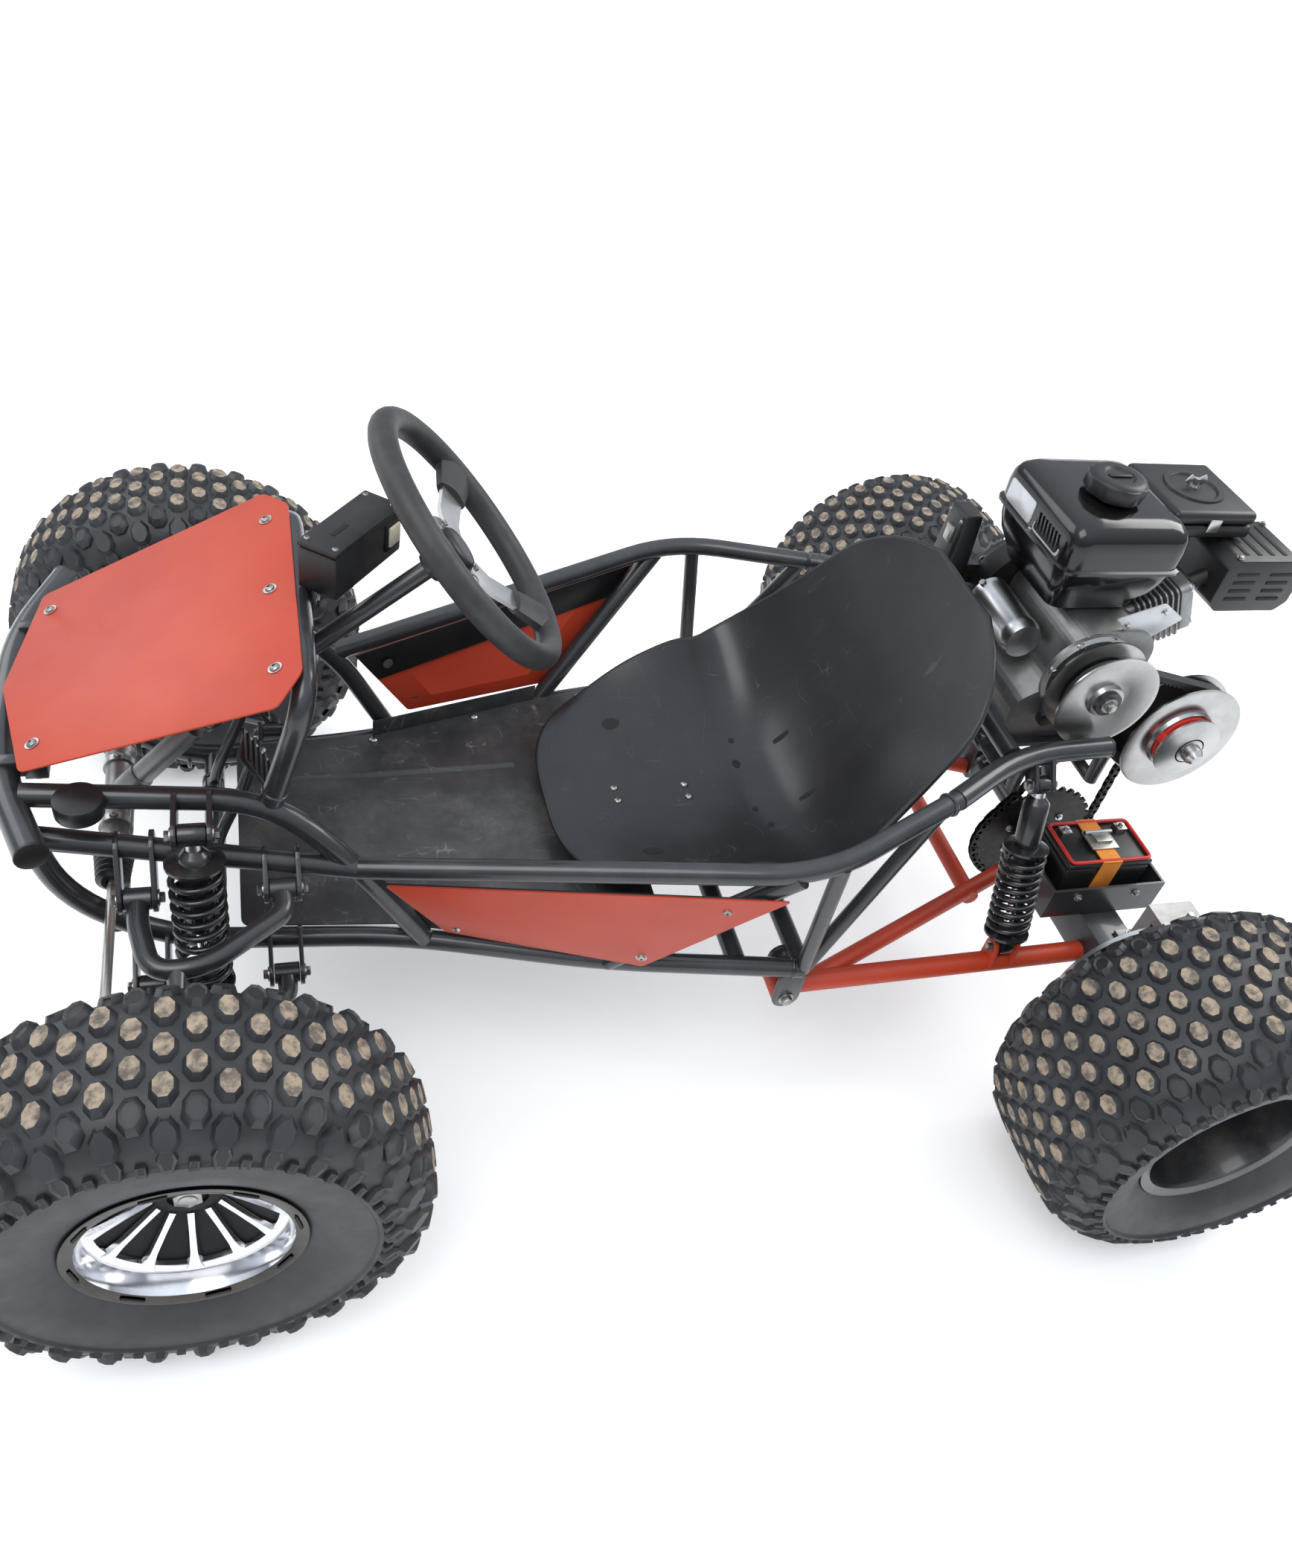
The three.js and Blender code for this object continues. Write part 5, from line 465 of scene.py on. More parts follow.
class Mould:
    """A bmesh that operators shape, and that becomes one finished piece."""

    def __init__(self, name: str) -> None:
        """Start an empty piece of that name."""
        self.name = name
        self.bm = bmesh.new()

    def faces(self, verts: Iterable[bmesh.types.BMVert]) -> set[bmesh.types.BMFace]:
        """The faces on some corners."""
        return {face for vert in verts for face in vert.link_faces}

    def edges(self, verts: Iterable[bmesh.types.BMVert]) -> set[bmesh.types.BMEdge]:
        """The edges on some corners."""
        return {edge for vert in verts for edge in vert.link_edges}

    def paint(self, verts: Iterable[bmesh.types.BMVert], ink: int) -> None:
        """Give the faces on some corners a material slot."""
        for face in self.faces(verts):
            face.material_index = ink

    def soften(self, edges: Iterable[bmesh.types.BMEdge], offset: float, segments: int = 2) -> None:
        """Bevel some edges.

        Args:
            edges: The edges.
            offset: The width of the bevel, in metres.
            segments: Steps across it.
        """
        bmesh.ops.bevel(
            self.bm, geom=list(edges), offset=offset, offset_type="OFFSET", segments=segments,
            profile=0.5, affect="EDGES", material=-1, clamp_overlap=True,
        )

    def slab(
        self, low: Vector, high: Vector, bevel: float = 0.0, ink: int = 0,
        turn: Matrix | None = None, taper: float = 1.0, segments: int = 2,
    ) -> None:
        """Add a block between two corners.

        Args:
            low: One corner.
            high: The opposite corner.
            bevel: The width of its rounded edges, in metres.
            ink: Its material slot.
            turn: A turn about its own middle.
            taper: The size of its top against its foot.
            segments: Steps across each rounded edge.
        """
        size = Vector(abs(a - b) for a, b in zip(low, high))
        middle = Matrix.Translation((low + high) / 2)
        stretch = Matrix.Diagonal((*size, 1.0))
        made = bmesh.ops.create_cube(self.bm, size=1.0, matrix=stretch)["verts"]
        for vert in made:
            if vert.co.z > 0:
                vert.co.x *= taper
                vert.co.y *= taper
        bmesh.ops.transform(self.bm, matrix=middle @ (turn or Matrix.Identity(4)), verts=made)
        self.paint(made, ink)
        if bevel:
            self.soften(self.edges(made), bevel, segments)

    def rod(
        self, start: Vector, end: Vector, radius: float, end_radius: float | None = None,
        sides: int = 24, bevel: float = 0.0, ink: int = 0,
    ) -> None:
        """Add a round or many-sided bar.

        Args:
            start: The middle of its first face.
            end: The middle of its last face.
            radius: Its radius at the start.
            end_radius: Its radius at the end, the same where left out.
            sides: How many sides it has.
            bevel: The width of its rounded rims.
            ink: Its material slot.
        """
        axis = end - start
        matrix = Matrix.Translation((start + end) / 2) @ upright(axis)
        made = bmesh.ops.create_cone(
            self.bm, cap_ends=True, segments=sides, radius1=radius,
            radius2=radius if end_radius is None else end_radius, depth=axis.length, matrix=matrix,
        )["verts"]
        self.paint(made, ink)
        if bevel:
            way = axis.normalized()
            rims = [
                edge for edge in self.edges(made)
                if abs((edge.verts[1].co - edge.verts[0].co).normalized().dot(way)) < 0.5
            ]
            self.soften(rims, bevel)

    def lathe(
        self, profile: Sequence[tuple[float, float]], centre: Vector, axis: Vector,
        steps: int = 48, ink: int = 0, closed: bool = True, inks: Sequence[int] = (),
    ) -> None:
        """Turn a profile of (radius, distance) pairs in millimetres round an axis.

        Args:
            profile: The outline's corners in order.
            centre: The point that distances are measured from.
            axis: The direction of the distances.
            steps: Sides of the turned piece.
            ink: The material slot of the whole.
            closed: Whether the outline closes on itself.
            inks: Material slots for single runs of the outline, in order.
        """
        corners = [self.bm.verts.new((r * MM, 0.0, d * MM)) for r, d in profile]
        edges = [self.bm.edges.new(pair) for pair in zip(corners, corners[1:])]
        if closed and profile[0] != profile[-1] and (profile[0][0] > 0 or profile[-1][0] > 0):
            edges.append(self.bm.edges.new((corners[-1], corners[0])))
        before = set(self.bm.faces)
        bmesh.ops.spin(
            self.bm, geom=corners + edges, cent=(0, 0, 0), axis=Z_AXIS, dvec=(0, 0, 0),
            angle=2 * math.pi, steps=steps, use_merge=True,
        )
        faces = [face for face in self.bm.faces if face not in before]
        verts = list({vert for face in faces for vert in face.verts})
        for face in faces:
            face.material_index = self._run_ink(face, profile, inks, ink)
        bmesh.ops.transform(
            self.bm, matrix=Matrix.Translation(centre) @ upright(axis), verts=verts
        )
        bmesh.ops.remove_doubles(self.bm, verts=verts, dist=MERGE)

    @staticmethod
    def _run_ink(
        face: bmesh.types.BMFace, profile: Sequence[tuple[float, float]],
        inks: Sequence[int], other: int,
    ) -> int:
        """Find the material slot of the outline's run that a turned face lies on.

        Args:
            face: A turned face.
            profile: The outline's corners.
            inks: The slots of its first runs.
            other: The slot where nothing is nearer.

        Returns:
            The slot.
        """
        middle = face.calc_center_median()
        here = Vector((math.hypot(middle.x, middle.y), middle.z)) / MM
        best, slot = 1e9, other
        for i, ink in enumerate(inks):
            a, b = profile[i], profile[(i + 1) % len(profile)]
            away = (Vector(((a[0] + b[0]) / 2, (a[1] + b[1]) / 2)) - here).length
            if away < best:
                best, slot = away, ink
        return slot

    def tube(
        self, route: Sequence[Vector], radius: float, bend: float = 0.07, sides: int = 20,
        ink: int = 0,
    ) -> None:
        """Carry a circle along a route by extruding it from station to station.

        Args:
            route: The corner points of the route.
            radius: The tube's radius in metres.
            bend: How far the curve at a corner reaches.
            sides: How many sides the tube has.
            ink: Its material slot.
        """
        stations = rounded(route, bend) if bend else list(route)
        last = len(stations) - 1
        heading = (stations[1] - stations[0]).normalized()
        turn = upright(heading)
        placed = [Matrix.Translation(stations[0]) @ turn]
        for i in range(1, last + 1):
            after = stations[min(i + 1, last)] - stations[i]
            arriving = (stations[i] - stations[i - 1]).normalized()
            leaving = after.normalized() if after.length else arriving
            facing = (arriving + leaving).normalized()
            turn = heading.rotation_difference(facing).to_matrix().to_4x4() @ turn
            heading = facing
            placed.append(Matrix.Translation(stations[i]) @ turn)
        ring = bmesh.ops.create_circle(
            self.bm, cap_ends=True, segments=sides, radius=radius, matrix=placed[0]
        )["verts"]
        self.paint(ring + self.drag(ring, placed, True), ink)

    def loft(
        self, profile: Sequence[Point], placed: Sequence[Matrix], closed: bool = True, ink: int = 0,
        looped: bool = False,
    ) -> list[bmesh.types.BMVert]:
        """Carry a flat profile through several placements.

        Args:
            profile: The profile's corners before the first placement.
            placed: The matrix of each station.
            closed: Whether the profile is a ring, whose two ends are capped.
            ink: The material slot.
            looped: Whether the last placement is the first again, so that nothing is capped.

        Returns:
            All of its corners.
        """
        ring = [self.bm.verts.new(placed[0] @ Vector(corner)) for corner in profile]
        if closed and not looped:
            self.bm.faces.new(ring)
        else:
            for pair in zip(ring, ring[1:] + ring[:1] if closed else ring[1:]):
                self.bm.edges.new(pair)
        made = ring + self.drag(ring, placed, closed and not looped)
        self.paint(made, ink)
        return made

    def drag(
        self, ring: Sequence[bmesh.types.BMVert], placed: Sequence[Matrix], capped: bool
    ) -> list[bmesh.types.BMVert]:
        """Extrude a ring of edges from placement to placement.

        Args:
            ring: The corners of the first ring.
            placed: The matrix of each station.
            capped: Whether the last ring gets a face.

        Returns:
            The new corners.
        """
        inside = set(ring)
        edges = [edge for edge in self.edges(ring) if all(v in inside for v in edge.verts)]
        made = []
        for before, after in zip(placed, placed[1:]):
            grown = bmesh.ops.extrude_edge_only(self.bm, edges=edges)["geom"]
            verts = [g for g in grown if isinstance(g, bmesh.types.BMVert)]
            edges = [g for g in grown if isinstance(g, bmesh.types.BMEdge)]
            bmesh.ops.transform(self.bm, matrix=after @ before.inverted(), verts=verts)
            made += verts
        if capped:
            bmesh.ops.contextual_create(self.bm, geom=edges)
        return made

    def coil(
        self, top: Vector, foot: Vector, radius: float, wire: float, curls: float, ink: int = 0
    ) -> None:
        """Add a spring by spinning a circle while it climbs.

        Args:
            top: One end of the spring's axis.
            foot: The other end.
            radius: The radius at the wire's middle.
            wire: The wire's radius.
            curls: How many turns it makes.
            ink: Its material slot.
        """
        steps = int(curls * 24)
        rise = (foot - top).length - 2 * wire
        side = Matrix.Translation((radius, 0, wire)) @ Matrix.Rotation(math.pi / 2, 4, "X")
        ring = bmesh.ops.create_circle(
            self.bm, cap_ends=True, segments=10, radius=wire, matrix=side
        )["verts"]
        geom = list(ring) + list(self.edges(ring)) + list(self.faces(ring))
        before = set(self.bm.verts) - set(ring)
        bmesh.ops.spin(
            self.bm, geom=geom, cent=(0, 0, 0), axis=Z_AXIS, dvec=(0, 0, rise / steps),
            angle=2 * math.pi * curls, steps=steps, use_merge=False,
        )
        verts = [vert for vert in self.bm.verts if vert not in before]
        bmesh.ops.transform(
            self.bm, matrix=Matrix.Translation(top) @ upright(foot - top), verts=verts
        )
        self.paint(verts, ink)

    def sheet(
        self, outline: Sequence[Vector], thickness: float, bevel: float = 0.0, ink: int = 0,
        along: Vector | None = None,
    ) -> None:
        """Extrude a flat outline into a plate.

        Args:
            outline: The corners of one face.
            thickness: How thick the plate is.
            bevel: The width of its rounded edges.
            ink: Its material slot.
            along: The direction to grow, the outline's own normal where left out.
        """
        corners = [self.bm.verts.new(corner) for corner in outline]
        face = self.bm.faces.new(corners)
        face.normal_update()
        way = (along or face.normal).normalized() * thickness
        grown = bmesh.ops.extrude_face_region(self.bm, geom=[face])["geom"]
        verts = [g for g in grown if isinstance(g, bmesh.types.BMVert)]
        bmesh.ops.translate(self.bm, vec=way, verts=verts)
        self.paint(corners + verts, ink)
        if bevel:
            self.soften(self.edges(corners + verts), bevel)

    def bolt(self, at: Vector, axis: Vector, radius: float = 5.0, ink: int = 1) -> None:
        """Add a hexagon bolt head on a washer; the radius is in millimetres.

        Args:
            at: The middle of its foot.
            axis: The way that it points.
            radius: Its radius in millimetres.
            ink: Its material slot.
        """
        way = axis.normalized()
        size = radius * MM
        self.rod(at, at + way * size * 0.28, size * 1.45, sides=20, ink=ink)
        head = at + way * size * 0.28
        self.rod(head, head + way * size * 0.85, size, sides=6, bevel=size * 0.12, ink=ink)

    def dome(self, at: Vector, axis: Vector, radius: float = 6.0, ink: int = 1) -> None:
        """Add a round-headed screw with a socket; the radius is in millimetres.

        Args:
            at: The middle of its foot.
            axis: The way that it points.
            radius: Its radius in millimetres.
            ink: Its material slot.
        """
        self.lathe(
            [(0, 0), (radius, 0), (radius * 0.92, radius * 0.3), (radius * 0.6, radius * 0.52),
             (radius * 0.34, radius * 0.56), (radius * 0.32, radius * 0.28), (0, radius * 0.26)],
            at, axis, steps=20, ink=ink, closed=False,
        )

    def copy_node(self, node: str, ink: int = 0, flat_deg: float = 1.0) -> None:
        """Add a merged copy of a CAD node's mesh, its flat faces made whole.

        Args:
            node: The CAD node's name.
            ink: Its material slot.
            flat_deg: Faces that differ by less than this become one.
        """
        self.bm.from_mesh(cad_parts[node].data)
        bmesh.ops.remove_doubles(self.bm, verts=self.bm.verts, dist=1e-5)
        bmesh.ops.dissolve_limit(
            self.bm, angle_limit=math.radians(flat_deg), verts=self.bm.verts, edges=self.bm.edges
        )
        for face in self.bm.faces:
            face.material_index = ink

    def finish(
        self, body: str, slot: str, finishes: Sequence[Finish], stands_for: Sequence[str] = (),
        sharp_deg: float = 38.0, bevel: float = 0.0,
    ) -> bpy.types.Object:
        """Turn the bmesh into a piece of the kart.

        Args:
            body: The CAD body that it rides on.
            slot: The record's material slot of its finish; not used.
            finishes: Its materials, in the order of the slots used.
            stands_for: The CAD nodes that it replaces.
            sharp_deg: Edges sharper than this stay crisp.
            bevel: The width of a Bevel modifier, none at 0.

        Returns:
            The finished object.
        """
        bmesh.ops.remove_doubles(self.bm, verts=self.bm.verts, dist=MERGE)
        bmesh.ops.recalc_face_normals(self.bm, faces=self.bm.faces)
        mesh = bpy.data.meshes.new(self.name)
        self.bm.to_mesh(mesh)
        self.bm.free()
        for finish in finishes:
            mesh.materials.append(finish.material())
        mesh.shade_smooth()
        mesh.set_sharp_from_angle(angle=math.radians(sharp_deg))
        piece = bpy.data.objects.new(self.name, mesh)
        bpy.context.scene.collection.objects.link(piece)
        if bevel:
            rounding = piece.modifiers.new("edges", "BEVEL")
            rounding.width = bevel
            rounding.segments = 2
            rounding.limit_method = "ANGLE"
            rounding.angle_limit = math.radians(30)
        if stands_for:
            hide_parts(*stands_for)
        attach(piece, body)
        LOG.info("%s: %d faces on %s", self.name, len(mesh.polygons), body)
        return piece


def round_outline(corners: Sequence[Vector], bend: float, steps: int = 5) -> list[Vector]:
    """Round every corner of a closed outline.

    Args:
        corners: The outline's corners.
        bend: How far each curve reaches, in metres.
        steps: Stations on each curve.

    Returns:
        The rounded outline.
    """
    wrapped = [corners[-1], *corners, corners[0]]
    route = rounded([(wrapped[0] + wrapped[1]) / 2, *corners, (corners[-1] + wrapped[-1]) / 2], bend, steps)
    return route[1:-1]


def placement_of(*columns: Vector) -> Matrix:
    """The matrix with those three directions and that place as its columns."""
    return Matrix([[column[row] for column in columns] for row in range(3)]).to_4x4()


def way_at(angle: float) -> Vector:
    """The direction at an angle from +X towards +Z."""
    return Vector((math.cos(angle), 0, math.sin(angle)))


def ring_of(count: int, start: float = 0.0) -> list[float]:
    """Evenly spaced angles round a circle, in radians."""
    return [start + 2 * math.pi * i / count for i in range(count)]


def stadium(a: Vector, b: Vector, first: float, second: float, axis: Vector) -> list[Vector]:
    """The outline of a link plate with round ends.

    Args:
        a: The middle of its first end.
        b: The middle of its second end.
        first: The radius round the first end.
        second: The radius round the second end.
        axis: The direction square to the plate.

    Returns:
        The outline's corners.
    """
    along = (b - a).normalized()
    across = axis.normalized().cross(along)
    arc = [math.pi * i / 8 for i in range(9)]
    ends = [a + (across * math.cos(t) - along * math.sin(t)) * first for t in arc]
    return ends + [b + (along * math.sin(t) - across * math.cos(t)) * second for t in arc]


def strap(
    mould: Mould, a: Vector, b: Vector, radii: tuple[float, float], axis: Vector, thickness: float,
    ink: int = 0, bevel: float = 0.0006,
) -> None:
    """Add a link plate centred on the plane through its two ends.

    Args:
        mould: The piece that it goes on.
        a: The middle of its first end.
        b: The middle of its second end.
        radii: The radii round both ends.
        axis: The direction square to the plate.
        thickness: Its thickness in metres.
        ink: Its material slot.
        bevel: The width of its rounded edges, in metres.
    """
    way = axis.normalized() * thickness
    outline = [p - way / 2 for p in stadium(a, b, *radii, axis)]
    mould.sheet(outline, thickness, bevel, ink, along=way)


# The frame

SLOPE = math.radians(40.0)


@dataclass(frozen=True)
class FrameWork:
    """The welded tube frame, in the three parts that the CAD has."""

    rail: float = 12.5
    hoop: float = 13.5
    brace: float = 10.0
    bumper: float = 16.0
    bend: float = 70.0
    lug: float = 5.0

    def build(self) -> None:
        """Make the lower, front and rear parts."""
        self.lower()
        self.front()
        self.rear()

    def pipe(self, mould: Mould, route: Sequence[Point], radius: float, bend: float = 0.0) -> None:
        """Add a bent tube on the left and its mirror image.

        Args:
            mould: The piece that it goes on.
            route: The corners of its route, in millimetres.
            radius: Its radius.
            bend: How far its curves reach.
        """
        for side in Side:
            mould.tube(spots(flip(route, side.value)), radius * MM, (bend or self.bend) * MM, 22)

    def cross(self, mould: Mould, x: float, half: float, z: float) -> None:
        """Add a straight tube from side to side."""
        mould.rod(spot(x, -half, z), spot(x, half, z), self.rail * MM, sides=22)

    def fork(self, mould: Mould, eye: Point, mount: Point, gap: float, radius: float = 15.0) -> None:
        """Add a fork of two plates either side of an eye that turns about X, with its bolt.

        Args:
            mould: The piece that it goes on.
            eye: The eye's middle, in millimetres.
            mount: The point of the frame that it stands on.
            gap: Half of the room between its plates.
            radius: The radius round the eye.
        """
        for side in Side:
            (ex, ey, ez), (mx, my, mz) = flip([eye, mount], side.value)
            for way in (-1, 1):
                off = way * (gap + self.lug / 2)
                ends = spot(ex + off, ey, ez), spot(mx + off, my, mz)
                strap(mould, *ends, (radius * MM, radius * 1.15 * MM), X_AXIS, self.lug * MM)
                face = spot(ex + way * (gap + self.lug), ey, ez)
                mould.bolt(face, X_AXIS * way, 6.0)

    def lower(self) -> None:
        """Make the floor rails, their cross tubes, the side braces' feet and the lower lugs."""
        mould = Mould("lower_frame_tubes")
        rail = [
            (458, 283, 255), (707, 241, 255), (944, 175, 255), (1196, 152, 255),
            (1298, 161, 352), (1320, 168, 471.7),
        ]
        self.pipe(mould, rail, self.rail)
        self.pipe(mould, [(458, 283, 255), (480, 313, 480)], self.brace)
        self.pipe(mould, [(458, 283, 255), (332, 251, 500)], self.brace)
        for x, half, z in (
            (458, 281, 255), (707, 236, 255), (1150, 150, 255), (540, 262, 255), (1252, 160, 297)
        ):
            self.cross(mould, x, half, z)
        for x in (1218, 1074):
            self.fork(mould, (x, 208, 245), (x, 162, 264 if x > 1150 else 252), 14.5)
        for side in Side:
            m = side.value
            for way in (-1, 1):
                y = m * (268 + way * 20)
                ends = spot(470, y, 205), spot(470, y, 240)
                strap(mould, *ends, (0.018, 0.018), Y_AXIS, self.lug * MM)
                mould.bolt(spot(470, m * 268 + way * 22.5, 205), Y_AXIS * way, 7.0)
                y = m * 62 + way * 10
                ends = spot(1150, y, 288), spot(1150, y, 262)
                strap(mould, *ends, (0.013, 0.013), Y_AXIS, self.lug * MM)
                mould.bolt(spot(1150, m * 62 + way * 12.5, 288), Y_AXIS * way, 5.0)
            mould.slab(spot(1243.5, m * 41, 297), spot(1260.5, m * 58, 323.5), 0.001)
            mould.slab(spot(527.5, m * 12 - 12.5, 255), spot(552.5, m * 12 + 12.5, 291.7), 0.002)
            self.bead(mould, (458, 283 * m, 255), (707, 241 * m, 255), self.rail)
            self.bead(mould, (1196, 152 * m, 255), (1150, 156 * m, 255), self.rail)
        mould.finish(
            "chassis", "frame_black", (FRAME_BLACK, BOLT_ZINC), ("lower_frame",)
        )

    def bead(self, mould: Mould, at: Point, towards: Point, radius: float) -> None:
        """Add the raised ring of a weld round a tube.

        Args:
            mould: The piece that it goes on.
            at: Where the tube ends.
            towards: A point further along the tube.
            radius: The tube's radius.
        """
        way = (spot(*towards) - spot(*at)).normalized()
        r = radius - 0.5
        place = spot(*at) + way * 0.014
        mould.lathe([(r, -2.5), (r + 1.6, -1.6), (r + 2.2, 0), (r + 1.6, 1.6), (r, 2.5)], place, way, 22)

    def front(self) -> None:
        """Make the upper rails, the bumper, the dash hoop and the upper lugs."""
        mould = Mould("front_frame_tubes")
        self.pipe(mould, [(1318, 150, 494), (1080, 162, 480), (994, 191, 397), (913, 184, 255)], self.rail)
        self.pipe(mould, [(1316, 166, 450), (994, 191, 397)], self.rail)
        bumper = [(1302, 228, 488), (1344, 110, 488), (1344, -110, 488), (1302, -228, 488)]
        mould.tube(spots(bumper), self.bumper * MM, self.bend * MM, 26)
        hoop = [(1080, 162, 480), (1042, 172, 627), (1042, -172, 627), (1080, -162, 480)]
        mould.tube(spots(hoop), self.rail * MM, 0.055, 22)
        for x, y, z in ((1218, 173, 434), (1074, 184, 410)):
            self.fork(mould, (x, 208, 392), (x, y, z), 14.5)
        self.fork(mould, (1158, 212, 487), (1158, 172, 486), 14.5)
        for side in Side:
            m = side.value
            self.cap(mould, spot(1302, 228 * m, 488), spot(1344, 110 * m, 488), self.bumper)
            mould.slab(spot(1294, m * 100, 488), spot(1316, m * 122, 518), 0.001)
            mould.slab(spot(1316, m * 104, 488), spot(1340, m * 118, 508), 0.001)
            mould.bolt(spot(1305, m * 111, 487), -Z_AXIS, 5.0)
            self.bead(mould, (1080, 162 * m, 480), (1042, 172 * m, 627), self.rail)
        horn = spot(1262, 176, 503)
        mould.rod(horn - Z_AXIS * 0.012, horn + Z_AXIS * 0.008, 0.024, sides=36, bevel=0.002, ink=2)
        mould.slab(spot(1256, 152, 489), spot(1268, 176, 493), 0.001)
        collar = spot(1042.2, 0, 543.6)
        down = Vector((math.cos(SLOPE), 0.0, -math.sin(SLOPE)))
        mould.rod(collar - down * 0.012, collar + down * 0.012, 0.019, sides=28, bevel=0.0015)
        mould.slab(spot(1033, -10, 556), spot(1046, 10, 626), 0.001)
        mould.finish("chassis", "frame_black", (FRAME_BLACK, BOLT_ZINC, DARK_PLASTIC), ("front_frame",))

    def cap(self, mould: Mould, end: Vector, inner: Vector, radius: float) -> None:
        """Close a tube's open end with a domed plug.

        Args:
            mould: The piece that it goes on.
            end: The middle of the tube's end.
            inner: A point further inside the tube.
            radius: The tube's radius.
        """
        way = (end - inner).normalized()
        mould.lathe(
            [(0, -4), (radius * 0.97, -4), (radius * 1.04, 0), (radius * 1.02, 1.5),
             (radius * 0.7, 3.2), (0, 3.8)], end, way, 22, ink=2, closed=False,
        )

    def rear(self) -> None:
        """Make the waist rails, the engine hoop, the cradle and the rear shocks' forks."""
        mould = Mould("rear_frame_tubes")
        self.pipe(mould, [(994, 191, 397), (508, 325, 480), (313, 243, 500)], self.rail)
        self.pipe(mould, [(313, 243, 500), (196, 178, 505), (66, 172, 505)], self.hoop)
        self.pipe(mould, [(702, 242, 255), (530, 319, 472)], self.rail)
        self.cross(mould, 208, 178, 505)
        plate = [spot(x, y, 447.7) for x, y in ((26, -104), (198.5, -104), (198.5, 104), (26, 104))]
        mould.sheet(round_outline(plate, 0.01), 0.006, 0.001, along=Z_AXIS)
        for side in Side:
            m = side.value
            self.cap(mould, spot(66, 172 * m, 505), spot(196, 178 * m, 505), self.hoop)
            self.bead(mould, (313, 243 * m, 500), (508, 325 * m, 480), self.hoop)
            for x in (66, 186):
                y = m * (172 if x < 100 else 177.5)
                mould.slab(spot(x - 9, 0, 447.8), spot(x + 9, y, 453.6), 0.001)
                mould.rod(spot(x, y, 448), spot(x, y, 505), 0.009, sides=20, bevel=0.001)
                mould.bolt(spot(x, m * 88, 453.7), Z_AXIS, 4.6)
        self.fork(mould, (166, 201, 474), (166, 178, 500), 9.5, 11.5)
        mould.finish("chassis", "frame_black", (FRAME_BLACK, BOLT_ZINC, DARK_PLASTIC), ("rear_frame",))


# Panels, pan and seat


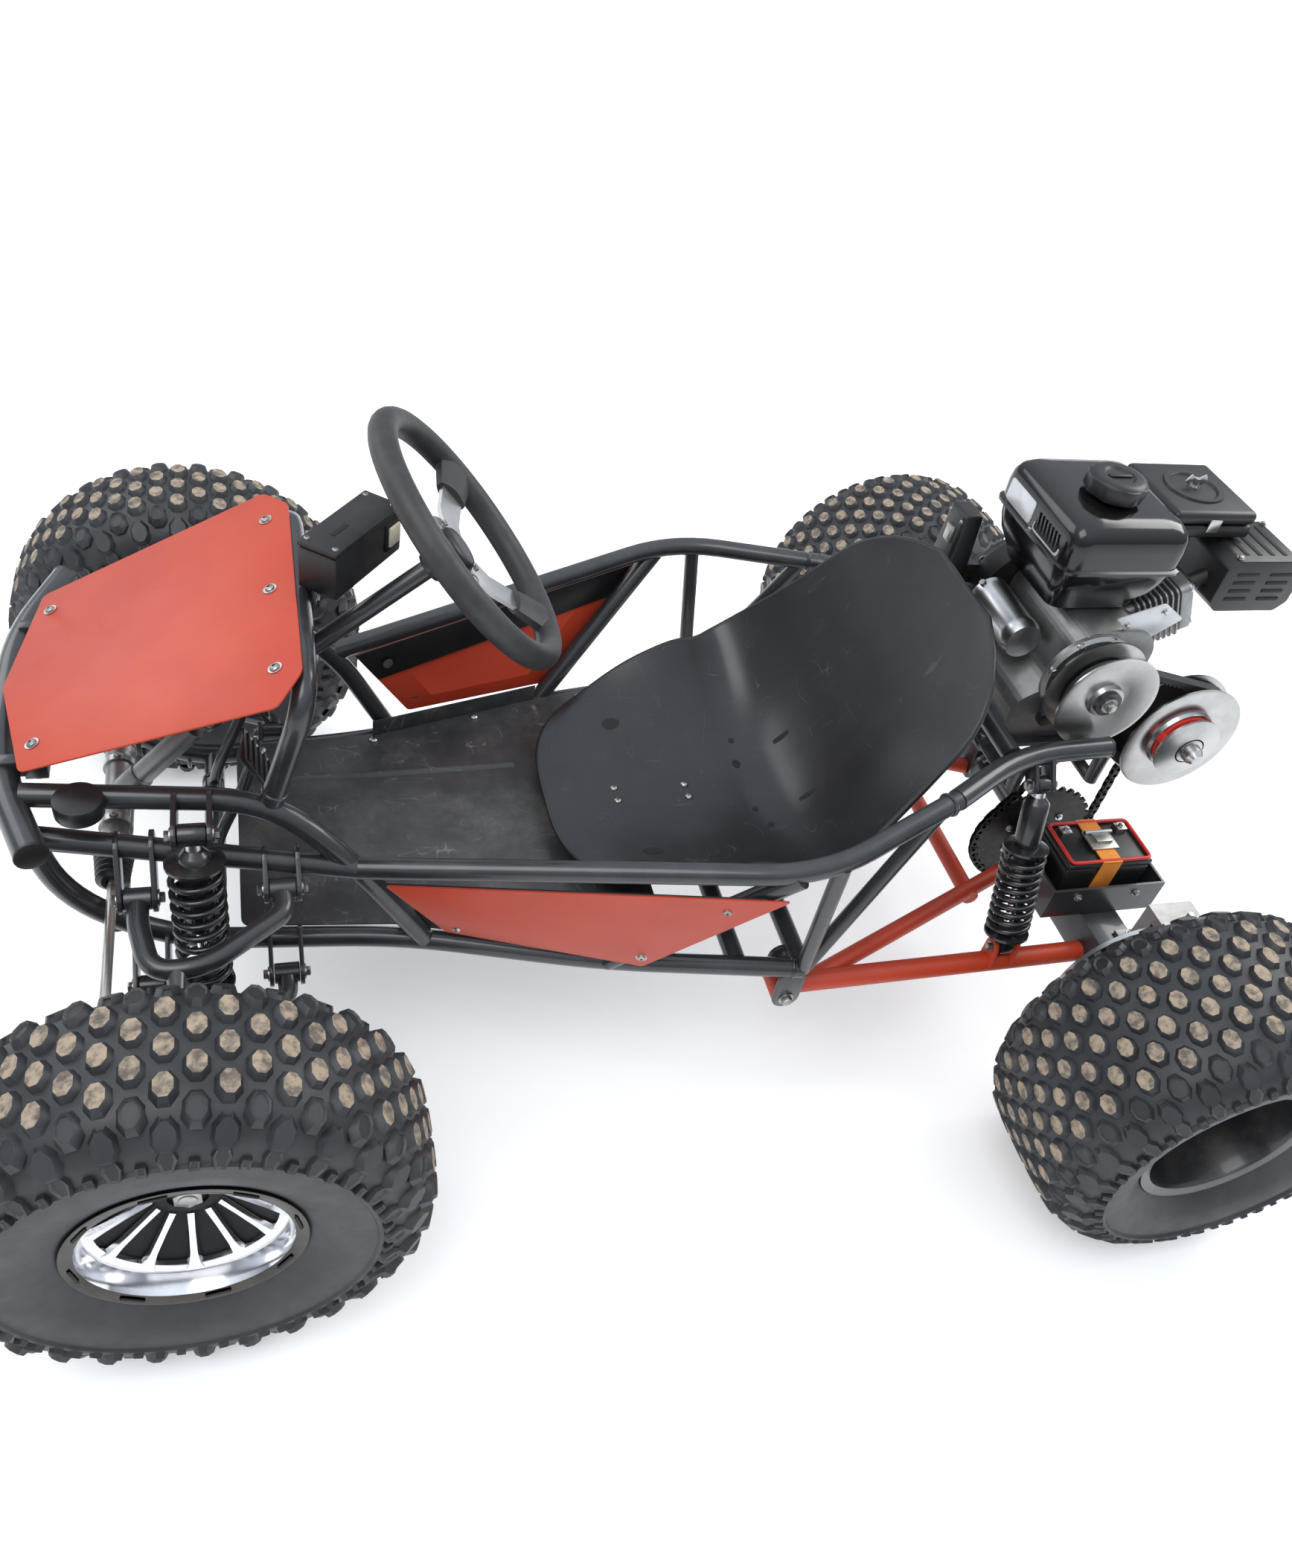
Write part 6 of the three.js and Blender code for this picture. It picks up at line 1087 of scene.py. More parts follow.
@dataclass(frozen=True)
class Bodywork:
    """The red panels and the floor pan."""

    front_x: float = 1042.0
    front_z: float = 644.6
    nose_x: float = 1316.0
    nose_z: float = 521.0

    def build(self) -> None:
        """Make the hood, both side panels and the floor pan."""
        self.hood()
        for side in Side:
            self.side_panel(side)
        self.pan()

    def height(self, x: float) -> float:
        """The hood's top over a point on the kart's middle line."""
        share = (x - self.front_x) / (self.nose_x - self.front_x)
        return self.front_z + (self.nose_z - self.front_z) * share

    def on_hood(self, x: float, y: float) -> Vector:
        """A point on the hood's top face."""
        return spot(x, y, self.height(x))

    def hood(self) -> None:
        """Make the flat nose panel and its screws."""
        mould = Mould("hood_plate")
        half = [(1045, 150), (1071, 190), (1316, 146), (1346, 0)]
        corners = [self.on_hood(x, -y) for x, y in half] + [self.on_hood(x, y) for x, y in half[-2::-1]]
        outline = round_outline(corners, 0.008)
        down = (corners[2] - corners[1]).cross(corners[1] - corners[0])
        down = -down if down.z > 0 else down
        down.normalize()
        mould.sheet([p + down * 0.0001 for p in outline], 0.0024, 0.0007, along=down)
        for x, y in ((1070, 132), (1070, -132), (1070, 0), (1305, 111), (1305, -111)):
            at = self.on_hood(x, y)
            mould.rod(at, at - down * 0.001, 0.0075, sides=24, ink=1)
            mould.dome(at - down * 0.001, -down, 5.4)
        mould.finish("chassis", "panel_red", (PANEL_RED, BOLT_ZINC), ("hood_panel",))

    def side_panel(self, side: Side) -> None:
        """Make one side panel with its screws.

        Args:
            side: The side of the kart.
        """
        m = side.value
        mould = Mould(f"side_panel_plate_{side.tag}")
        corners = [(667, 269.3, 274), (893, 199.5, 285), (966, 204.2, 380), (540, 330.7, 447)]
        outline = spots(flip(corners, m))
        out = (outline[1] - outline[0]).cross(outline[3] - outline[0]).normalized()
        out = out if out.y * m > 0 else -out
        base = [p - out * 0.0012 for p in round_outline(outline, 0.005)]
        mould.sheet(base, 0.0024, 0.0007, along=out)
        low_back, low_front, top_front, top_back = outline
        strip = [top_front.lerp(low_front, 0.42), top_front, top_back.lerp(top_front, 0.06),
                 top_back.lerp(top_front, 0.06).lerp(low_back, 0.26)]
        mould.sheet([p - out * 0.0034 for p in strip], 0.002, 0.0004, 2, along=out)
        for along, down in ((0.07, 0.2), (0.5, 0.17), (0.9, 0.17), (0.08, 0.88), (0.92, 0.88)):
            at = top_front.lerp(top_back, along).lerp(low_front.lerp(low_back, along), down)
            at += out * (0.0013 - (at - outline[0]).dot(out))
            mould.rod(at, at + out * 0.001, 0.007, sides=24, ink=1)
            mould.dome(at + out * 0.001, out, 5.0)
        mould.finish(
            "chassis", "panel_red", (PANEL_RED, BOLT_ZINC, DARK_PLASTIC), (f"side_panel_{side.tag}",)
        )

    def pan(self) -> None:
        """Make the floor pan with pressed ribs, edge screws and the seat's two pads."""
        mould = Mould("floor_pan_plate")
        half = [(622, 249.3), (707, 235), (944, 169), (1122, 152.8)]
        corners = [spot(x, -y, 267.8) for x, y in half] + [spot(x, y, 267.8) for x, y in half[::-1]]
        mould.sheet(round_outline(corners, 0.012), 0.0025, 0.0006, along=Z_AXIS)
        for y in (-96, 96):
            ends = spot(760, y, 270.3), spot(1060, y * 0.9, 270.3)
            mould.loft(
                [(-0.007, 0, 0), (-0.004, 0.0022, 0), (0.004, 0.0022, 0), (0.007, 0, 0)],
                [Matrix.Translation(p) @ Matrix(((0, 0, 1, 0), (1, 0, 0, 0), (0, 1, 0, 0), (0, 0, 0, 1)))
                 for p in ends],
            )
        for side in Side:
            m = side.value
            mould.slab(spot(627.5, m * 12 - 12.5, 270.2), spot(652.5, m * 12 + 12.5, 291.7), 0.002)
            for x, y in ((640, 232), (800, 196), (944, 156), (1090, 144)):
                mould.dome(spot(x, y * m, 270.3), Z_AXIS, 6.0)
            lip = spots(flip([(707, 232, 268), (944, 166, 268), (944, 166, 296), (707, 232, 296)], m))
            mould.sheet(lip, 0.0016, 0.0004, along=Y_AXIS)
        mould.finish("chassis", "frame_black", (PAN_BLACK, BOLT_ZINC), ("floor_pan",))


@dataclass(frozen=True)
class Seat:
    """The moulded bucket seat."""

    front: float = 736.0
    run: float = 497.0
    pan: float = 292.0
    rise: float = 345.0
    half: float = 228.0
    deep: float = 92.0
    shell: float = 4.0
    curl: float = 2.4
    front_bow: float = 3.4
    centre_shares: tuple[tuple[float, float], ...] = (
        (0, 0.04), (0.22, 0.02), (0.42, 0.02), (0.57, 0.02), (0.67, 0.08),
        (0.75, 0.22), (0.84, 0.46), (0.93, 0.75), (1, 1),
    )
    width_shares: tuple[float, ...] = (0.72, 0.87, 0.94, 0.99, 1.05, 1.05, 0.97, 0.87, 0.79)
    deep_shares: tuple[float, ...] = (0.12, 0.6, 0.92, 1, 0.94, 0.78, 0.54, 0.27, 0.03)
    bow_shares: tuple[float, ...] = (0.24, 0.13, 0.06, 0.02, 0.01, 0.01, 0.01, 0.01, 0.01)
    window: float = 3.2
    between: int = 5

    @staticmethod
    def eased(values: Sequence[float], t: float) -> float:
        """Read a list of values at a fractional place on a smooth curve through them.

        Args:
            values: The values, one for each whole place.
            t: The fractional place.

        Returns:
            The value there.
        """
        i = min(int(t), len(values) - 2)
        f = t - i
        a, b = values[i], values[i + 1]
        before = values[i - 1] if i else a - (b - a)
        after = values[i + 2] if i + 2 < len(values) else b + (b - a)
        return a + 0.5 * f * (
            b - before + f * (2 * before - 5 * a + 4 * b - after + f * (3 * (a - b) + after - before))
        )

    def station(self, t: float) -> Vector:
        """The middle of the shell's underside at a fractional station.

        Args:
            t: The fractional station.

        Returns:
            The point.
        """
        back = self.eased([share[0] for share in self.centre_shares], t)
        up = self.eased([share[1] for share in self.centre_shares], t)
        return spot(self.front - self.run * back, 0, max(self.pan, self.pan + self.rise * (up - 0.02)))

    def placement(self, t: float) -> Matrix:
        """The matrix that carries the cross profile to a station.

        Args:
            t: The fractional station.

        Returns:
            The matrix.
        """
        here = self.station(t)
        after, before = min(t + self.window, 8.0), max(t - self.window, 0.0)
        along = (self.station(after) - self.station(before)).normalized()
        normal = Vector((along.z, 0, -along.x))
        bow = self.eased(self.bow_shares, t) * self.half * MM
        wide = self.eased(self.width_shares, t) * self.half * MM
        wide *= math.sqrt(1 - (max(t - 6.8, 0.0) / 1.3) ** 2)
        lift = self.eased(self.deep_shares, t) * self.deep * MM
        bow = math.copysign(max(abs(bow), 0.001), bow)
        return placement_of(Y_AXIS * wide, normal * lift, along * bow, here)

    def build(self) -> None:
        """Make the scoop, its rolled rim, its holes drawn as black sheets of painted shade, and its bolts."""
        mould = Mould("seat_scoop")
        shares = [-1 + i / 14 for i in range(29)]
        profile = [(share, abs(share) ** self.curl, abs(share) ** self.front_bow) for share in shares]
        steps = 8 * self.between
        placed = [self.placement(i / self.between) for i in range(steps + 1)]
        mould.loft(profile, placed, closed=False)
        bmesh.ops.recalc_face_normals(mould.bm, faces=mould.bm.faces)
        up = sum(face.normal.z for face in mould.bm.faces)
        inward = 1 if up < 0 else -1
        bmesh.ops.solidify(mould.bm, geom=list(mould.bm.faces), thickness=self.shell * MM * inward)
        edge = [placed[i] @ Vector((1, 1, 1)) for i in range(steps + 1)]
        top = [placed[-1] @ Vector(corner) for corner in profile[::-1]]
        back = [placed[i] @ Vector((-1, 1, 1)) for i in range(steps, -1, -1)]
        low = [placed[0] @ Vector(corner) for corner in profile]
        rim = edge + top[1:-1] + back + low[1:-1]
        mould.tube([*rim, rim[0]], 0.0042, 0.0, 10, ink=1)
        for x, y in ((540, 12), (540, -12), (640, 12), (640, -12)):
            mould.dome(spot(x, y, self.pan + self.shell), Z_AXIS, 6.0, ink=2)
        for t, share, long, wide in (
            (1.0, 0.62, 13, 9), (1.0, -0.62, 13, 9), (4.4, -0.24, 30, 3.5), (4.4, 0.24, 30, 3.5),
            (3.0, -0.2, 6, 7), (3.0, 0.2, 4, 5), (3.1, -0.38, 4, 4), (3.2, 0.36, 4, 4),
        ):
            self.opening(mould, t, share, long, wide)
        mould.finish(
            "chassis", "seat_plastic", (SEAT_PLASTIC, DARK_PLASTIC, BOLT_ZINC, BLACK_AND_PAINTED_SHADE),
            ("seat_shell",), 60.0,
        )

    def opening(self, mould: Mould, t: float, share: float, long: float, wide: float) -> None:
        """Add an oval opening's moulded lip and its mouth, a black sheet of painted shade on the shell's
        inner face; no hole is cut.

        Args:
            mould: The seat's mould.
            t: The opening's fractional station.
            share: Its place across the seat.
            long: Half of its length up the seat, in millimetres.
            wide: Half of its width.
        """
        here = self.placement(t)

        def inner(s: float, dt: float) -> Vector:
            """A point on the shell's inner face."""
            return self.placement(t + dt) @ Vector((s, abs(s) ** self.curl, abs(s) ** self.front_bow))

        centre = inner(share, 0.0)
        up = (inner(share, 0.1) - inner(share, -0.1)).normalized()
        side = (inner(share + 0.03, 0.0) - inner(share - 0.03, 0.0)).normalized()
        normal = up.cross(side)
        normal = normal if normal.dot(here.col[1].to_3d()) > 0 else -normal
        side = normal.cross(up)
        base = centre + normal * (self.shell + 0.1) * MM
        # The second sheet is the mouth: black painted shade where the hole is.
        for scale, lift, ink in ((1.18, 0.0, 1), (1.0, 0.35, 3)):
            outline = [
                base + normal * lift * MM + (up * math.cos(a) * long + side * math.sin(a) * wide) * scale * MM
                for a in ring_of(24)
            ]
            mould.sheet(outline, 0.0004, 0.0, ink, along=normal)


# Steering


@dataclass(frozen=True)
class Steering:
    """The wheel, its column, the rack and the tie rods."""

    rim: float = 145.0
    grip: float = 15.0
    hub: float = 42.0
    dish: float = 22.0
    spoke: float = 34.0

    def centre(self) -> Vector:
        """The middle of the wheel's rim."""
        return spot(863, 0, 694)

    def towards_driver(self) -> Vector:
        """The column's direction, up to the driver."""
        return Vector((-math.cos(SLOPE), 0.0, math.sin(SLOPE)))

    def build(self) -> None:
        """Make all the pieces."""
        self.wheel()
        self.column()
        self.rack()
        for side in Side:
            self.tie_rod(side)

    def wheel(self) -> None:
        """Make the padded rim on its three flat spokes."""
        mould = Mould("steering_wheel_rim")
        axis, centre = self.towards_driver(), self.centre()
        ring = [
            (self.rim + self.grip * math.cos(t), self.grip * math.sin(t)) for t in ring_of(18)
        ]
        mould.lathe(ring, centre, axis, 72)
        middle = centre - axis * self.dish * MM
        mould.lathe(
            [(0, -4), (self.hub, -4), (self.hub, 3), (self.hub - 1.5, 4), (0, 4)],
            middle, axis, 48, ink=1, closed=False,
        )
        mould.lathe(
            [(0, 4), (25, 4), (25, 8), (22, 11), (12, 12), (0, 12)], middle, axis, 36, ink=2, closed=False
        )
        downhill = Vector((axis.z, 0, -axis.x))
        boss = [(math.cos(t) if abs(math.cos(t)) < 0.9 else math.copysign(1, math.cos(t)),
                 math.sin(t), 0) for t in ring_of(16)]
        for away in (Y_AXIS, -Y_AXIS, -downhill if downhill.z > 0 else downhill):
            spoke = ((24, -self.dish + 2.5, 1), (62, -self.dish + 3, 1), (102, -8, 1), (132, -1, 1))
            self.arm(mould, away, 2.5, [(x, y, 0) for x, y in CORNERS], spoke, 1)
            self.arm(mould, away, 7.5, boss, ((96, -10, 1.25), (134, 0, 1.6)), 0)
        for t in ring_of(6, math.pi / 6):
            out = (Y_AXIS * math.cos(t) + downhill * math.sin(t)) * 0.033
            mould.bolt(middle + out + axis * 0.004, axis, 3.4, ink=3)
        mould.finish(
            "steering", "grip_rubber", (GRIP_RUBBER, BRIGHT_STEEL, DARK_PLASTIC, BOLT_ZINC),
            ("steering_wheel",), 50.0,
        )

    def arm(
        self, mould: Mould, away: Vector, thick: float, outline: Sequence[Point],
        stations: Sequence[tuple[float, float, float]], ink: int,
    ) -> None:
        """Add a bar that runs out along one spoke.

        Args:
            mould: The piece that it goes on.
            away: The spoke's direction.
            thick: Half of its thickness in millimetres.
            outline: Its cross section, from -1 to 1.
            stations: The reach, lift and size of each station.
            ink: Its material slot.
        """
        axis = self.towards_driver()
        side = axis.cross(away).normalized() * self.spoke / 2 * MM
        placed = []
        for reach, lift, size in stations:
            at = self.centre() + away * reach * MM + axis * lift * MM
            placed.append(placement_of(side * size, axis * thick * size * MM, away, at))
        mould.loft(outline, placed, ink=ink)

    def column(self) -> None:
        """Make the steering shaft with its clamp collars."""
        mould = Mould("steering_shaft")
        axis, centre = -self.towards_driver(), self.centre()
        start, end = centre + axis * 0.0263, centre + axis * 0.3775
        mould.rod(start, end, 0.0105, sides=24, bevel=0.001)
        for at, radius, length in ((0.03, 17, 0.026), (0.352, 15.5, 0.024)):
            foot = centre + axis * at
            mould.rod(foot, foot + axis * length, radius * MM, sides=28, bevel=0.0015)
            side = Y_AXIS * radius * MM
            mould.bolt(foot + axis * length / 2 + side * 0.94, Y_AXIS, 3.6)
        mould.finish("steering", "frame_black", (FRAME_BLACK, BOLT_ZINC), ("steering_column",))

    def rack(self) -> None:
        """Make the rack housing with its tower, clamps and ribbed boots."""
        mould = Mould("rack_housing")
        at = spot(1252, 0, 340)
        mould.lathe(
            [(0, -82), (17, -82), (17, -66), (15.2, -64), (15.2, 64), (17, 66), (17, 82), (0, 82)],
            at, Y_AXIS, 32, ink=1, closed=False,
        )
        top = self.centre() - self.towards_driver() * 0.3785
        lean = (top - at).normalized()
        mould.rod(at, top - lean * 0.012, 0.0135, sides=26, bevel=0.001, ink=1)
        mould.rod(at + lean * 0.012, at + lean * 0.045, 0.0155, sides=26, bevel=0.002, ink=1)
        for side in Side:
            m = side.value
            profile = [(12, 82)]
            for i in range(7):
                y = 83 + i * 7.4
                size = 22.6 - i * 0.75
                profile += [(size - 5, y), (size, y + 2.6), (size, y + 4.0), (size - 5, y + 6.8)]
            profile += [(12, 135.6), (6.6, 135.6), (6.6, 83), (0, 83)]
            mould.lathe([(0, 82), *profile], at, Y_AXIS * m, 36, ink=0, closed=False)
            mould.lathe([(17, 76), (18.4, 76), (18.4, 81), (17, 81)], at, Y_AXIS * m, 32, ink=2)
            mould.lathe([(15, 45), (18.6, 45), (18.6, 54), (15, 54)], at, Y_AXIS * m, 32, ink=2)
            mould.bolt(at + Vector((0, m * 0.0495, 0.018)), Z_AXIS, 3.6, ink=2)
        mould.finish(
            "chassis", "dark_plastic", (DARK_PLASTIC, CAST_METAL, BOLT_ZINC), ("steering_rack",), 42.0
        )

    def tie_rod(self, side: Side) -> None:
        """Make one tie rod with its nut and its outer ball joint.

        Args:
            side: The side of the kart.
        """
        m = side.value
        mould = Mould(f"tie_rod_bar_{side.tag}")
        inner, outer = spot(1252, 112 * m, 340), spot(1252, 362 * m, 340)
        way = Y_AXIS * m
        mould.rod(inner, outer - way * 0.006, 0.0048, sides=20)
        mould.rod(inner + way * 0.03, outer - way * 0.05, 0.0055, sides=20, bevel=0.0006)
        mould.rod(outer - way * 0.036, outer - way * 0.030, 0.0072, sides=6, bevel=0.0004)
        mould.rod(outer - way * 0.030, outer - way * 0.006, 0.0062, 0.0058, sides=20)
        mould.lathe(
            [(3, -7.5), (6.4, -7.5), (7.6, -5), (7.9, 0), (7.6, 5), (6.4, 7.5), (3, 7.5)],
            outer, Z_AXIS, 28, ink=1,
        )
        mould.finish(
            "tie_rods", "zinc_steel", (ZINC, BOLT_ZINC), (f"tie_rod_{side.tag}",)
        )


# Front suspension


@dataclass(frozen=True)
class CoilOver:
    """A shock absorber: body, rod, seats and spring, from its top eye to its foot eye."""

    name: str
    top: Point
    foot: Point
    body: str
    rod_body: str
    joint: str
    spring: float
    wire: float
    curls: float
    shares: tuple[float, float, float, float]
    seat: float
    eye: float
    keep: float

    def build(self, side: Side) -> None:
        """Make the body, the rod and the spring of one side.

        Args:
            side: The side of the kart.
        """
        m, tag = side.value, side.tag
        top, foot = spots(flip([self.top, self.foot], m))
        self.damper(top, foot, tag)
        self.plunger(top, foot, tag)
        self.coil(top, foot, tag)

    def damper(self, top: Vector, foot: Vector, tag: str) -> None:
        """Make the black body with its upper spring seat and its steel eye.

        Args:
            top: The upper eye.
            foot: The lower eye.
            tag: The side's ending in names.
        """
        mould = Mould(f"{self.name}_damper_{tag}")
        axis = foot - top
        length = axis.length / MM
        start, seat, end, _ = (share * length for share in self.shares)
        mould.lathe(
            [(0, start - 6), (9, start - 6), (14, start), (16.6, start + 3), (16.6, seat + 6),
             (15.6, seat + 8), (15.6, end - 8), (16.6, end - 7), (16.6, end - 1), (14, end), (0, end)],
            top, axis, 32, closed=False,
        )
        mould.lathe(
            [(15, seat - 7), (22, seat - 6), (self.seat, seat - 3.6),
             (self.seat, seat - 0.2), (15, seat - 0.2)],
            top, axis, 36,
        )
        mould.rod(top, top + axis.normalized() * start * MM, 0.0085, sides=20, ink=1)
        self.ring(mould, top, self.eye)
        mould.finish(self.body.format(tag), "frame_black", (SPRING_BLACK, BRIGHT_STEEL, GRIP_RUBBER),
                     (f"{self.name}_body_{tag}",), 42.0)

    def ring(self, mould: Mould, at: Vector, half: float) -> None:
        """Add an eye with its rubber bush, turned about X.

        Args:
            mould: The piece that it goes on.
            at: The eye's middle.
            half: Half of its length, in millimetres.
        """
        mould.lathe(
            [(8.2, -half), (11.4, -half + 0.5), (11.8, -half + 2), (11.8, half - 2),
             (11.4, half - 0.5), (8.2, half)],
            at, X_AXIS, 28, ink=0,
        )
        mould.lathe([(5.5, -half), (8.2, -half), (8.2, half), (5.5, half)], at, X_AXIS, 24, ink=2)
        mould.rod(at - X_AXIS * half * MM, at + X_AXIS * half * MM, 0.0056, sides=16, ink=1)

    def plunger(self, top: Vector, foot: Vector, tag: str) -> None:
        """Make the chromed rod with its lower spring seat and its eye.

        Args:
            top: The upper eye.
            foot: The lower eye.
            tag: The side's ending in names.
        """
        mould = Mould(f"{self.name}_plunger_{tag}")
        axis = foot - top
        length = axis.length / MM
        low = self.shares[3] * length
        way = axis.normalized()
        mould.rod(top + way * self.shares[2] * length * 0.9 * MM, foot - way * 0.006, 0.006, sides=24, ink=1)
        mould.lathe(
            [(6, low + 0.2), (self.seat, low + 0.2), (self.seat, low + 3.8),
             (20, low + 6), (12, low + 10), (6, low + 11)],
            top, axis, 36,
        )
        mould.lathe([(6.1, low - 12), (9.5, low - 12), (9.5, low), (6.1, low)], top, axis, 24, ink=2)
        self.ring(mould, foot, min(self.eye, 9.0))
        mould.finish(self.rod_body.format(tag), "chromed_rod", (SPRING_BLACK, CHROME_ROD, GRIP_RUBBER),
                     (f"{self.name}_rod_{tag}",), 42.0)

    def coil(self, top: Vector, foot: Vector, tag: str) -> None:
        """Make the spring.

        Args:
            top: The upper eye.
            foot: The lower eye.
            tag: The side's ending in names.
        """
        mould = Mould(f"{self.name}_coil_{tag}")
        axis = foot - top
        start, end = self.shares[1] + 0.003, self.shares[3] - 0.002
        a, b = top + axis * start, top + axis * end
        mould.coil(a, b, self.spring * MM, self.wire * MM, self.curls)
        piece = mould.finish(
            self.body.format(tag), "spring_black", (SPRING_BLACK,),
            (self.name.replace("shock", "spring") + f"_{tag}",), 180.0,
        )
        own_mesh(piece)


FRONT_SHOCK = CoilOver(
    "front_shock", (1158, 212, 487), (1158, 252, 264), "front_damper_{}", "front_damper_rod_{}",
    "front_damper_stroke_{}", 25.0, 3.8, 9.5, (0.1, 0.16, 0.52, 0.86), 30.0, 14.0, 0.92,
)
REAR_SHOCK = CoilOver(
    "rear_shock", (166, 201, 474), (158, 270, 242), "rear_damper_{}", "rear_damper_rod_{}",
    "rear_damper_stroke_{}", 25.0, 3.7, 9.5, (0.09, 0.38, 0.6, 0.9), 29.0, 9.0, 0.79,
)


@dataclass(frozen=True)
class FrontSuspension:
    """The wishbones, kingpin brackets and knuckles of the front wheels."""

    tube: float = 11.0
    axle_x: float = 1180.0
    kingpin_y: float = 362.0

    def build(self) -> None:
        """Make both sides."""
        for side in Side:
            self.lower_arm(side)
            self.upper_arm(side)
            self.bracket(side)
            self.knuckle(side)
            FRONT_SHOCK.build(side)

    def eye(self, mould: Mould, at: Point, radius: float, half: float, m: int) -> None:
        """Add a bushed eye that turns about X.

        Args:
            mould: The piece that it goes on.
            at: Its middle on the left side, in millimetres.
            radius: Its outer radius.
            half: Half of its length.
            m: 1 on the left and -1 on the right.
        """
        centre = spot(at[0], at[1] * m, at[2])
        mould.lathe(
            [(6.4, -half), (radius - 1, -half), (radius, -half + 1), (radius, half - 1),
             (radius - 1, half), (6.4, half)],
            centre, X_AXIS, 28,
        )
        mould.lathe([(5.9, -half), (6.4, -half), (6.4, half), (5.9, half)], centre, X_AXIS, 24, ink=1)

    def lower_arm(self, side: Side) -> None:
        """Make the lower wishbone with its brace plate and shock ears.

        Args:
            side: The side of the kart.
        """
        m, tag = side.value, side.tag
        mould = Mould(f"lower_wishbone_arm_{tag}")
        for x in (1218, 1074):
            route = [(x, 216, 244), (x, 238, 239.9), (self.axle_x, 294, 230.4), (self.axle_x, 300, 229.4)]
            mould.tube(spots(flip(route, m)), self.tube * MM, 0.016, 20)
            self.eye(mould, (x, 208, 245), 12.0, 14.0, m)
        tip, joint = spot(self.axle_x, 290 * m, 231), spot(self.axle_x, 318 * m, 226.4)
        mould.rod(tip, joint, 0.0105, 0.009, sides=20)
        self.eye(mould, (self.axle_x, 326, 225), 10.5, 10.0, m)
        rise = (230.4 - 239.9) / 56
        web = [(1094, 246), (1206, 246), (1192, 268), (1150, 268)]
        corners = [spot(x, y * m, 239.9 + rise * (y - 238)) for x, y in web]
        mould.sheet(round_outline(corners, 0.006), 0.005, 0.0008, along=Z_AXIS)
        for way in (-1, 1):
            a = spot(1158 + way * 17, 252 * m, 264)
            b = spot(1158 + way * 17, 256 * m, 240)
            strap(mould, a, b, (0.012, 0.014), X_AXIS, 0.005)
            mould.bolt(spot(1158 + way * 19.5, 252 * m, 264), X_AXIS * way, 5.6)
        mould.finish(f"lower_wishbone_{tag}", "frame_black", (FRAME_BLACK, BOLT_ZINC), (f"lower_arm_{tag}",))

    def upper_arm(self, side: Side) -> None:
        """Make the upper wishbone, one tube bent round its outer joint.

        Args:
            side: The side of the kart.
        """
        m, tag = side.value, side.tag
        mould = Mould(f"upper_wishbone_arm_{tag}")
        route = [
            (1218, 216, 391), (1218, 238, 387), (1206, 294, 378), (1154, 294, 378),
            (1074, 238, 387), (1074, 216, 391),
        ]
        mould.tube(spots(flip(route, m)), self.tube * MM, 0.024, 20)
        for x in (1218, 1074):
            self.eye(mould, (x, 208, 392), 12.0, 14.0, m)
        tip, joint = spot(self.axle_x, 294 * m, 377.6), spot(self.axle_x, 318 * m, 373)
        mould.rod(tip, joint, 0.0105, 0.009, sides=20)
        self.eye(mould, (self.axle_x, 326, 372), 10.5, 10.0, m)
        mould.finish(f"upper_wishbone_{tag}", "frame_black", (FRAME_BLACK, BOLT_ZINC), (f"upper_arm_{tag}",))

    def bracket(self, side: Side) -> None:
        """Make the kingpin bracket with its two ears, two forks and its pin.

        Args:
            side: The side of the kart.
        """
        m, tag = side.value, side.tag
        mould = Mould(f"kingpin_plate_{tag}")
        x, y = self.axle_x, self.kingpin_y
        low, high = spot(x - 8, 338 * m, 205), spot(x + 8, 346 * m, 383)
        mould.slab(low, high, 0.0012)
        for z0, z1 in ((205, 213), (375, 383)):
            ends = spot(x, 342 * m, (z0 + z1) / 2), spot(x, y * m, (z0 + z1) / 2)
            strap(mould, *ends, (0.009, 0.0105), Z_AXIS, (z1 - z0) * MM, 0, 0.0009)
        for z in (225, 372):
            for way in (-1, 1):
                a, b = spot(x + way * 13, 326 * m, z), spot(x + way * 13, 341 * m, z)
                strap(mould, a, b, (0.0118, 0.0118), X_AXIS, 0.0048)
                mould.bolt(spot(x + way * 15.4, 326 * m, z), X_AXIS * way, 5.0)
        mould.bolt(spot(x, y * m, 383), Z_AXIS, 7.0)
        mould.rod(spot(x, y * m, 213), spot(x, y * m, 375), 0.0059, sides=20, ink=1)
        mould.finish(
            f"kingpin_{tag}", "frame_black", (FRAME_BLACK, BOLT_ZINC), (f"kingpin_bracket_{tag}",)
        )

    def knuckle(self, side: Side) -> None:
        """Make the knuckle: sleeve, spindle with its nut, and the steering arm.

        Args:
            side: The side of the kart.
        """
        m, tag = side.value, side.tag
        mould = Mould(f"knuckle_casting_{tag}")
        x, y, z = self.axle_x, self.kingpin_y, 241.5
        mould.lathe(
            [(6.4, -27.8), (12, -27.8), (13, -26.5), (13, 131.5), (12, 132.8), (6.4, 132.8)],
            spot(x, y * m, z), Z_AXIS, 28,
        )
        mould.rod(spot(x, (y + 9) * m, z), spot(x, 425 * m, z), 0.0155, 0.0125, sides=28, bevel=0.0008)
        mould.rod(spot(x, 424 * m, z), spot(x, 475.5 * m, z), 0.0095, sides=24, bevel=0.001, ink=1)
        mould.rod(spot(x, 466 * m, z), spot(x, 474 * m, z), 0.0155, sides=6, bevel=0.0008, ink=1)
        arm = [spot(x, y * m, 353), spot(1252, y * m, 353)]
        strap(mould, *arm, (0.0125, 0.0078), Z_AXIS, 0.0088, 0, 0.001)
        mould.bolt(spot(1252, y * m, 357.4), Z_AXIS, 5.0)
        mould.finish(f"spindle_{tag}", "cast_metal", (FRAME_BLACK, BOLT_ZINC), (f"knuckle_{tag}",))


# Wheels


BEAD_SHARE = 0.735


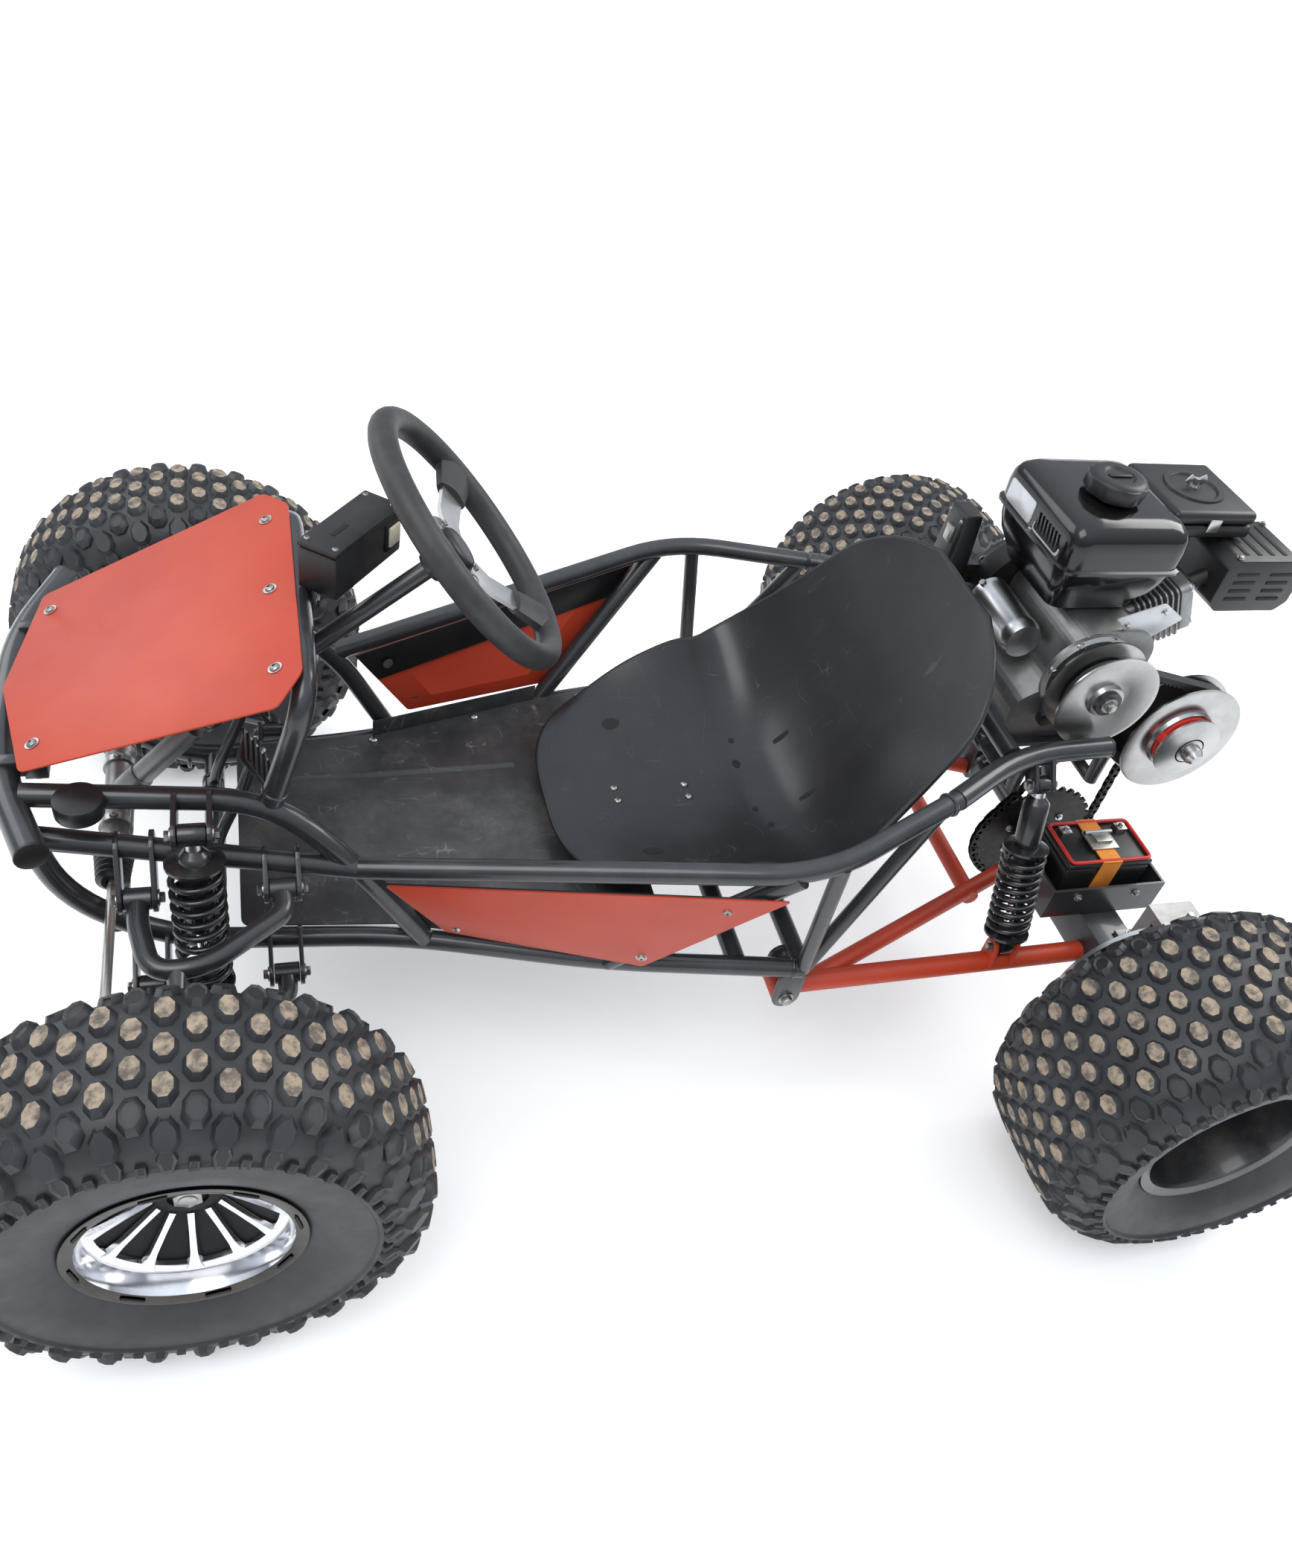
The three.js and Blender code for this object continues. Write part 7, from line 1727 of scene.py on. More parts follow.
@dataclass(frozen=True)
class Wheel:
    """One size of knobbly tyre on its rim."""

    name: str
    radius: float
    width: float
    centre: Point
    rows: tuple[float, ...]
    around: int
    knob: tuple[float, float]
    disc: tuple[float, float]
    hub_inner: float
    bead: float = 104.0
    flange: float = 113.0

    def build(self, side: Side, body: str) -> None:
        """Make the tyre and the rim of one side.

        Args:
            side: The side of the kart.
            body: The CAD body that it rides on.
        """
        self.tyre(side, body)
        if self.name == "front":
            self.bright_rim(side, body)
        else:
            self.black_rim(side, body)

    def place(self, side: Side) -> Vector:
        """The wheel's middle."""
        x, y, z = self.centre
        return spot(x, y * side.value, z)

    def tyre(self, side: Side, body: str) -> None:
        """Make the carcass and its staggered knobs and side lugs.

        Args:
            side: The side of the kart.
            body: The CAD body that it rides on.
        """
        mould = Mould(f"{self.name}_tyre_tread_{side.tag}")
        half, rise = self.width / 2, self.radius - self.bead
        tall = 6.0
        crown = self.radius - tall
        right = [
            (self.bead + 2.5, half * 0.68), (self.bead + rise * 0.05, half * BEAD_SHARE),
            (self.bead + rise * 0.14, half * 0.8), (self.bead + rise * 0.26, half * 0.9),
            (self.bead + rise * 0.40, half * 0.955), (self.bead + rise * 0.53, half * 0.965),
            (self.bead + rise * 0.545, half * 0.992), (self.bead + rise * 0.575, half * 0.992),
            (self.bead + rise * 0.59, half * 0.955), (self.bead + rise * 0.72, half * 0.915),
            (self.bead + rise * 0.81, half * 0.82), (crown - 5.5, half * 0.64), (crown - 1.6, half * 0.4),
            (crown, half * 0.14),
        ]
        outer = right + [(r, -d) for r, d in right[::-1]]
        inner = [(self.bead + 2.5, -half * 0.6), (self.bead + rise * 0.7, -half * 0.8),
                 (self.bead + rise * 0.7, half * 0.8), (self.bead + 2.5, half * 0.6)]
        mould.lathe(outer + inner, Vector(), Y_AXIS, 96)
        made = set(mould.bm.verts)
        pitch = 2 * math.pi / self.around
        for i, row in enumerate((-0.84, *self.rows, 0.84)):
            self.tread_knob(mould, row * half, pitch / 2 if i % 2 else 0.0, crown, tall)
        for sign in (-1, 1):
            self.shoulder_lugs(mould, sign, pitch, half, rise)
        knobs = [v for v in mould.bm.verts if v not in made]
        geom = knobs + list(mould.edges(knobs)) + list(mould.faces(knobs))
        bmesh.ops.spin(
            mould.bm, geom=geom, cent=(0, 0, 0), axis=Y_AXIS, dvec=(0, 0, 0),
            angle=2 * math.pi - pitch, steps=self.around - 1, use_duplicate=True, use_merge=False,
        )
        bmesh.ops.transform(mould.bm, matrix=Matrix.Translation(self.place(side)), verts=mould.bm.verts)
        mould.finish(
            body, "tyre_rubber", (TYRE_RUBBER, KNOB_DUST, KNOB_GREY),
            (f"{self.name}_tyre_{side.tag}",), 34.0,
        )

    def drop(self, share: float) -> float:
        """How far the crown falls away at a share of the half width, in millimetres."""
        return 9.0 * abs(share) ** 2.6 + max(abs(share) - 0.6, 0.0) * 62.0

    def tread_knob(self, mould: Mould, y: float, angle: float, crown: float, tall: float) -> None:
        """Add one tread knob, dusty on top, at an angle round the tyre.

        Args:
            mould: The piece that it goes on.
            y: Its place across the tyre, in millimetres.
            angle: Its place round the tyre.
            crown: The tread's radius under the knobs.
            tall: Its height.
        """
        share = y / (self.width / 2)
        foot = crown - self.drop(share) - 3
        long, wide = self.knob
        tilt = 24 * share * abs(share) + math.copysign(max(abs(share) - 0.6, 0.0) * 120, share)
        lean = Matrix.Rotation(math.radians(-tilt), 4, "X")
        raise_to = Matrix.Translation((0, y * MM, (foot + (tall + 3) / 2) * MM))
        stretch = Matrix.Diagonal((wide / long, 1.0, 1.0, 1.0))
        eighth_turn = Matrix.Rotation(math.pi / 8, 4, "Z")
        made = bmesh.ops.create_cone(
            mould.bm, cap_ends=True, segments=8, radius1=long / 2 * 1.2 * MM, radius2=long / 2 * 0.86 * MM,
            depth=(tall + 3) * MM,
            matrix=Matrix.Rotation(angle, 4, "Y") @ raise_to @ lean @ stretch @ eighth_turn,
        )["verts"]
        top = max(mould.faces(made), key=lambda face: face.calc_center_median().length)
        crown_row = abs(share) < 0.6
        bmesh.ops.inset_individual(mould.bm, faces=[top], thickness=0.0007, depth=0.0006)
        ring = bmesh.ops.inset_individual(
            mould.bm, faces=[top], thickness=0.0014, depth=0.0001 if crown_row else -0.0026
        )["faces"]
        top.material_index = 1 if crown_row else 0
        for face in ring:
            face.material_index = 1 if crown_row else 2

    def shoulder_lugs(self, mould: Mould, sign: int, pitch: float, half: float, rise: float) -> None:
        """Add the long pointed lug and the short square lug of one pitch on a shoulder.

        Args:
            mould: The piece that it goes on.
            sign: 1 or -1, for the shoulder.
            pitch: The angle from knob to knob.
            half: Half of the tyre's width.
            rise: The side wall's height.
        """
        for turn, sides, share, long, wide, out in (
            (0.0, 6, 0.66, 30.0, 18.0, 0.93), (pitch / 2, 4, 0.6, 15.0, 13.0, 0.955),
        ):
            radius = self.bead + rise * share
            lean = Matrix.Rotation(-sign * math.radians(64), 4, "X")
            place = Matrix.Translation((0, sign * half * out * MM, radius * MM))
            stretch = Matrix.Diagonal((wide / long, 1.0, 1.0, 1.0))
            spin = Matrix.Rotation(math.pi / 4 if sides == 4 else math.pi / 2, 4, "Z")
            made = bmesh.ops.create_cone(
                mould.bm, cap_ends=True, segments=sides, radius1=long / 2 * 1.16 * MM,
                radius2=long / 2 * 0.9 * MM, depth=0.011,
                matrix=Matrix.Rotation(turn, 4, "Y") @ place @ lean @ stretch @ spin,
            )["verts"]
            middles = {face: face.calc_center_median() for face in mould.faces(made)}
            far = max(middles, key=lambda face: abs(middles[face].y) + middles[face].z)
            ring = bmesh.ops.inset_individual(mould.bm, faces=[far], thickness=0.0026, depth=-0.0016)["faces"]
            for face in ring:
                face.material_index = 2

    def barrel(self, mould: Mould, centre: Vector, out: Vector, lip: int) -> None:
        """Add the rim's turned barrel, open at its outer side, with both flanges.

        Args:
            mould: The piece that it goes on.
            centre: The wheel's middle.
            out: The outward direction.
            lip: The outer flange's material slot.
        """
        reach = self.width / 2 * BEAD_SHARE + 4.4
        well, face = 92.0, self.disc[1]
        mould.lathe(
            [(self.flange, reach), (self.flange - 2.5, reach), (100, reach - 3), (97, reach - 9),
             (well, face + 16), (well - 2, face), (well - 2, -reach + 14), (100, -reach + 4),
             (self.flange - 3, -reach), (self.flange, -reach), (self.flange, -reach + 4.2),
             (103.6, -reach + 4.6), (103.6, -reach + 20), (96.5, -reach + 24), (well + 1.6, face - 8),
             (well + 3.6, face + 14), (96.5, reach - 24), (103.6, reach - 20), (103.6, reach - 4.6),
             (self.flange, reach - 4.2)],
            centre, out, 72, inks=(lip, lip, 2, 2, 2),
        )

    def bright_rim(self, side: Side, body: str) -> None:
        """Make the front rim: dark chrome flange, polished lip, narrow spokes over black pockets.

        Args:
            side: The side of the kart.
            body: The CAD body that it rides on.
        """
        mould = Mould(f"{self.name}_rim_alloy_{side.tag}")
        centre, out = self.place(side), Y_AXIS * side.value
        self.barrel(mould, centre, out, 1)
        inner, face = self.disc
        mould.lathe(
            [(30, inner), (91, inner), (94, face + 27), (90, face + 27), (30, face - 3)],
            centre, out, 60, ink=3,
        )
        mould.lathe(
            [(86, face + 26), (95, face + 30), (95.5, face + 36), (92, face + 35.5), (86, face + 31.5)],
            centre, out, 60, ink=2,
        )
        mould.lathe(
            [(10.6, self.hub_inner), (29, self.hub_inner), (29.6, inner), (36, face - 3), (36, face - 1),
             (31, face + 3), (23, face + 4.5), (20, face + 4.5), (20, face), (10.6, face)],
            centre, out, 48, ink=3,
        )
        for t in ring_of(12):
            way = Matrix.Rotation(t, 4, Y_AXIS) @ X_AXIS
            side_way = out.cross(way) * MM
            placed = []
            for reach, wide, lift in (
                (33, 4.6, 2), (52, 4.2, 12), (74, 4.8, 24), (85, 7.5, 30), (91, 12.5, 33)
            ):
                at = centre + way * reach * MM + out * (face + lift) * MM
                placed.append(placement_of(side_way * wide, out * 0.0028, way, at))
            mould.loft([(-1, -1, 0), (1, -1, 0), (0.72, 1, 0), (-0.72, 1, 0)], placed, ink=2)
        for t in ring_of(8, 0.2):
            way = Matrix.Rotation(t, 4, Y_AXIS) @ X_AXIS
            at = centre + way * 0.1052 + out * (self.width / 2 * BEAD_SHARE + 4.2) * MM
            turn = Matrix.Rotation(t, 4, Y_AXIS)
            size = Vector((0.0018, 0.0009, 0.013))
            mould.slab(at - size, at + size, 0.0008, 3, turn)
        valve = centre + Z_AXIS * 0.091 + out * (face + 14) * MM
        mould.tube(
            [valve, valve + out * 0.012 - Z_AXIS * 0.004, valve + out * 0.026 - Z_AXIS * 0.012],
            0.003, 0.004, 10, ink=3,
        )
        mould.finish(
            body, "wheel_alloy", (DARK_CHROME, DARK_CHROME, POLISHED_LIP, BLACK_AND_PAINTED_SHADE),
            (f"{self.name}_rim_{side.tag}",), 32.0,
        )

    def black_rim(self, side: Side, body: str) -> None:
        """Make the rear rim: black, with a deep opening and a bolted face.

        Args:
            side: The side of the kart.
            body: The CAD body that it rides on.
        """
        mould = Mould(f"{self.name}_rim_steel_{side.tag}")
        centre, out = self.place(side), Y_AXIS * side.value
        self.barrel(mould, centre, out, 0)
        inner, face = self.disc
        mould.lathe(
            [(15.6, inner), (91, inner), (91, face - 1), (70, face), (52, face), (46, face - 2),
             (30, face), (24, face), (24, face - 1.5), (15.6, face - 1.5)],
            centre, out, 60,
        )
        mould.lathe(
            [(15.6, self.hub_inner), (29.5, self.hub_inner), (29.5, inner + 1), (15.6, inner + 1)],
            centre, out, 36,
        )
        for t in ring_of(4, math.pi / 4):
            way = Matrix.Rotation(t, 4, Y_AXIS) @ X_AXIS
            mould.bolt(centre + way * 0.055 + out * face * MM, out, 7.0)
        mould.finish(
            body, "wheel_alloy", (RIM_BLACK, BOLT_ZINC, RIM_BLACK), (f"{self.name}_rim_{side.tag}",), 32.0
        )


FRONT_WHEEL = Wheel(
    "front", 241.5, 178.0, (1180, 455.5, 241.5), (-0.66, -0.44, -0.22, 0, 0.22, 0.44, 0.66), 28, (31.0, 23.0),
    (2.0, 10.0), -30.0,
)
REAR_WHEEL = Wheel(
    "rear", 228.5, 241.0, (0, 497.5, 228.5), (-0.7, -0.525, -0.35, -0.175, 0, 0.175, 0.35, 0.525, 0.7), 28,
    (30.0, 22.5), (-30.0, -22.0), -50.0,
)


# Rear suspension


@dataclass(frozen=True)
class RearEnd:
    """The swing arm, the axle, the brake and the battery."""

    tube: float = 14.0
    axle_z: float = 228.5

    def build(self) -> None:
        """Make all of the rear end's pieces."""
        self.arm()
        self.axle()
        self.tray()
        self.battery()
        self.caliper()
        for side in Side:
            REAR_SHOCK.build(side)

    def arm(self) -> None:
        """Make the red swing arm with its black axle housing."""
        mould = Mould("swing_arm_tubes")
        mould.rod(spot(142, -160, 208.8), spot(142, 160, 208.8), 0.0118, sides=22)
        mould.slab(spot(-29.5, -305.5, 199), spot(29.5, -87, 258), 0.003, 1)
        mould.slab(spot(-29.5, 87, 199), spot(29.5, 305.5, 258), 0.003, 1)
        for side in Side:
            m = side.value
            mould.tube(spots(flip([(470, 268, 205), (28, 272, 214)], m)), self.tube * MM, 0, 22)
            mould.tube(spots(flip([(434, 268, 205), (28, 100, 214)], m)), 0.012, 0, 20)
            mould.lathe(
                [(6.5, -17), (16.5, -17), (17.5, -16), (17.5, 16), (16.5, 17), (6.5, 17)],
                spot(470, 268 * m, 205), Y_AXIS, 32,
            )
            for y in (81, 311):
                at = spot(0, y * m, self.axle_z)
                mould.lathe(
                    [(15.8, -4.8), (32, -4.8), (33.5, -3), (33.5, 3), (32, 4.8), (15.8, 4.8)],
                    at, Y_AXIS, 40, ink=1,
                )
                for t in ring_of(4, math.pi / 4):
                    way = way_at(t)
                    out = 1 if (y > 200) == (m > 0) else -1
                    mould.bolt(at + way * 0.0255 + Y_AXIS * out * 0.0048, Y_AXIS * out, 3.4, ink=2)
            for way in (-1, 1):
                a, b = spot(158 + way * 16, 270 * m, 242), spot(158 + way * 16, 271 * m, 216)
                strap(mould, a, b, (0.0125, 0.0135), X_AXIS, 0.0048)
                mould.bolt(spot(158 + way * 18.4, 270 * m, 242), X_AXIS * way, 5.4, ink=2)
        mould.finish(
            "swing_arm_body", "panel_red", (PANEL_RED, FRAME_BLACK, BOLT_ZINC), ("swing_arm",)
        )

    def axle(self) -> None:
        """Make the axle with its flanges, nuts, sprocket and brake disc, whose drilled holes are black rods
        of painted shade.
        """
        mould = Mould("rear_axle_shaft")
        centre = spot(0, 0, self.axle_z)
        mould.rod(centre - Y_AXIS * 0.485, centre + Y_AXIS * 0.485, 0.0148, sides=32, bevel=0.0012)
        for side in Side:
            m = side.value
            out = Y_AXIS * m
            mould.lathe(
                [(14.8, 404), (20, 404), (21, 437), (30, 437.2), (30, 446.6), (14.8, 446.6)],
                centre, out, 40,
            )
            mould.rod(centre + out * 0.4762, centre + out * 0.4855, 0.0215, sides=6, bevel=0.001, ink=1)
        disc = centre + Y_AXIS * 0.333
        mould.lathe([(26, -3), (103.6, -3), (103.6, 3), (26, 3)], disc, Y_AXIS, 72, ink=1)
        # The disc's holes are not cut: short black rods fill them as painted shade.
        for ring, count in ((62, 12), (76, 12), (90, 18)):
            for t in ring_of(count, 0.13 * ring):
                way = way_at(t) * ring * MM
                mould.rod(disc + way - Y_AXIS * 0.0031, disc + way + Y_AXIS * 0.0031, 0.004, sides=12, ink=2)
        mould.lathe([(14.8, -13), (26.6, -13), (26.6, 13), (14.8, 13)], disc, Y_AXIS, 40)
        self.sprocket(mould, centre + Y_AXIS * 0.060, 92.0, 32, 5.0)
        mould.finish(
            "axle", "bright_steel", (FRAME_BLACK, BRIGHT_STEEL, BLACK_AND_PAINTED_SHADE, CHAIN_STEEL),
            ("rear_axle",),
        )

    def sprocket(self, mould: Mould, centre: Vector, radius: float, teeth: int, thickness: float) -> None:
        """Add a toothed wheel about Y with its hub.

        Args:
            mould: The piece that it goes on.
            centre: Its middle.
            radius: Its radius to the chain, in millimetres.
            teeth: How many teeth it has.
            thickness: Its thickness.
        """
        outline = []
        for t in ring_of(teeth):
            for share, reach in ((-0.36, -7.5), (-0.16, -0.6), (0.16, -0.6), (0.36, -7.5)):
                angle = t + share * 2 * math.pi / teeth
                size = (radius + reach) * MM
                outline.append(
                    centre + Vector((math.cos(angle) * size, -thickness / 2 * MM, math.sin(angle) * size))
                )
        mould.sheet(outline, thickness * MM, 0.0, 3, along=Y_AXIS)
        mould.lathe([(14.8, -9), (27, -9), (27, 9), (14.8, 9)], centre, Y_AXIS, 36)
        for t in ring_of(6, 0.3):
            way = way_at(t) * 0.046
            mould.bolt(centre + way + Y_AXIS * thickness / 2 * MM, Y_AXIS, 4.0, ink=1)

    def tray(self) -> None:
        """Make the folded tray that the battery stands in."""
        mould = Mould("battery_tray_pan")
        mould.copy_node("battery_tray")
        for x in (-40, 52):
            for y, way in ((244, 1), (128, -1)):
                mould.bolt(spot(x, y, 296), Y_AXIS * way, 4.0)
        mould.finish(
            "swing_arm_body", "frame_black", (FRAME_BLACK, BOLT_ZINC), ("battery_tray",), 32.0, 0.0012
        )

    def battery(self) -> None:
        """Make the battery case with its lid, posts, red trim and orange strap."""
        mould = Mould("battery_case")
        mould.slab(spot(-59, 148, 263.2), spot(71, 224, 328), 0.004, segments=3)
        mould.slab(spot(-60, 147, 328.5), spot(72, 225, 338), 0.003, segments=3)
        for x in (-38, 50):
            mould.slab(spot(x - 8, 158, 337), spot(x + 8, 172, 346), 0.0012, 1)
            mould.bolt(spot(x, 165, 346), Z_AXIS, 4.0, ink=1)
        edge = [(-56, 150, 341), (68, 150, 341), (68, 222, 341), (-56, 222, 341)]
        loop = round_outline(spots(edge), 0.008)
        mould.tube([*loop, loop[0]], 0.0026, 0, 10, ink=2)
        mould.slab(spot(-8, 145.4, 262), spot(22, 147.6, 342), 0.0006, 3)
        mould.slab(spot(-8, 224.4, 262), spot(22, 226.6, 342), 0.0006, 3)
        mould.slab(spot(-8, 145.4, 340), spot(22, 226.6, 342.4), 0.0006, 3)
        mould.slab(spot(-14, 170, 342), spot(28, 204, 346), 0.0015, 4)
        mould.slab(spot(-6, 178, 345), spot(20, 196, 352), 0.002, 4)
        mould.rod(spot(-14, 176, 349), spot(28, 176, 349), 0.003, sides=14, ink=1)
        mould.finish(
            "swing_arm_body", "dark_plastic",
            (DARK_PLASTIC, BRIGHT_STEEL, TRIM_RED, STRAP_ORANGE, ZINC), ("battery",),
        )

    def caliper(self) -> None:
        """Make the brake caliper over the disc, on its foot."""
        mould = Mould("brake_caliper_casting")
        mould.copy_node("brake_caliper")
        for x in (-44, -8):
            for y, way in ((358, 1), (308, -1)):
                mould.bolt(spot(x, y, 326), Y_AXIS * way, 5.0)
        mould.rod(spot(-26, 358, 332), spot(-26, 362, 332), 0.013, sides=28, bevel=0.001, ink=1)
        mould.bolt(spot(-16, 293, 269), Z_AXIS, 4.6)
        mould.rod(spot(-40, 334, 350), spot(-40, 334, 357), 0.004, sides=12, ink=1)
        mould.finish(
            "swing_arm_body", "cast_metal", (CAST_METAL, BOLT_ZINC), ("brake_caliper",), 32.0, 0.0014
        )


# Engine and drive


@dataclass(frozen=True)
class Engine:
    """The single-cylinder engine with its tank, cleaner, muffler, starter and recoil housing."""

    crank: Point = (81, 14, 560)
    lean: Point = (-0.906, 0.0, 0.423)

    def build(self) -> None:
        """Make all of the engine's pieces."""
        self.block()
        self.recoil()
        self.tank()
        self.fuel_cap()
        self.cleaner()
        self.muffler()
        self.starter()

    def block(self) -> None:
        """Make the crankcase, the finned cylinder, its head and the belt's backing plate."""
        mould = Mould("engine_casting")
        low, high = (-6, 454), (166, 624)
        shares = ((0, 0), (1, 0), (1, 0.36), (0.72, 0.53), (0.72, 0.86), (0.62, 1), (0.12, 1), (0, 0.86))
        corners = [
            spot(low[0] + (high[0] - low[0]) * a, -71.8, low[1] + (high[1] - low[1]) * b)
            for a, b in shares
        ]
        mould.sheet(round_outline(corners, 0.02), 0.1636, 0.003, along=Y_AXIS)
        mould.lathe(
            [(0, 90), (62, 90), (62, 96), (58, 100.5), (40, 100.8), (36, 101), (0, 101)],
            spot(81, 0, 560), Y_AXIS, 48, closed=False,
        )
        for t in ring_of(8, 0.2):
            way = way_at(t)
            mould.bolt(spot(81, 97, 560) + way * 0.056, Y_AXIS, 4.6)
        for x in (10, 34, 58, 112, 136):
            mould.slab(spot(x - 2, -74.5, 462), spot(x + 2, -71, 556), 0.0008)
        for x in (14, 50, 86, 122, 158):
            mould.bolt(spot(x, 30, 463), -Z_AXIS, 4.0)
        self.cylinder(mould)
        plate = stadium(spot(81, 96, 560), spot(-65, 96, 492), 0.038, 0.026, Y_AXIS)
        mould.sheet([p - Y_AXIS * 0.0049 for p in plate], 0.0098, 0.0012, 2, along=Y_AXIS)
        mould.lathe(
            [(8.6, 77), (24, 77), (25.6, 79), (25.6, 100), (20, 101), (8.6, 101)],
            spot(-65, 0, 492), Y_AXIS, 36,
        )
        mould.lathe([(10, 100), (15, 100), (15, 111), (10, 111)], spot(81, 0, 560), Y_AXIS, 30, ink=1)
        mould.rod(spot(81, 96, 560), spot(81, 150, 560), 0.0098, sides=24, bevel=0.001, ink=1)
        dip = spot(120, 99, 500)
        mould.rod(dip, dip + Y_AXIS * 0.012, 0.012, sides=18, bevel=0.002, ink=2)
        shield = spots([(20, 84, 600), (70, 84, 640), (8, 84, 664), (-30, 84, 640)])
        mould.sheet(round_outline(shield, 0.006), 0.0022, 0.0005, 3, along=Y_AXIS)
        for corner in (spot(50, 86.2, 632), spot(4, 86.2, 652), spot(14, 86.2, 610)):
            mould.bolt(corner, Y_AXIS, 3.4)
        mould.finish(
            "chassis", "cast_metal", (CAST_METAL, BRIGHT_STEEL, DARK_PLASTIC, PALE_PLATE),
            ("engine_block",), 34.0,
        )

    def cylinder(self, mould: Mould) -> None:
        """Add the leaning barrel, its fins, the head and the spark plug.

        Args:
            mould: The piece that it goes on.
        """
        axis = Vector(self.lean).normalized()
        base = spot(*self.crank)
        turn = upright(axis)

        def frame_at(distance: float, half: float, corner: float, thick: float, ink: int) -> None:
            """Add one rounded square slice across the cylinder.

            Args:
                distance: Its foot's distance from the crank, in millimetres.
                half: Half of its width.
                corner: How far its corners are rounded.
                thick: Its thickness.
                ink: Its material slot.
            """
            at = base + axis * distance * MM
            square = [Vector((x * half * MM, y * half * MM, 0)) for x, y in CORNERS]
            outline = [at + (turn @ p) for p in round_outline(square, corner * MM)]
            mould.sheet(outline, thick * MM, 0.0006, ink, along=axis)

        frame_at(78, 33, 16, 84, 0)
        for i in range(8):
            frame_at(92 + i * 7.6, 39.6, 9, 2.6, 0)
        frame_at(152, 37, 10, 14, 0)
        frame_at(166, 31, 12, 6, 0)
        for x, y in CORNERS:
            at = base + axis * 0.166 + turn @ Vector((x * 0.029, y * 0.029, 0))
            mould.bolt(at, axis, 5.0)
        plug = base + axis * 0.171
        side = turn @ Vector((0, 0, 1))
        mould.rod(plug, plug + side * 0.012, 0.0085, sides=6, ink=1)

    def recoil(self) -> None:
        """Make the fan housing with its cover, whose slots are black slabs of painted shade, its pull handle
        and the control box.
        """
        mould = Mould("recoil_cover")
        centre = spot(81, 0, 560)
        mould.lathe(
            [(0, -72.6), (77.6, -72.6), (77.6, -104), (74, -112), (60, -118), (58, -134),
             (54, -138), (20, -138.2), (0, -138.2)],
            centre, Y_AXIS, 56, closed=False,
        )
        # The cover's slots are not cut: thin black slabs stand in them as painted shade.
        for t in ring_of(20):
            way = way_at(t)
            at = centre + way * 0.042 - Y_AXIS * 0.1384
            turn = Matrix.Rotation(-t, 4, Y_AXIS)
            size = Vector((0.011, 0.0006, 0.0022))
            mould.slab(at - size, at + size, 0.0006, 2, turn)
        for t in ring_of(3, 0.5):
            way = way_at(t)
            mould.bolt(centre + way * 0.069 - Y_AXIS * 0.113, -Y_AXIS, 4.4)
        handle = spot(30, -122, 622)
        mould.tube([handle - X_AXIS * 0.022, handle + X_AXIS * 0.022], 0.0075, 0, 16)
        foot = centre + Vector((-0.03, -0.108, 0.048))
        mould.rod(handle + Y_AXIS * 0.004 - Z_AXIS * 0.008, foot, 0.006, sides=14)
        mould.finish(
            "chassis", "tank_black", (DARK_PLASTIC, BOLT_ZINC, BLACK_AND_PAINTED_SHADE), (), 34.0
        )
        box = Mould("control_box_case")
        box.slab(spot(171, -148, 546), spot(207, -96, 667.5), 0.006, taper=0.82, segments=3)
        box.slab(spot(184, -128, 620), spot(209, -112, 644), 0.002, 1)
        box.slab(spot(140, -116, 562), spot(176, -104, 592), 0.002)
        box.rod(spot(207, -120, 575), spot(212, -120, 575), 0.011, sides=26, bevel=0.001, ink=1)
        for y, z in ((-140, 556), (-104, 556), (-138, 656), (-106, 656)):
            box.dome(spot(205.5 if z < 600 else 203.5, y, z), X_AXIS, 3.2)
        box.finish("chassis", "dark_plastic", (DARK_PLASTIC, BOLT_ZINC), ("recoil_housing",), 34.0)

    def tank(self) -> None:
        """Make the pressed fuel tank with its seam, foot, neck, blank plate and dark panel."""
        mould = Mould("fuel_tank_shell")
        centre = (79.0, -22.0)

        def ring(half_x: float, half_y: float, corner: float, z: float) -> list[Vector]:
            """A rounded rectangle at a height.

            Args:
                half_x: Half of its length.
                half_y: Half of its width.
                corner: How far its corners are rounded.
                z: Its height above the ground.

            Returns:
                The outline.
            """
            cx, cy = centre
            square = [spot(cx + x * half_x, cy + y * half_y, z) for x, y in CORNERS]
            return round_outline(square, corner * MM, 6)

        levels = (
            (60, 66, 20, 628), (66, 72, 22, 642), (75, 82, 22, 660), (80, 87, 24, 678), (82, 89, 24, 693),
            (88, 95, 24, 695), (88, 95, 24, 698.5), (84.5, 91.5, 24, 700.5), (85, 92, 24, 724),
            (83.5, 90.5, 24, 738), (79, 86, 24, 748), (70, 77, 22, 755), (56, 63, 20, 758.2),
            (36, 40, 18, 759),
        )
        before = [mould.bm.verts.new(p) for p in ring(*levels[0])]
        mould.bm.faces.new(before)
        for level in levels[1:]:
            here = [mould.bm.verts.new(p) for p in ring(*level)]
            edges = [mould.bm.edges.get((a, b)) or mould.bm.edges.new((a, b))
                     for loop in (before, here) for a, b in zip(loop, [*loop[1:], loop[0]])]
            bmesh.ops.bridge_loops(mould.bm, edges=edges)
            before = here
        mould.bm.faces.new(before)
        mould.lathe(
            [(0, 755), (26, 755), (24, 757), (23.6, 764), (0, 764)], spot(84, -6, 0), Z_AXIS, 32, closed=False
        )
        mould.slab(spot(48, -60, 624.6), spot(110, 30, 634), 0.003)
        self.front_plates(mould)
        for x, y in ((-4, -22), (162, -22)):
            mould.bolt(spot(x, y, 698.6), Z_AXIS, 4.2, ink=1)
        mould.finish(
            "chassis", "tank_black", (GLOSS_BLACK, BOLT_ZINC, PALE_PLATE, BLACK_AND_PAINTED_SHADE), ("fuel_tank",), 42.0
        )

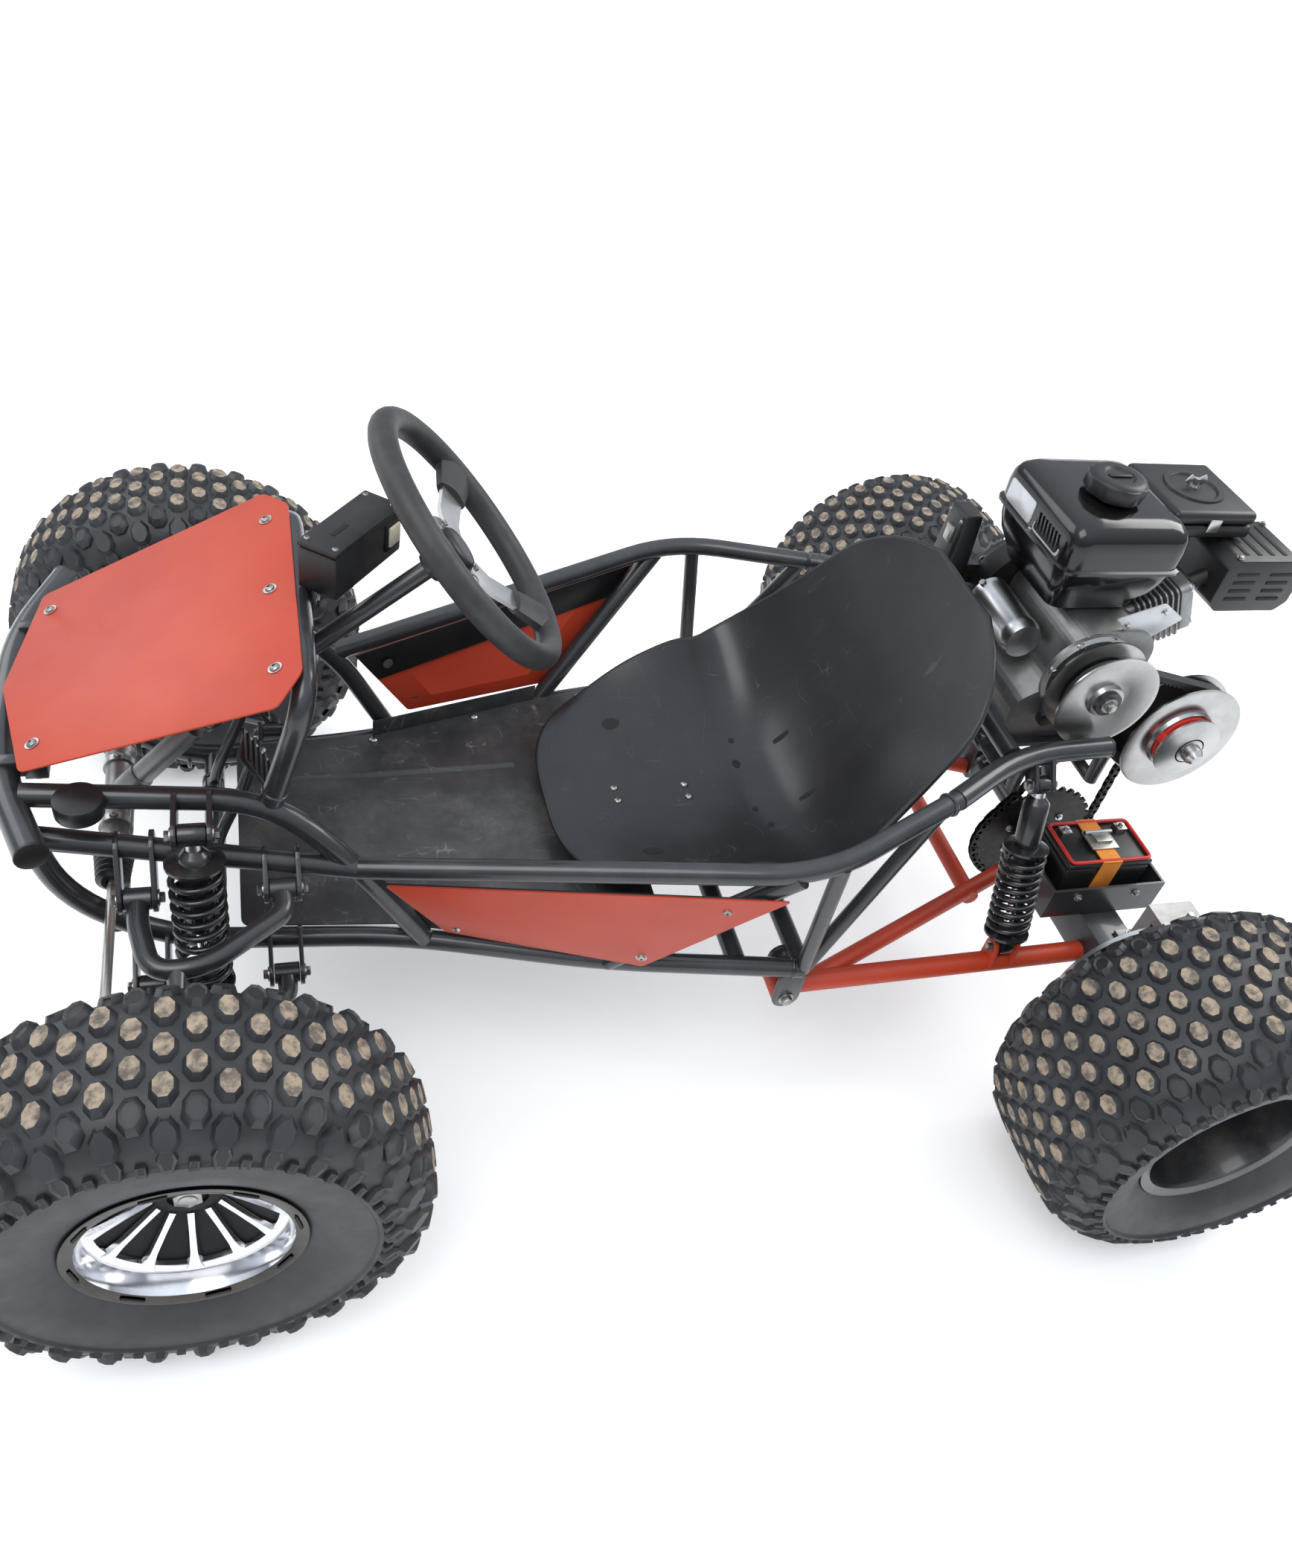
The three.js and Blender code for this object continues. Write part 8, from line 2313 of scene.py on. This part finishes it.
    def front_plates(self, mould: Mould) -> None:
        """Add the blank silver plate and the slotted dark panel on the tank's front.

        Args:
            mould: The piece that it goes on.
        """
        x = 163.2
        for front, back, (y0, y1), (z0, z1), corner, thick, bevel, ink in (
            (x, x, (-92, -28), (703, 733), 0.006, 0.0016, 0.0004, 2),
            (x, x - 3, (-20, 44), (703, 735), 0.006, 0.0016, 0.0004, 2),
            (x + 1.5, x - 1.5, (-17, 41), (706, 732), 0.005, 0.0008, 0.0, 3),
        ):
            outline = spots([(front, y0, z0), (front, y1, z0), (back, y1, z1), (back, y0, z1)])
            mould.sheet(round_outline(outline, corner), thick, bevel, ink, along=X_AXIS)
        lean = Matrix.Rotation(0.35, 4, "X")
        for i in range(7):
            y = -12 + i * 8
            mould.slab(spot(x + 0.6, y - 1.5, 709), spot(x + 2.6, y + 1.5, 729), 0.0005, 0, lean)

    def fuel_cap(self) -> None:
        """Make the lobed filler cap."""
        mould = Mould("filler_cap")
        centre = spot(84, -6, 0)
        outline = []
        for t in ring_of(96):
            lobe = 0.5 + 0.5 * math.cos(8 * t)
            away = Vector((math.cos(t), math.sin(t), 0))
            outline.append(centre + away * (35.6 + 2.3 * lobe**0.6) * MM + Z_AXIS * 0.7648)
        mould.sheet(outline, 0.019, 0.0014, along=Z_AXIS)
        mould.lathe(
            [(36, 783), (33, 786.6), (28, 788.2), (20, 788), (17, 785.5), (0, 785.2), (0, 783)],
            centre, Z_AXIS, 48, closed=False,
        )
        mould.slab(spot(68, -9.5, 785), spot(100, -2.5, 788), 0.0012)
        mould.finish("cap", "dark_plastic", (DARK_PLASTIC,), ("fuel_cap",), 36.0)

    def cleaner(self) -> None:
        """Make the air cleaner's box with its round recess and wing nut, on its stem."""
        mould = Mould("air_cleaner_case")
        mould.slab(spot(-147.6, -124.6, 704.2), spot(-20.4, 2.6, 722), 0.005, segments=3)
        mould.slab(spot(-148, -125, 722.5), spot(-20, 3, 741), 0.008, segments=4)
        centre = spot(-84, -61, 0)
        mould.lathe([(30, 740), (41, 740), (39.5, 743.6), (33, 743.6), (30.5, 741.4)], centre, Z_AXIS, 40)
        mould.rod(centre + Z_AXIS * 0.7405, centre + Z_AXIS * 0.7435, 0.0075, sides=20, ink=1)
        mould.rod(centre + Z_AXIS * 0.7435, centre + Z_AXIS * 0.754, 0.0042, sides=14, ink=1)
        for way in (-1, 1):
            wing = centre + Vector((way * 0.009, 0, 0.7515))
            size = Vector((0.006, 0.0014, 0.006))
            mould.slab(wing - size, wing + size, 0.001, 1, Matrix.Rotation(-way * 0.5, 4, "Y"))
        mould.slab(spot(-61, -23, 666.4), spot(-35, 3, 706), 0.004)
        for x, y, way in ((-84, -125, -1), (-84, 3, 1)):
            mould.slab(spot(x - 9, y - 1.5, 714), spot(x + 9, y + 1.5, 732), 0.001, 1)
        mould.finish("chassis", "dark_plastic", (DARK_PLASTIC, BRIGHT_STEEL), ("air_cleaner",), 36.0)

    def muffler(self) -> None:
        """Make the chamfered muffler with its heat shield, whose slots are thin black slabs of painted shade,
        and its stub.
        """
        mould = Mould("muffler_shell")
        x0, x1, z0, z1, c = -222.0, -98.0, 622.0, 700.0, 14.0
        outline = [
            (x0 + c, z0), (x1 - c, z0), (x1, z0 + c), (x1, z1 - c),
            (x1 - c, z1), (x0 + c, z1), (x0, z1 - c), (x0, z0 + c),
        ]
        corners = [spot(x, -47.6, z) for x, z in outline]
        mould.sheet(round_outline(corners, 0.003, 2), 0.0952, 0.004, along=Y_AXIS)
        # Slots on the top: thin black slabs of painted shade, not cut.
        for i in range(4):
            x = -190 + i * 20
            mould.slab(spot(x - 3.4, -34, 699.6), spot(x + 3.4, 34, 700.9), 0.0006, 1)
        # Slots on the end and both sides: thin black slabs of painted shade, not cut.
        for column in (-22, 22):
            for i in range(5):
                z = 634 + i * 12.5
                mould.slab(spot(-223, column - 15, z - 2.4), spot(-221.6, column + 15, z + 2.4), 0.0006, 1)
        for column in (-186, -134):
            for i in range(4):
                z = 642 + i * 12.5
                mould.slab(spot(column - 17, 47, z - 2.4), spot(column + 17, 48.6, z + 2.4), 0.0006, 1)
                mould.slab(spot(column - 17, -48.6, z - 2.4), spot(column + 17, -47, z + 2.4), 0.0006, 1)
        for x in (-206, -114):
            for y in (-40, 40):
                mould.bolt(spot(x, y, 700), Z_AXIS, 3.4, ink=2)
        lean = Vector((0.906, 0, -0.423))
        start = spot(-104, 14, 655)
        mould.rod(start, start + lean * 0.026, 0.0118, sides=24)
        mould.finish(
            "chassis", "muffler_metal", (DARK_PLASTIC, BLACK_AND_PAINTED_SHADE, BOLT_ZINC), ("muffler",), 34.0
        )

    def starter(self) -> None:
        """Make the electric starter with its domed end cup and through bolts."""
        mould = Mould("starter_barrel")
        centre = spot(152, 0, 574)
        mould.lathe(
            [(0, -69.8), (9, -69.6), (11, -66), (23, -65), (26.6, -62), (27, -50), (26.2, -48),
             (26.2, 22), (27, 24), (27, 34), (24, 42), (10, 43.8), (0, 43.8)],
            centre, Y_AXIS, 44, closed=False,
        )
        for t in ring_of(2, 0.8):
            way = way_at(t)
            mould.bolt(centre + way * 0.0195 - Y_AXIS * 0.065, -Y_AXIS, 3.0)
        mould.slab(spot(118.4, -30, 548), spot(140, 10, 562), 0.002, 2)
        mould.rod(spot(168, -56, 592), spot(174, -56, 598), 0.004, sides=12, ink=1)
        mould.finish(
            "chassis", "bright_steel", (BRIGHT_STEEL, BOLT_ZINC, CAST_METAL), ("starter_motor",), 34.0
        )


BAND_MERGE = 5e-5


@dataclass(frozen=True)
class DriveLine:
    """The clutch, belt, driven pulley and chain."""

    crank: tuple[float, float] = (81.0, 560.0)
    jack: tuple[float, float] = (-65.0, 492.0)
    axle: tuple[float, float] = (0.0, 228.5)

    def build(self) -> None:
        """Make all of the drive's pieces."""
        self.clutch()
        self.pulley()
        self.belt()
        self.chain()

    def clutch(self) -> None:
        """Make the driver clutch: two cones, a black band and a bolted end."""
        mould = Mould("driver_clutch_cones")
        centre = spot(self.crank[0], 0, self.crank[1])
        mould.lathe(
            [(10.4, 112.2), (60, 112.2), (69, 116), (69, 118.5), (40, 126), (38, 126), (38, 143.6),
             (40, 143.8), (66, 146.4), (69, 147.4), (69, 149.6), (64, 149.8), (34, 144.2), (24, 143.6),
             (22, 149.6), (12, 149.8), (10.4, 149.8)],
            centre, Y_AXIS, 56,
        )
        mould.lathe([(60, 112.6), (69.4, 116.2), (69.4, 118), (60, 120)], centre, Y_AXIS, 56, ink=1)
        mould.rod(centre + Y_AXIS * 0.1496, centre + Y_AXIS * 0.1535, 0.0175, sides=28, ink=1)
        mould.bolt(centre + Y_AXIS * 0.1535, Y_AXIS, 7.5, ink=2)
        mould.finish(
            "clutch", "bright_steel", (TURNED_STEEL, SPRING_BLACK, BOLT_ZINC), ("driver_clutch",), 28.0
        )

    def pulley(self) -> None:
        """Make the driven pulley with its red cam, its spring's hub and the small sprocket."""
        mould = Mould("driven_pulley_discs")
        centre = spot(self.jack[0], 0, self.jack[1])
        mould.lathe(
            [(9, 115), (40, 115), (83.4, 118.6), (83.4, 120.6), (50, 127), (36, 128), (36, 142),
             (50, 143), (83.4, 149), (83.4, 151.4), (80, 152.6), (46, 149), (44, 154), (9, 154)],
            centre, Y_AXIS, 64,
        )
        mould.lathe(
            [(26, 153.6), (40, 153.6), (40, 157), (33, 160), (31, 166), (26, 167)], centre, Y_AXIS, 48, ink=1
        )
        mould.lathe(
            [(20, 166.8), (43, 163), (45.6, 165), (45.6, 168), (34, 171), (20, 173.6)], centre, Y_AXIS, 48
        )
        for t in ring_of(3, 0.3):
            way = way_at(t)
            turn = Matrix.Rotation(-t, 4, Y_AXIS)
            at = centre + way * 0.038 + Y_AXIS * 0.159
            size = Vector((0.006, 0.006, 0.007))
            mould.slab(at - size, at + size, 0.0015, 1, turn)
        mould.lathe(
            [(0, 153), (25, 153), (25, 160), (19, 161), (18, 174),
             (13, 175), (12.5, 186), (8, 193), (0, 193.6)],
            centre, Y_AXIS, 40, ink=0, closed=False,
        )
        mould.rod(centre + Y_AXIS * 0.0512, centre + Y_AXIS * 0.153, 0.0078, sides=24, ink=0)
        outline = []
        for t in ring_of(8):
            for share, reach in ((-0.34, 16.6), (-0.14, 22.6), (0.14, 22.6), (0.34, 16.6)):
                angle = t + share * 2 * math.pi / 8
                outline.append(centre + Vector((math.cos(angle) * reach, 57.5, math.sin(angle) * reach)) * MM)
        mould.sheet(outline, 0.005, 0.0, 2, along=Y_AXIS)
        mould.lathe([(7.8, 51.4), (14, 51.4), (14, 76), (7.8, 76)], centre, Y_AXIS, 28, ink=2)
        mould.finish(
            "jackshaft", "bright_steel", (TURNED_STEEL, TRIM_RED, CHAIN_STEEL), ("driven_pulley",), 28.0
        )

    def run(
        self, a: tuple[float, float], b: tuple[float, float], first: float, second: float, steps: int
    ) -> list[tuple[float, float]]:
        """The line that runs tight round two circles.

        Args:
            a: The first circle's middle, as X and Z in millimetres.
            b: The second circle's middle.
            first: The line's distance from the first middle.
            second: The line's distance from the second middle.
            steps: Stations on each arc.

        Returns:
            The closed line's X and Z pairs.
        """
        heading = math.atan2(b[1] - a[1], b[0] - a[0])
        lean = math.acos((first - second) / math.dist(a, b))
        pairs = []
        for (cx, cz), size, start, sweep in (
            (a, first, heading + lean, 2 * (math.pi - lean)), (b, second, heading - lean, 2 * lean),
        ):
            pairs += [
                (cx + size * math.cos(angle), cz + size * math.sin(angle))
                for angle in (start + sweep * i / steps for i in range(steps + 1))
            ]
        return pairs

    def belt(self) -> None:
        """Make the cogged drive belt."""
        mould = Mould("drive_belt_band")
        line = self.run(self.crank, self.jack, 46.0, 73.5, 30)
        self.band(mould, line, 135.0, 7.8, 4.2)
        centre = spot((self.crank[0] + self.jack[0]) / 2, 0, (self.crank[1] + self.jack[1]) / 2)
        for point, way in self.along(line, 96):
            inward = Vector((way.z, 0, -way.x))
            inward = inward if inward.dot(centre - point) > 0 else -inward
            matrix = placement_of(way, Y_AXIS, Y_AXIS.cross(way), Vector())
            at = point + Y_AXIS * 0.135 + inward * 0.0052
            size = Vector((0.0018, 0.006, 0.0014))
            mould.slab(at - size, at + size, 0.0, 0, matrix)
        mould.finish("chassis", "belt_rubber", (BELT_RUBBER,), ("drive_belt",), 34.0)

    def band(
        self, mould: Mould, line: Sequence[tuple[float, float]], y: float, half: float, thick: float
    ) -> None:
        """Add a flat band along a closed line.

        Args:
            mould: The piece that it goes on.
            line: The closed line's X and Z pairs.
            y: Its middle across the kart.
            half: Half of its width.
            thick: Half of its thickness.
        """
        placed = []
        for i, (x, z) in enumerate(line):
            before, after = line[i - 1], line[(i + 1) % len(line)]
            way = Vector((after[0] - before[0], 0, after[1] - before[1])).normalized()
            out = Vector((way.z, 0, -way.x))
            placed.append(placement_of(Y_AXIS * half * MM, out * thick * MM, way, spot(x, y, z)))
        section = [(-0.8, -1, 0), (0.8, -1, 0), (1, 1, 0), (-1, 1, 0)]
        made = mould.loft(section, [*placed, placed[0]], looped=True)
        bmesh.ops.remove_doubles(mould.bm, verts=made, dist=BAND_MERGE)

    @staticmethod
    def along(line: Sequence[tuple[float, float]], count: int) -> list[tuple[Vector, Vector]]:
        """Evenly spaced points and headings on a closed line, at Y = 0.

        Args:
            line: The closed line's X and Z pairs.
            count: How many points.

        Returns:
            The points and their headings.
        """
        points = [spot(x, 0, z) for x, z in line]
        loop = [*points, points[0]]
        lengths = [(b - a).length for a, b in zip(loop, loop[1:])]
        pitch = sum(lengths) / count
        found, gone, i = [], 0.0, 0
        for k in range(count):
            goal = k * pitch
            while gone + lengths[i] < goal and i < len(lengths) - 1:
                gone += lengths[i]
                i += 1
            way = (loop[i + 1] - loop[i]).normalized()
            found.append((loop[i] + way * (goal - gone), way))
        return found

    def chain(self) -> None:
        """Make the roller chain of alternating inner and outer links."""
        mould = Mould("drive_chain_links")
        line = self.run(self.jack, self.axle, 23.0, 92.0, 30)
        stations = self.along(line, 74)
        for i, (point, _) in enumerate(stations):
            after = stations[(i + 1) % len(stations)][0]
            offset = 2.9 if i % 2 else 3.9
            for way in (-1, 1):
                y = Y_AXIS * (60 + way * offset) * MM
                strap(mould, point + y, after + y, (0.0048, 0.0048), Y_AXIS, 0.0008, 0, 0.0)
            mould.rod(point + Y_AXIS * 0.0557, point + Y_AXIS * 0.0643, 0.0031, sides=10, ink=0)
        piece = mould.finish("chassis", "chain_steel", (CHAIN_STEEL,), ("drive_chain",), 34.0)
        top = spot(self.jack[0], 60, self.jack[1])
        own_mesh(piece)


# Controls


@dataclass(frozen=True)
class Pedal:
    """One foot pedal on its lever."""

    node: str
    body: str
    y: float

    def build(self) -> None:
        """Make the lever with the barrel of its pivot, and the ribbed pad."""
        mould = Mould(f"{self.node}_lever")
        y = self.y
        route = spots([(1150, y, 288), (1140, y, 330), (1112, y, 398), (1100, y, 440)])
        mould.tube(route, 0.0068, 0.03, 18)
        mould.lathe([(6.2, -7), (11.5, -7), (11.5, 7), (6.2, 7)], spot(1150, y, 288), Y_AXIS, 28)
        normal = Vector((-0.9, 0, 0.436)).normalized()
        turn = X_AXIS.rotation_difference(normal).to_matrix().to_4x4()
        centre = spot(1094, y, 442)
        size = Vector((0.0032, 0.0255, 0.0325))
        mould.slab(centre - size, centre + size, 0.0015, 0, turn)
        for i in range(5):
            at = centre + turn @ Vector((0.0042, 0, -0.024 + i * 0.012))
            size = Vector((0.0014, 0.0225, 0.0024))
            mould.slab(at - size, at + size, 0.0008, 1, turn)
        mould.finish(self.body, "frame_black", (FRAME_BLACK, GRIP_RUBBER, BOLT_ZINC), (self.node,))


@dataclass(frozen=True)
class Dash:
    """The small switch box behind the steering column's hoop."""

    centre: Point = (985, -28, 669)
    turn_deg: float = 52.0

    def build(self) -> None:
        """Make the box, its lid, its rocker switch and its bracket."""
        mould = Mould("dash_switch_box")
        turn = Matrix.Rotation(math.radians(self.turn_deg), 4, "Z")
        at = spot(*self.centre)

        def part(low: Point, high: Point, bevel: float, ink: int) -> None:
            """Add a block in the box's own turned directions, in millimetres from its middle.

            Args:
                low: Its lowest corner.
                high: Its highest corner.
                bevel: The width of its rounded edges, in metres.
                ink: Its material slot.
            """
            middle = Vector((a + b) / 2 * MM for a, b in zip(low, high))
            half = Vector(abs(b - a) / 2 * MM for a, b in zip(low, high))
            place = at + turn @ middle
            mould.slab(place - half, place + half, bevel * MM, ink, turn)

        part((-62.5, -23.5, -28.5), (62.5, 23.5, 22), 3.0, 0)
        part((-63, -24, 22.6), (63, 24, 29), 2.2, 0)
        part((8, -3, 28.4), (34, 3, 29.6), 0.4, 1)
        part((-58, 22, -16), (-30, 25.5, 18), 1.0, 1)
        part((-54, 24, -11), (-34, 28, 13), 1.6, 2)
        part((-63.8, -8, -10), (-62, 8, 8), 0.6, 1)
        for x in (-54, 54):
            for y in (-17, 17):
                mould.dome(at + turn @ Vector((x * MM, y * MM, 0.029)), Z_AXIS, 3.4, ink=3)
        mould.slab(spot(1024.1, -9, 614.6), spot(1029.1, 15, 644), 0.001, 0)
        mould.bolt(spot(1024.1, 3, 622), -X_AXIS, 4.0, ink=3)
        mould.finish(
            "chassis", "dark_plastic", (DARK_PLASTIC, BLACK_AND_PAINTED_SHADE, CREAM_PLASTIC, BOLT_ZINC), ("dash_box",)
        )


# The studio


@dataclass(frozen=True)
class Studio:
    """The fitted camera, the pale floor and the soft light."""

    eye: Point = (1078.28, 1118.90, 1428.71)
    aim: Point = (467.32, -294.15, 0.0)
    roll_deg: float = 13.18
    focal: float = 1655.49
    middle: tuple[float, float] = (871.25, 1063.90)
    image: tuple[int, int] = (1736, 2107)

    def camera(self) -> None:
        """Set the camera that was fitted to the photograph."""
        eye, aim = spot(*self.eye), spot(*self.aim)
        forward = (aim - eye).normalized()
        right = forward.cross(Z_AXIS).normalized()
        up = right.cross(forward)
        roll = math.radians(self.roll_deg)
        across = right * math.cos(roll) + up * math.sin(roll)
        above = up * math.cos(roll) - right * math.sin(roll)
        lens = bpy.data.cameras.new("camera")
        size = max(self.image)
        lens.sensor_width = 36.0
        lens.sensor_fit = "AUTO"
        lens.lens = self.focal / size * lens.sensor_width
        lens.shift_x = (self.image[0] / 2 - self.middle[0]) / size
        lens.shift_y = (self.middle[1] - self.image[1] / 2) / size
        lens.clip_start, lens.clip_end = 0.05, 60.0
        camera = bpy.data.objects.new("camera", lens)
        camera.matrix_world = placement_of(across, above, -forward, eye)
        bpy.context.scene.collection.objects.link(camera)
        bpy.context.scene.camera = camera

    def floor(self) -> None:
        """Lay the pale floor."""
        mould = bmesh.new()
        bmesh.ops.create_grid(mould, x_segments=4, y_segments=4, size=24.0)
        mesh = bpy.data.meshes.new("floor")
        mould.to_mesh(mesh)
        mould.free()
        bench = Bench("floor_white")
        tone = bench.noise(0.8, 2.0)
        sockets = {
            "Base Color": bench.mix(tone, (0.86, 0.86, 0.86), (0.9, 0.9, 0.9)), "Roughness": 0.7,
            "Emission Color": (1.0, 1.0, 0.99), "Emission Strength": 0.3,
        }
        for name, value in sockets.items():
            bench.feed(bench.shader.inputs[name], value)
        mesh.materials.append(bench.material)
        floor = bpy.data.objects.new("floor", mesh)
        bpy.context.scene.collection.objects.link(floor)

    def lamp(self, name: str, at: Point, power: float, size: float, tint: Colour) -> None:
        """Hang one square area light that shines at the kart; its place is in metres.

        Args:
            name: Its name.
            at: Its place in metres.
            power: Its power in watts.
            size: The length of its side.
            tint: Its colour.
        """
        light = bpy.data.lights.new(name, "AREA")
        light.energy, light.size, light.color = power, size, tint
        lamp = bpy.data.objects.new(name, light)
        way = Vector((0.05, 0, 0.35)) - Vector(at)
        lamp.matrix_world = Matrix.Translation(at) @ upright(-way)
        bpy.context.scene.collection.objects.link(lamp)

    def light(self) -> None:
        """Set the pale sky and the lamps."""
        world = bpy.data.worlds.new("studio")
        world.use_nodes = True
        tree = world.node_tree
        sky = tree.nodes["Background"]
        place = tree.nodes.new("ShaderNodeTexCoord")
        parts = tree.nodes.new("ShaderNodeSeparateXYZ")
        ramp = tree.nodes.new("ShaderNodeMapRange")
        tint = tree.nodes.new("ShaderNodeMix")
        tint.data_type = "RGBA"
        ramp.inputs[1].default_value, ramp.inputs[2].default_value = -0.1, 0.9
        tint.inputs[6].default_value = (0.16, 0.17, 0.185, 1.0)
        tint.inputs[7].default_value = (1.1, 1.2, 1.33, 1.0)
        tree.links.new(place.outputs["Generated"], parts.inputs[0])
        tree.links.new(parts.outputs[2], ramp.inputs[0])
        tree.links.new(ramp.outputs[0], tint.inputs[0])
        tree.links.new(tint.outputs[2], sky.inputs["Color"])
        bpy.context.scene.world = world
        self.lamp("key", (1.6, 1.2, 3.6), 58.0, 2.2, (1.0, 0.99, 0.97))
        self.lamp("fill", (2.6, -2.4, 2.2), 30.0, 2.0, (0.96, 0.98, 1.0))
        self.lamp("back", (-3.0, -0.6, 2.6), 60.0, 1.8, (1.0, 0.98, 0.95))
        bpy.context.scene.view_settings.view_transform = "Standard"


def main() -> None:
    """Build the kart and its studio in order."""
    studio = Studio()
    studio.camera()
    studio.floor()
    studio.light()
    FrameWork().build()
    Bodywork().build()
    Seat().build()
    Steering().build()
    FrontSuspension().build()
    RearEnd().build()
    for side in Side:
        FRONT_WHEEL.build(side, f"front_wheel_{side.tag}")
        REAR_WHEEL.build(side, "axle")
    Engine().build()
    DriveLine().build()
    Pedal("brake_pedal", "brake_lever", 62.0).build()
    Pedal("throttle_pedal", "throttle_lever", -62.0).build()
    Dash().build()


if __name__ == "__main__":
    main()
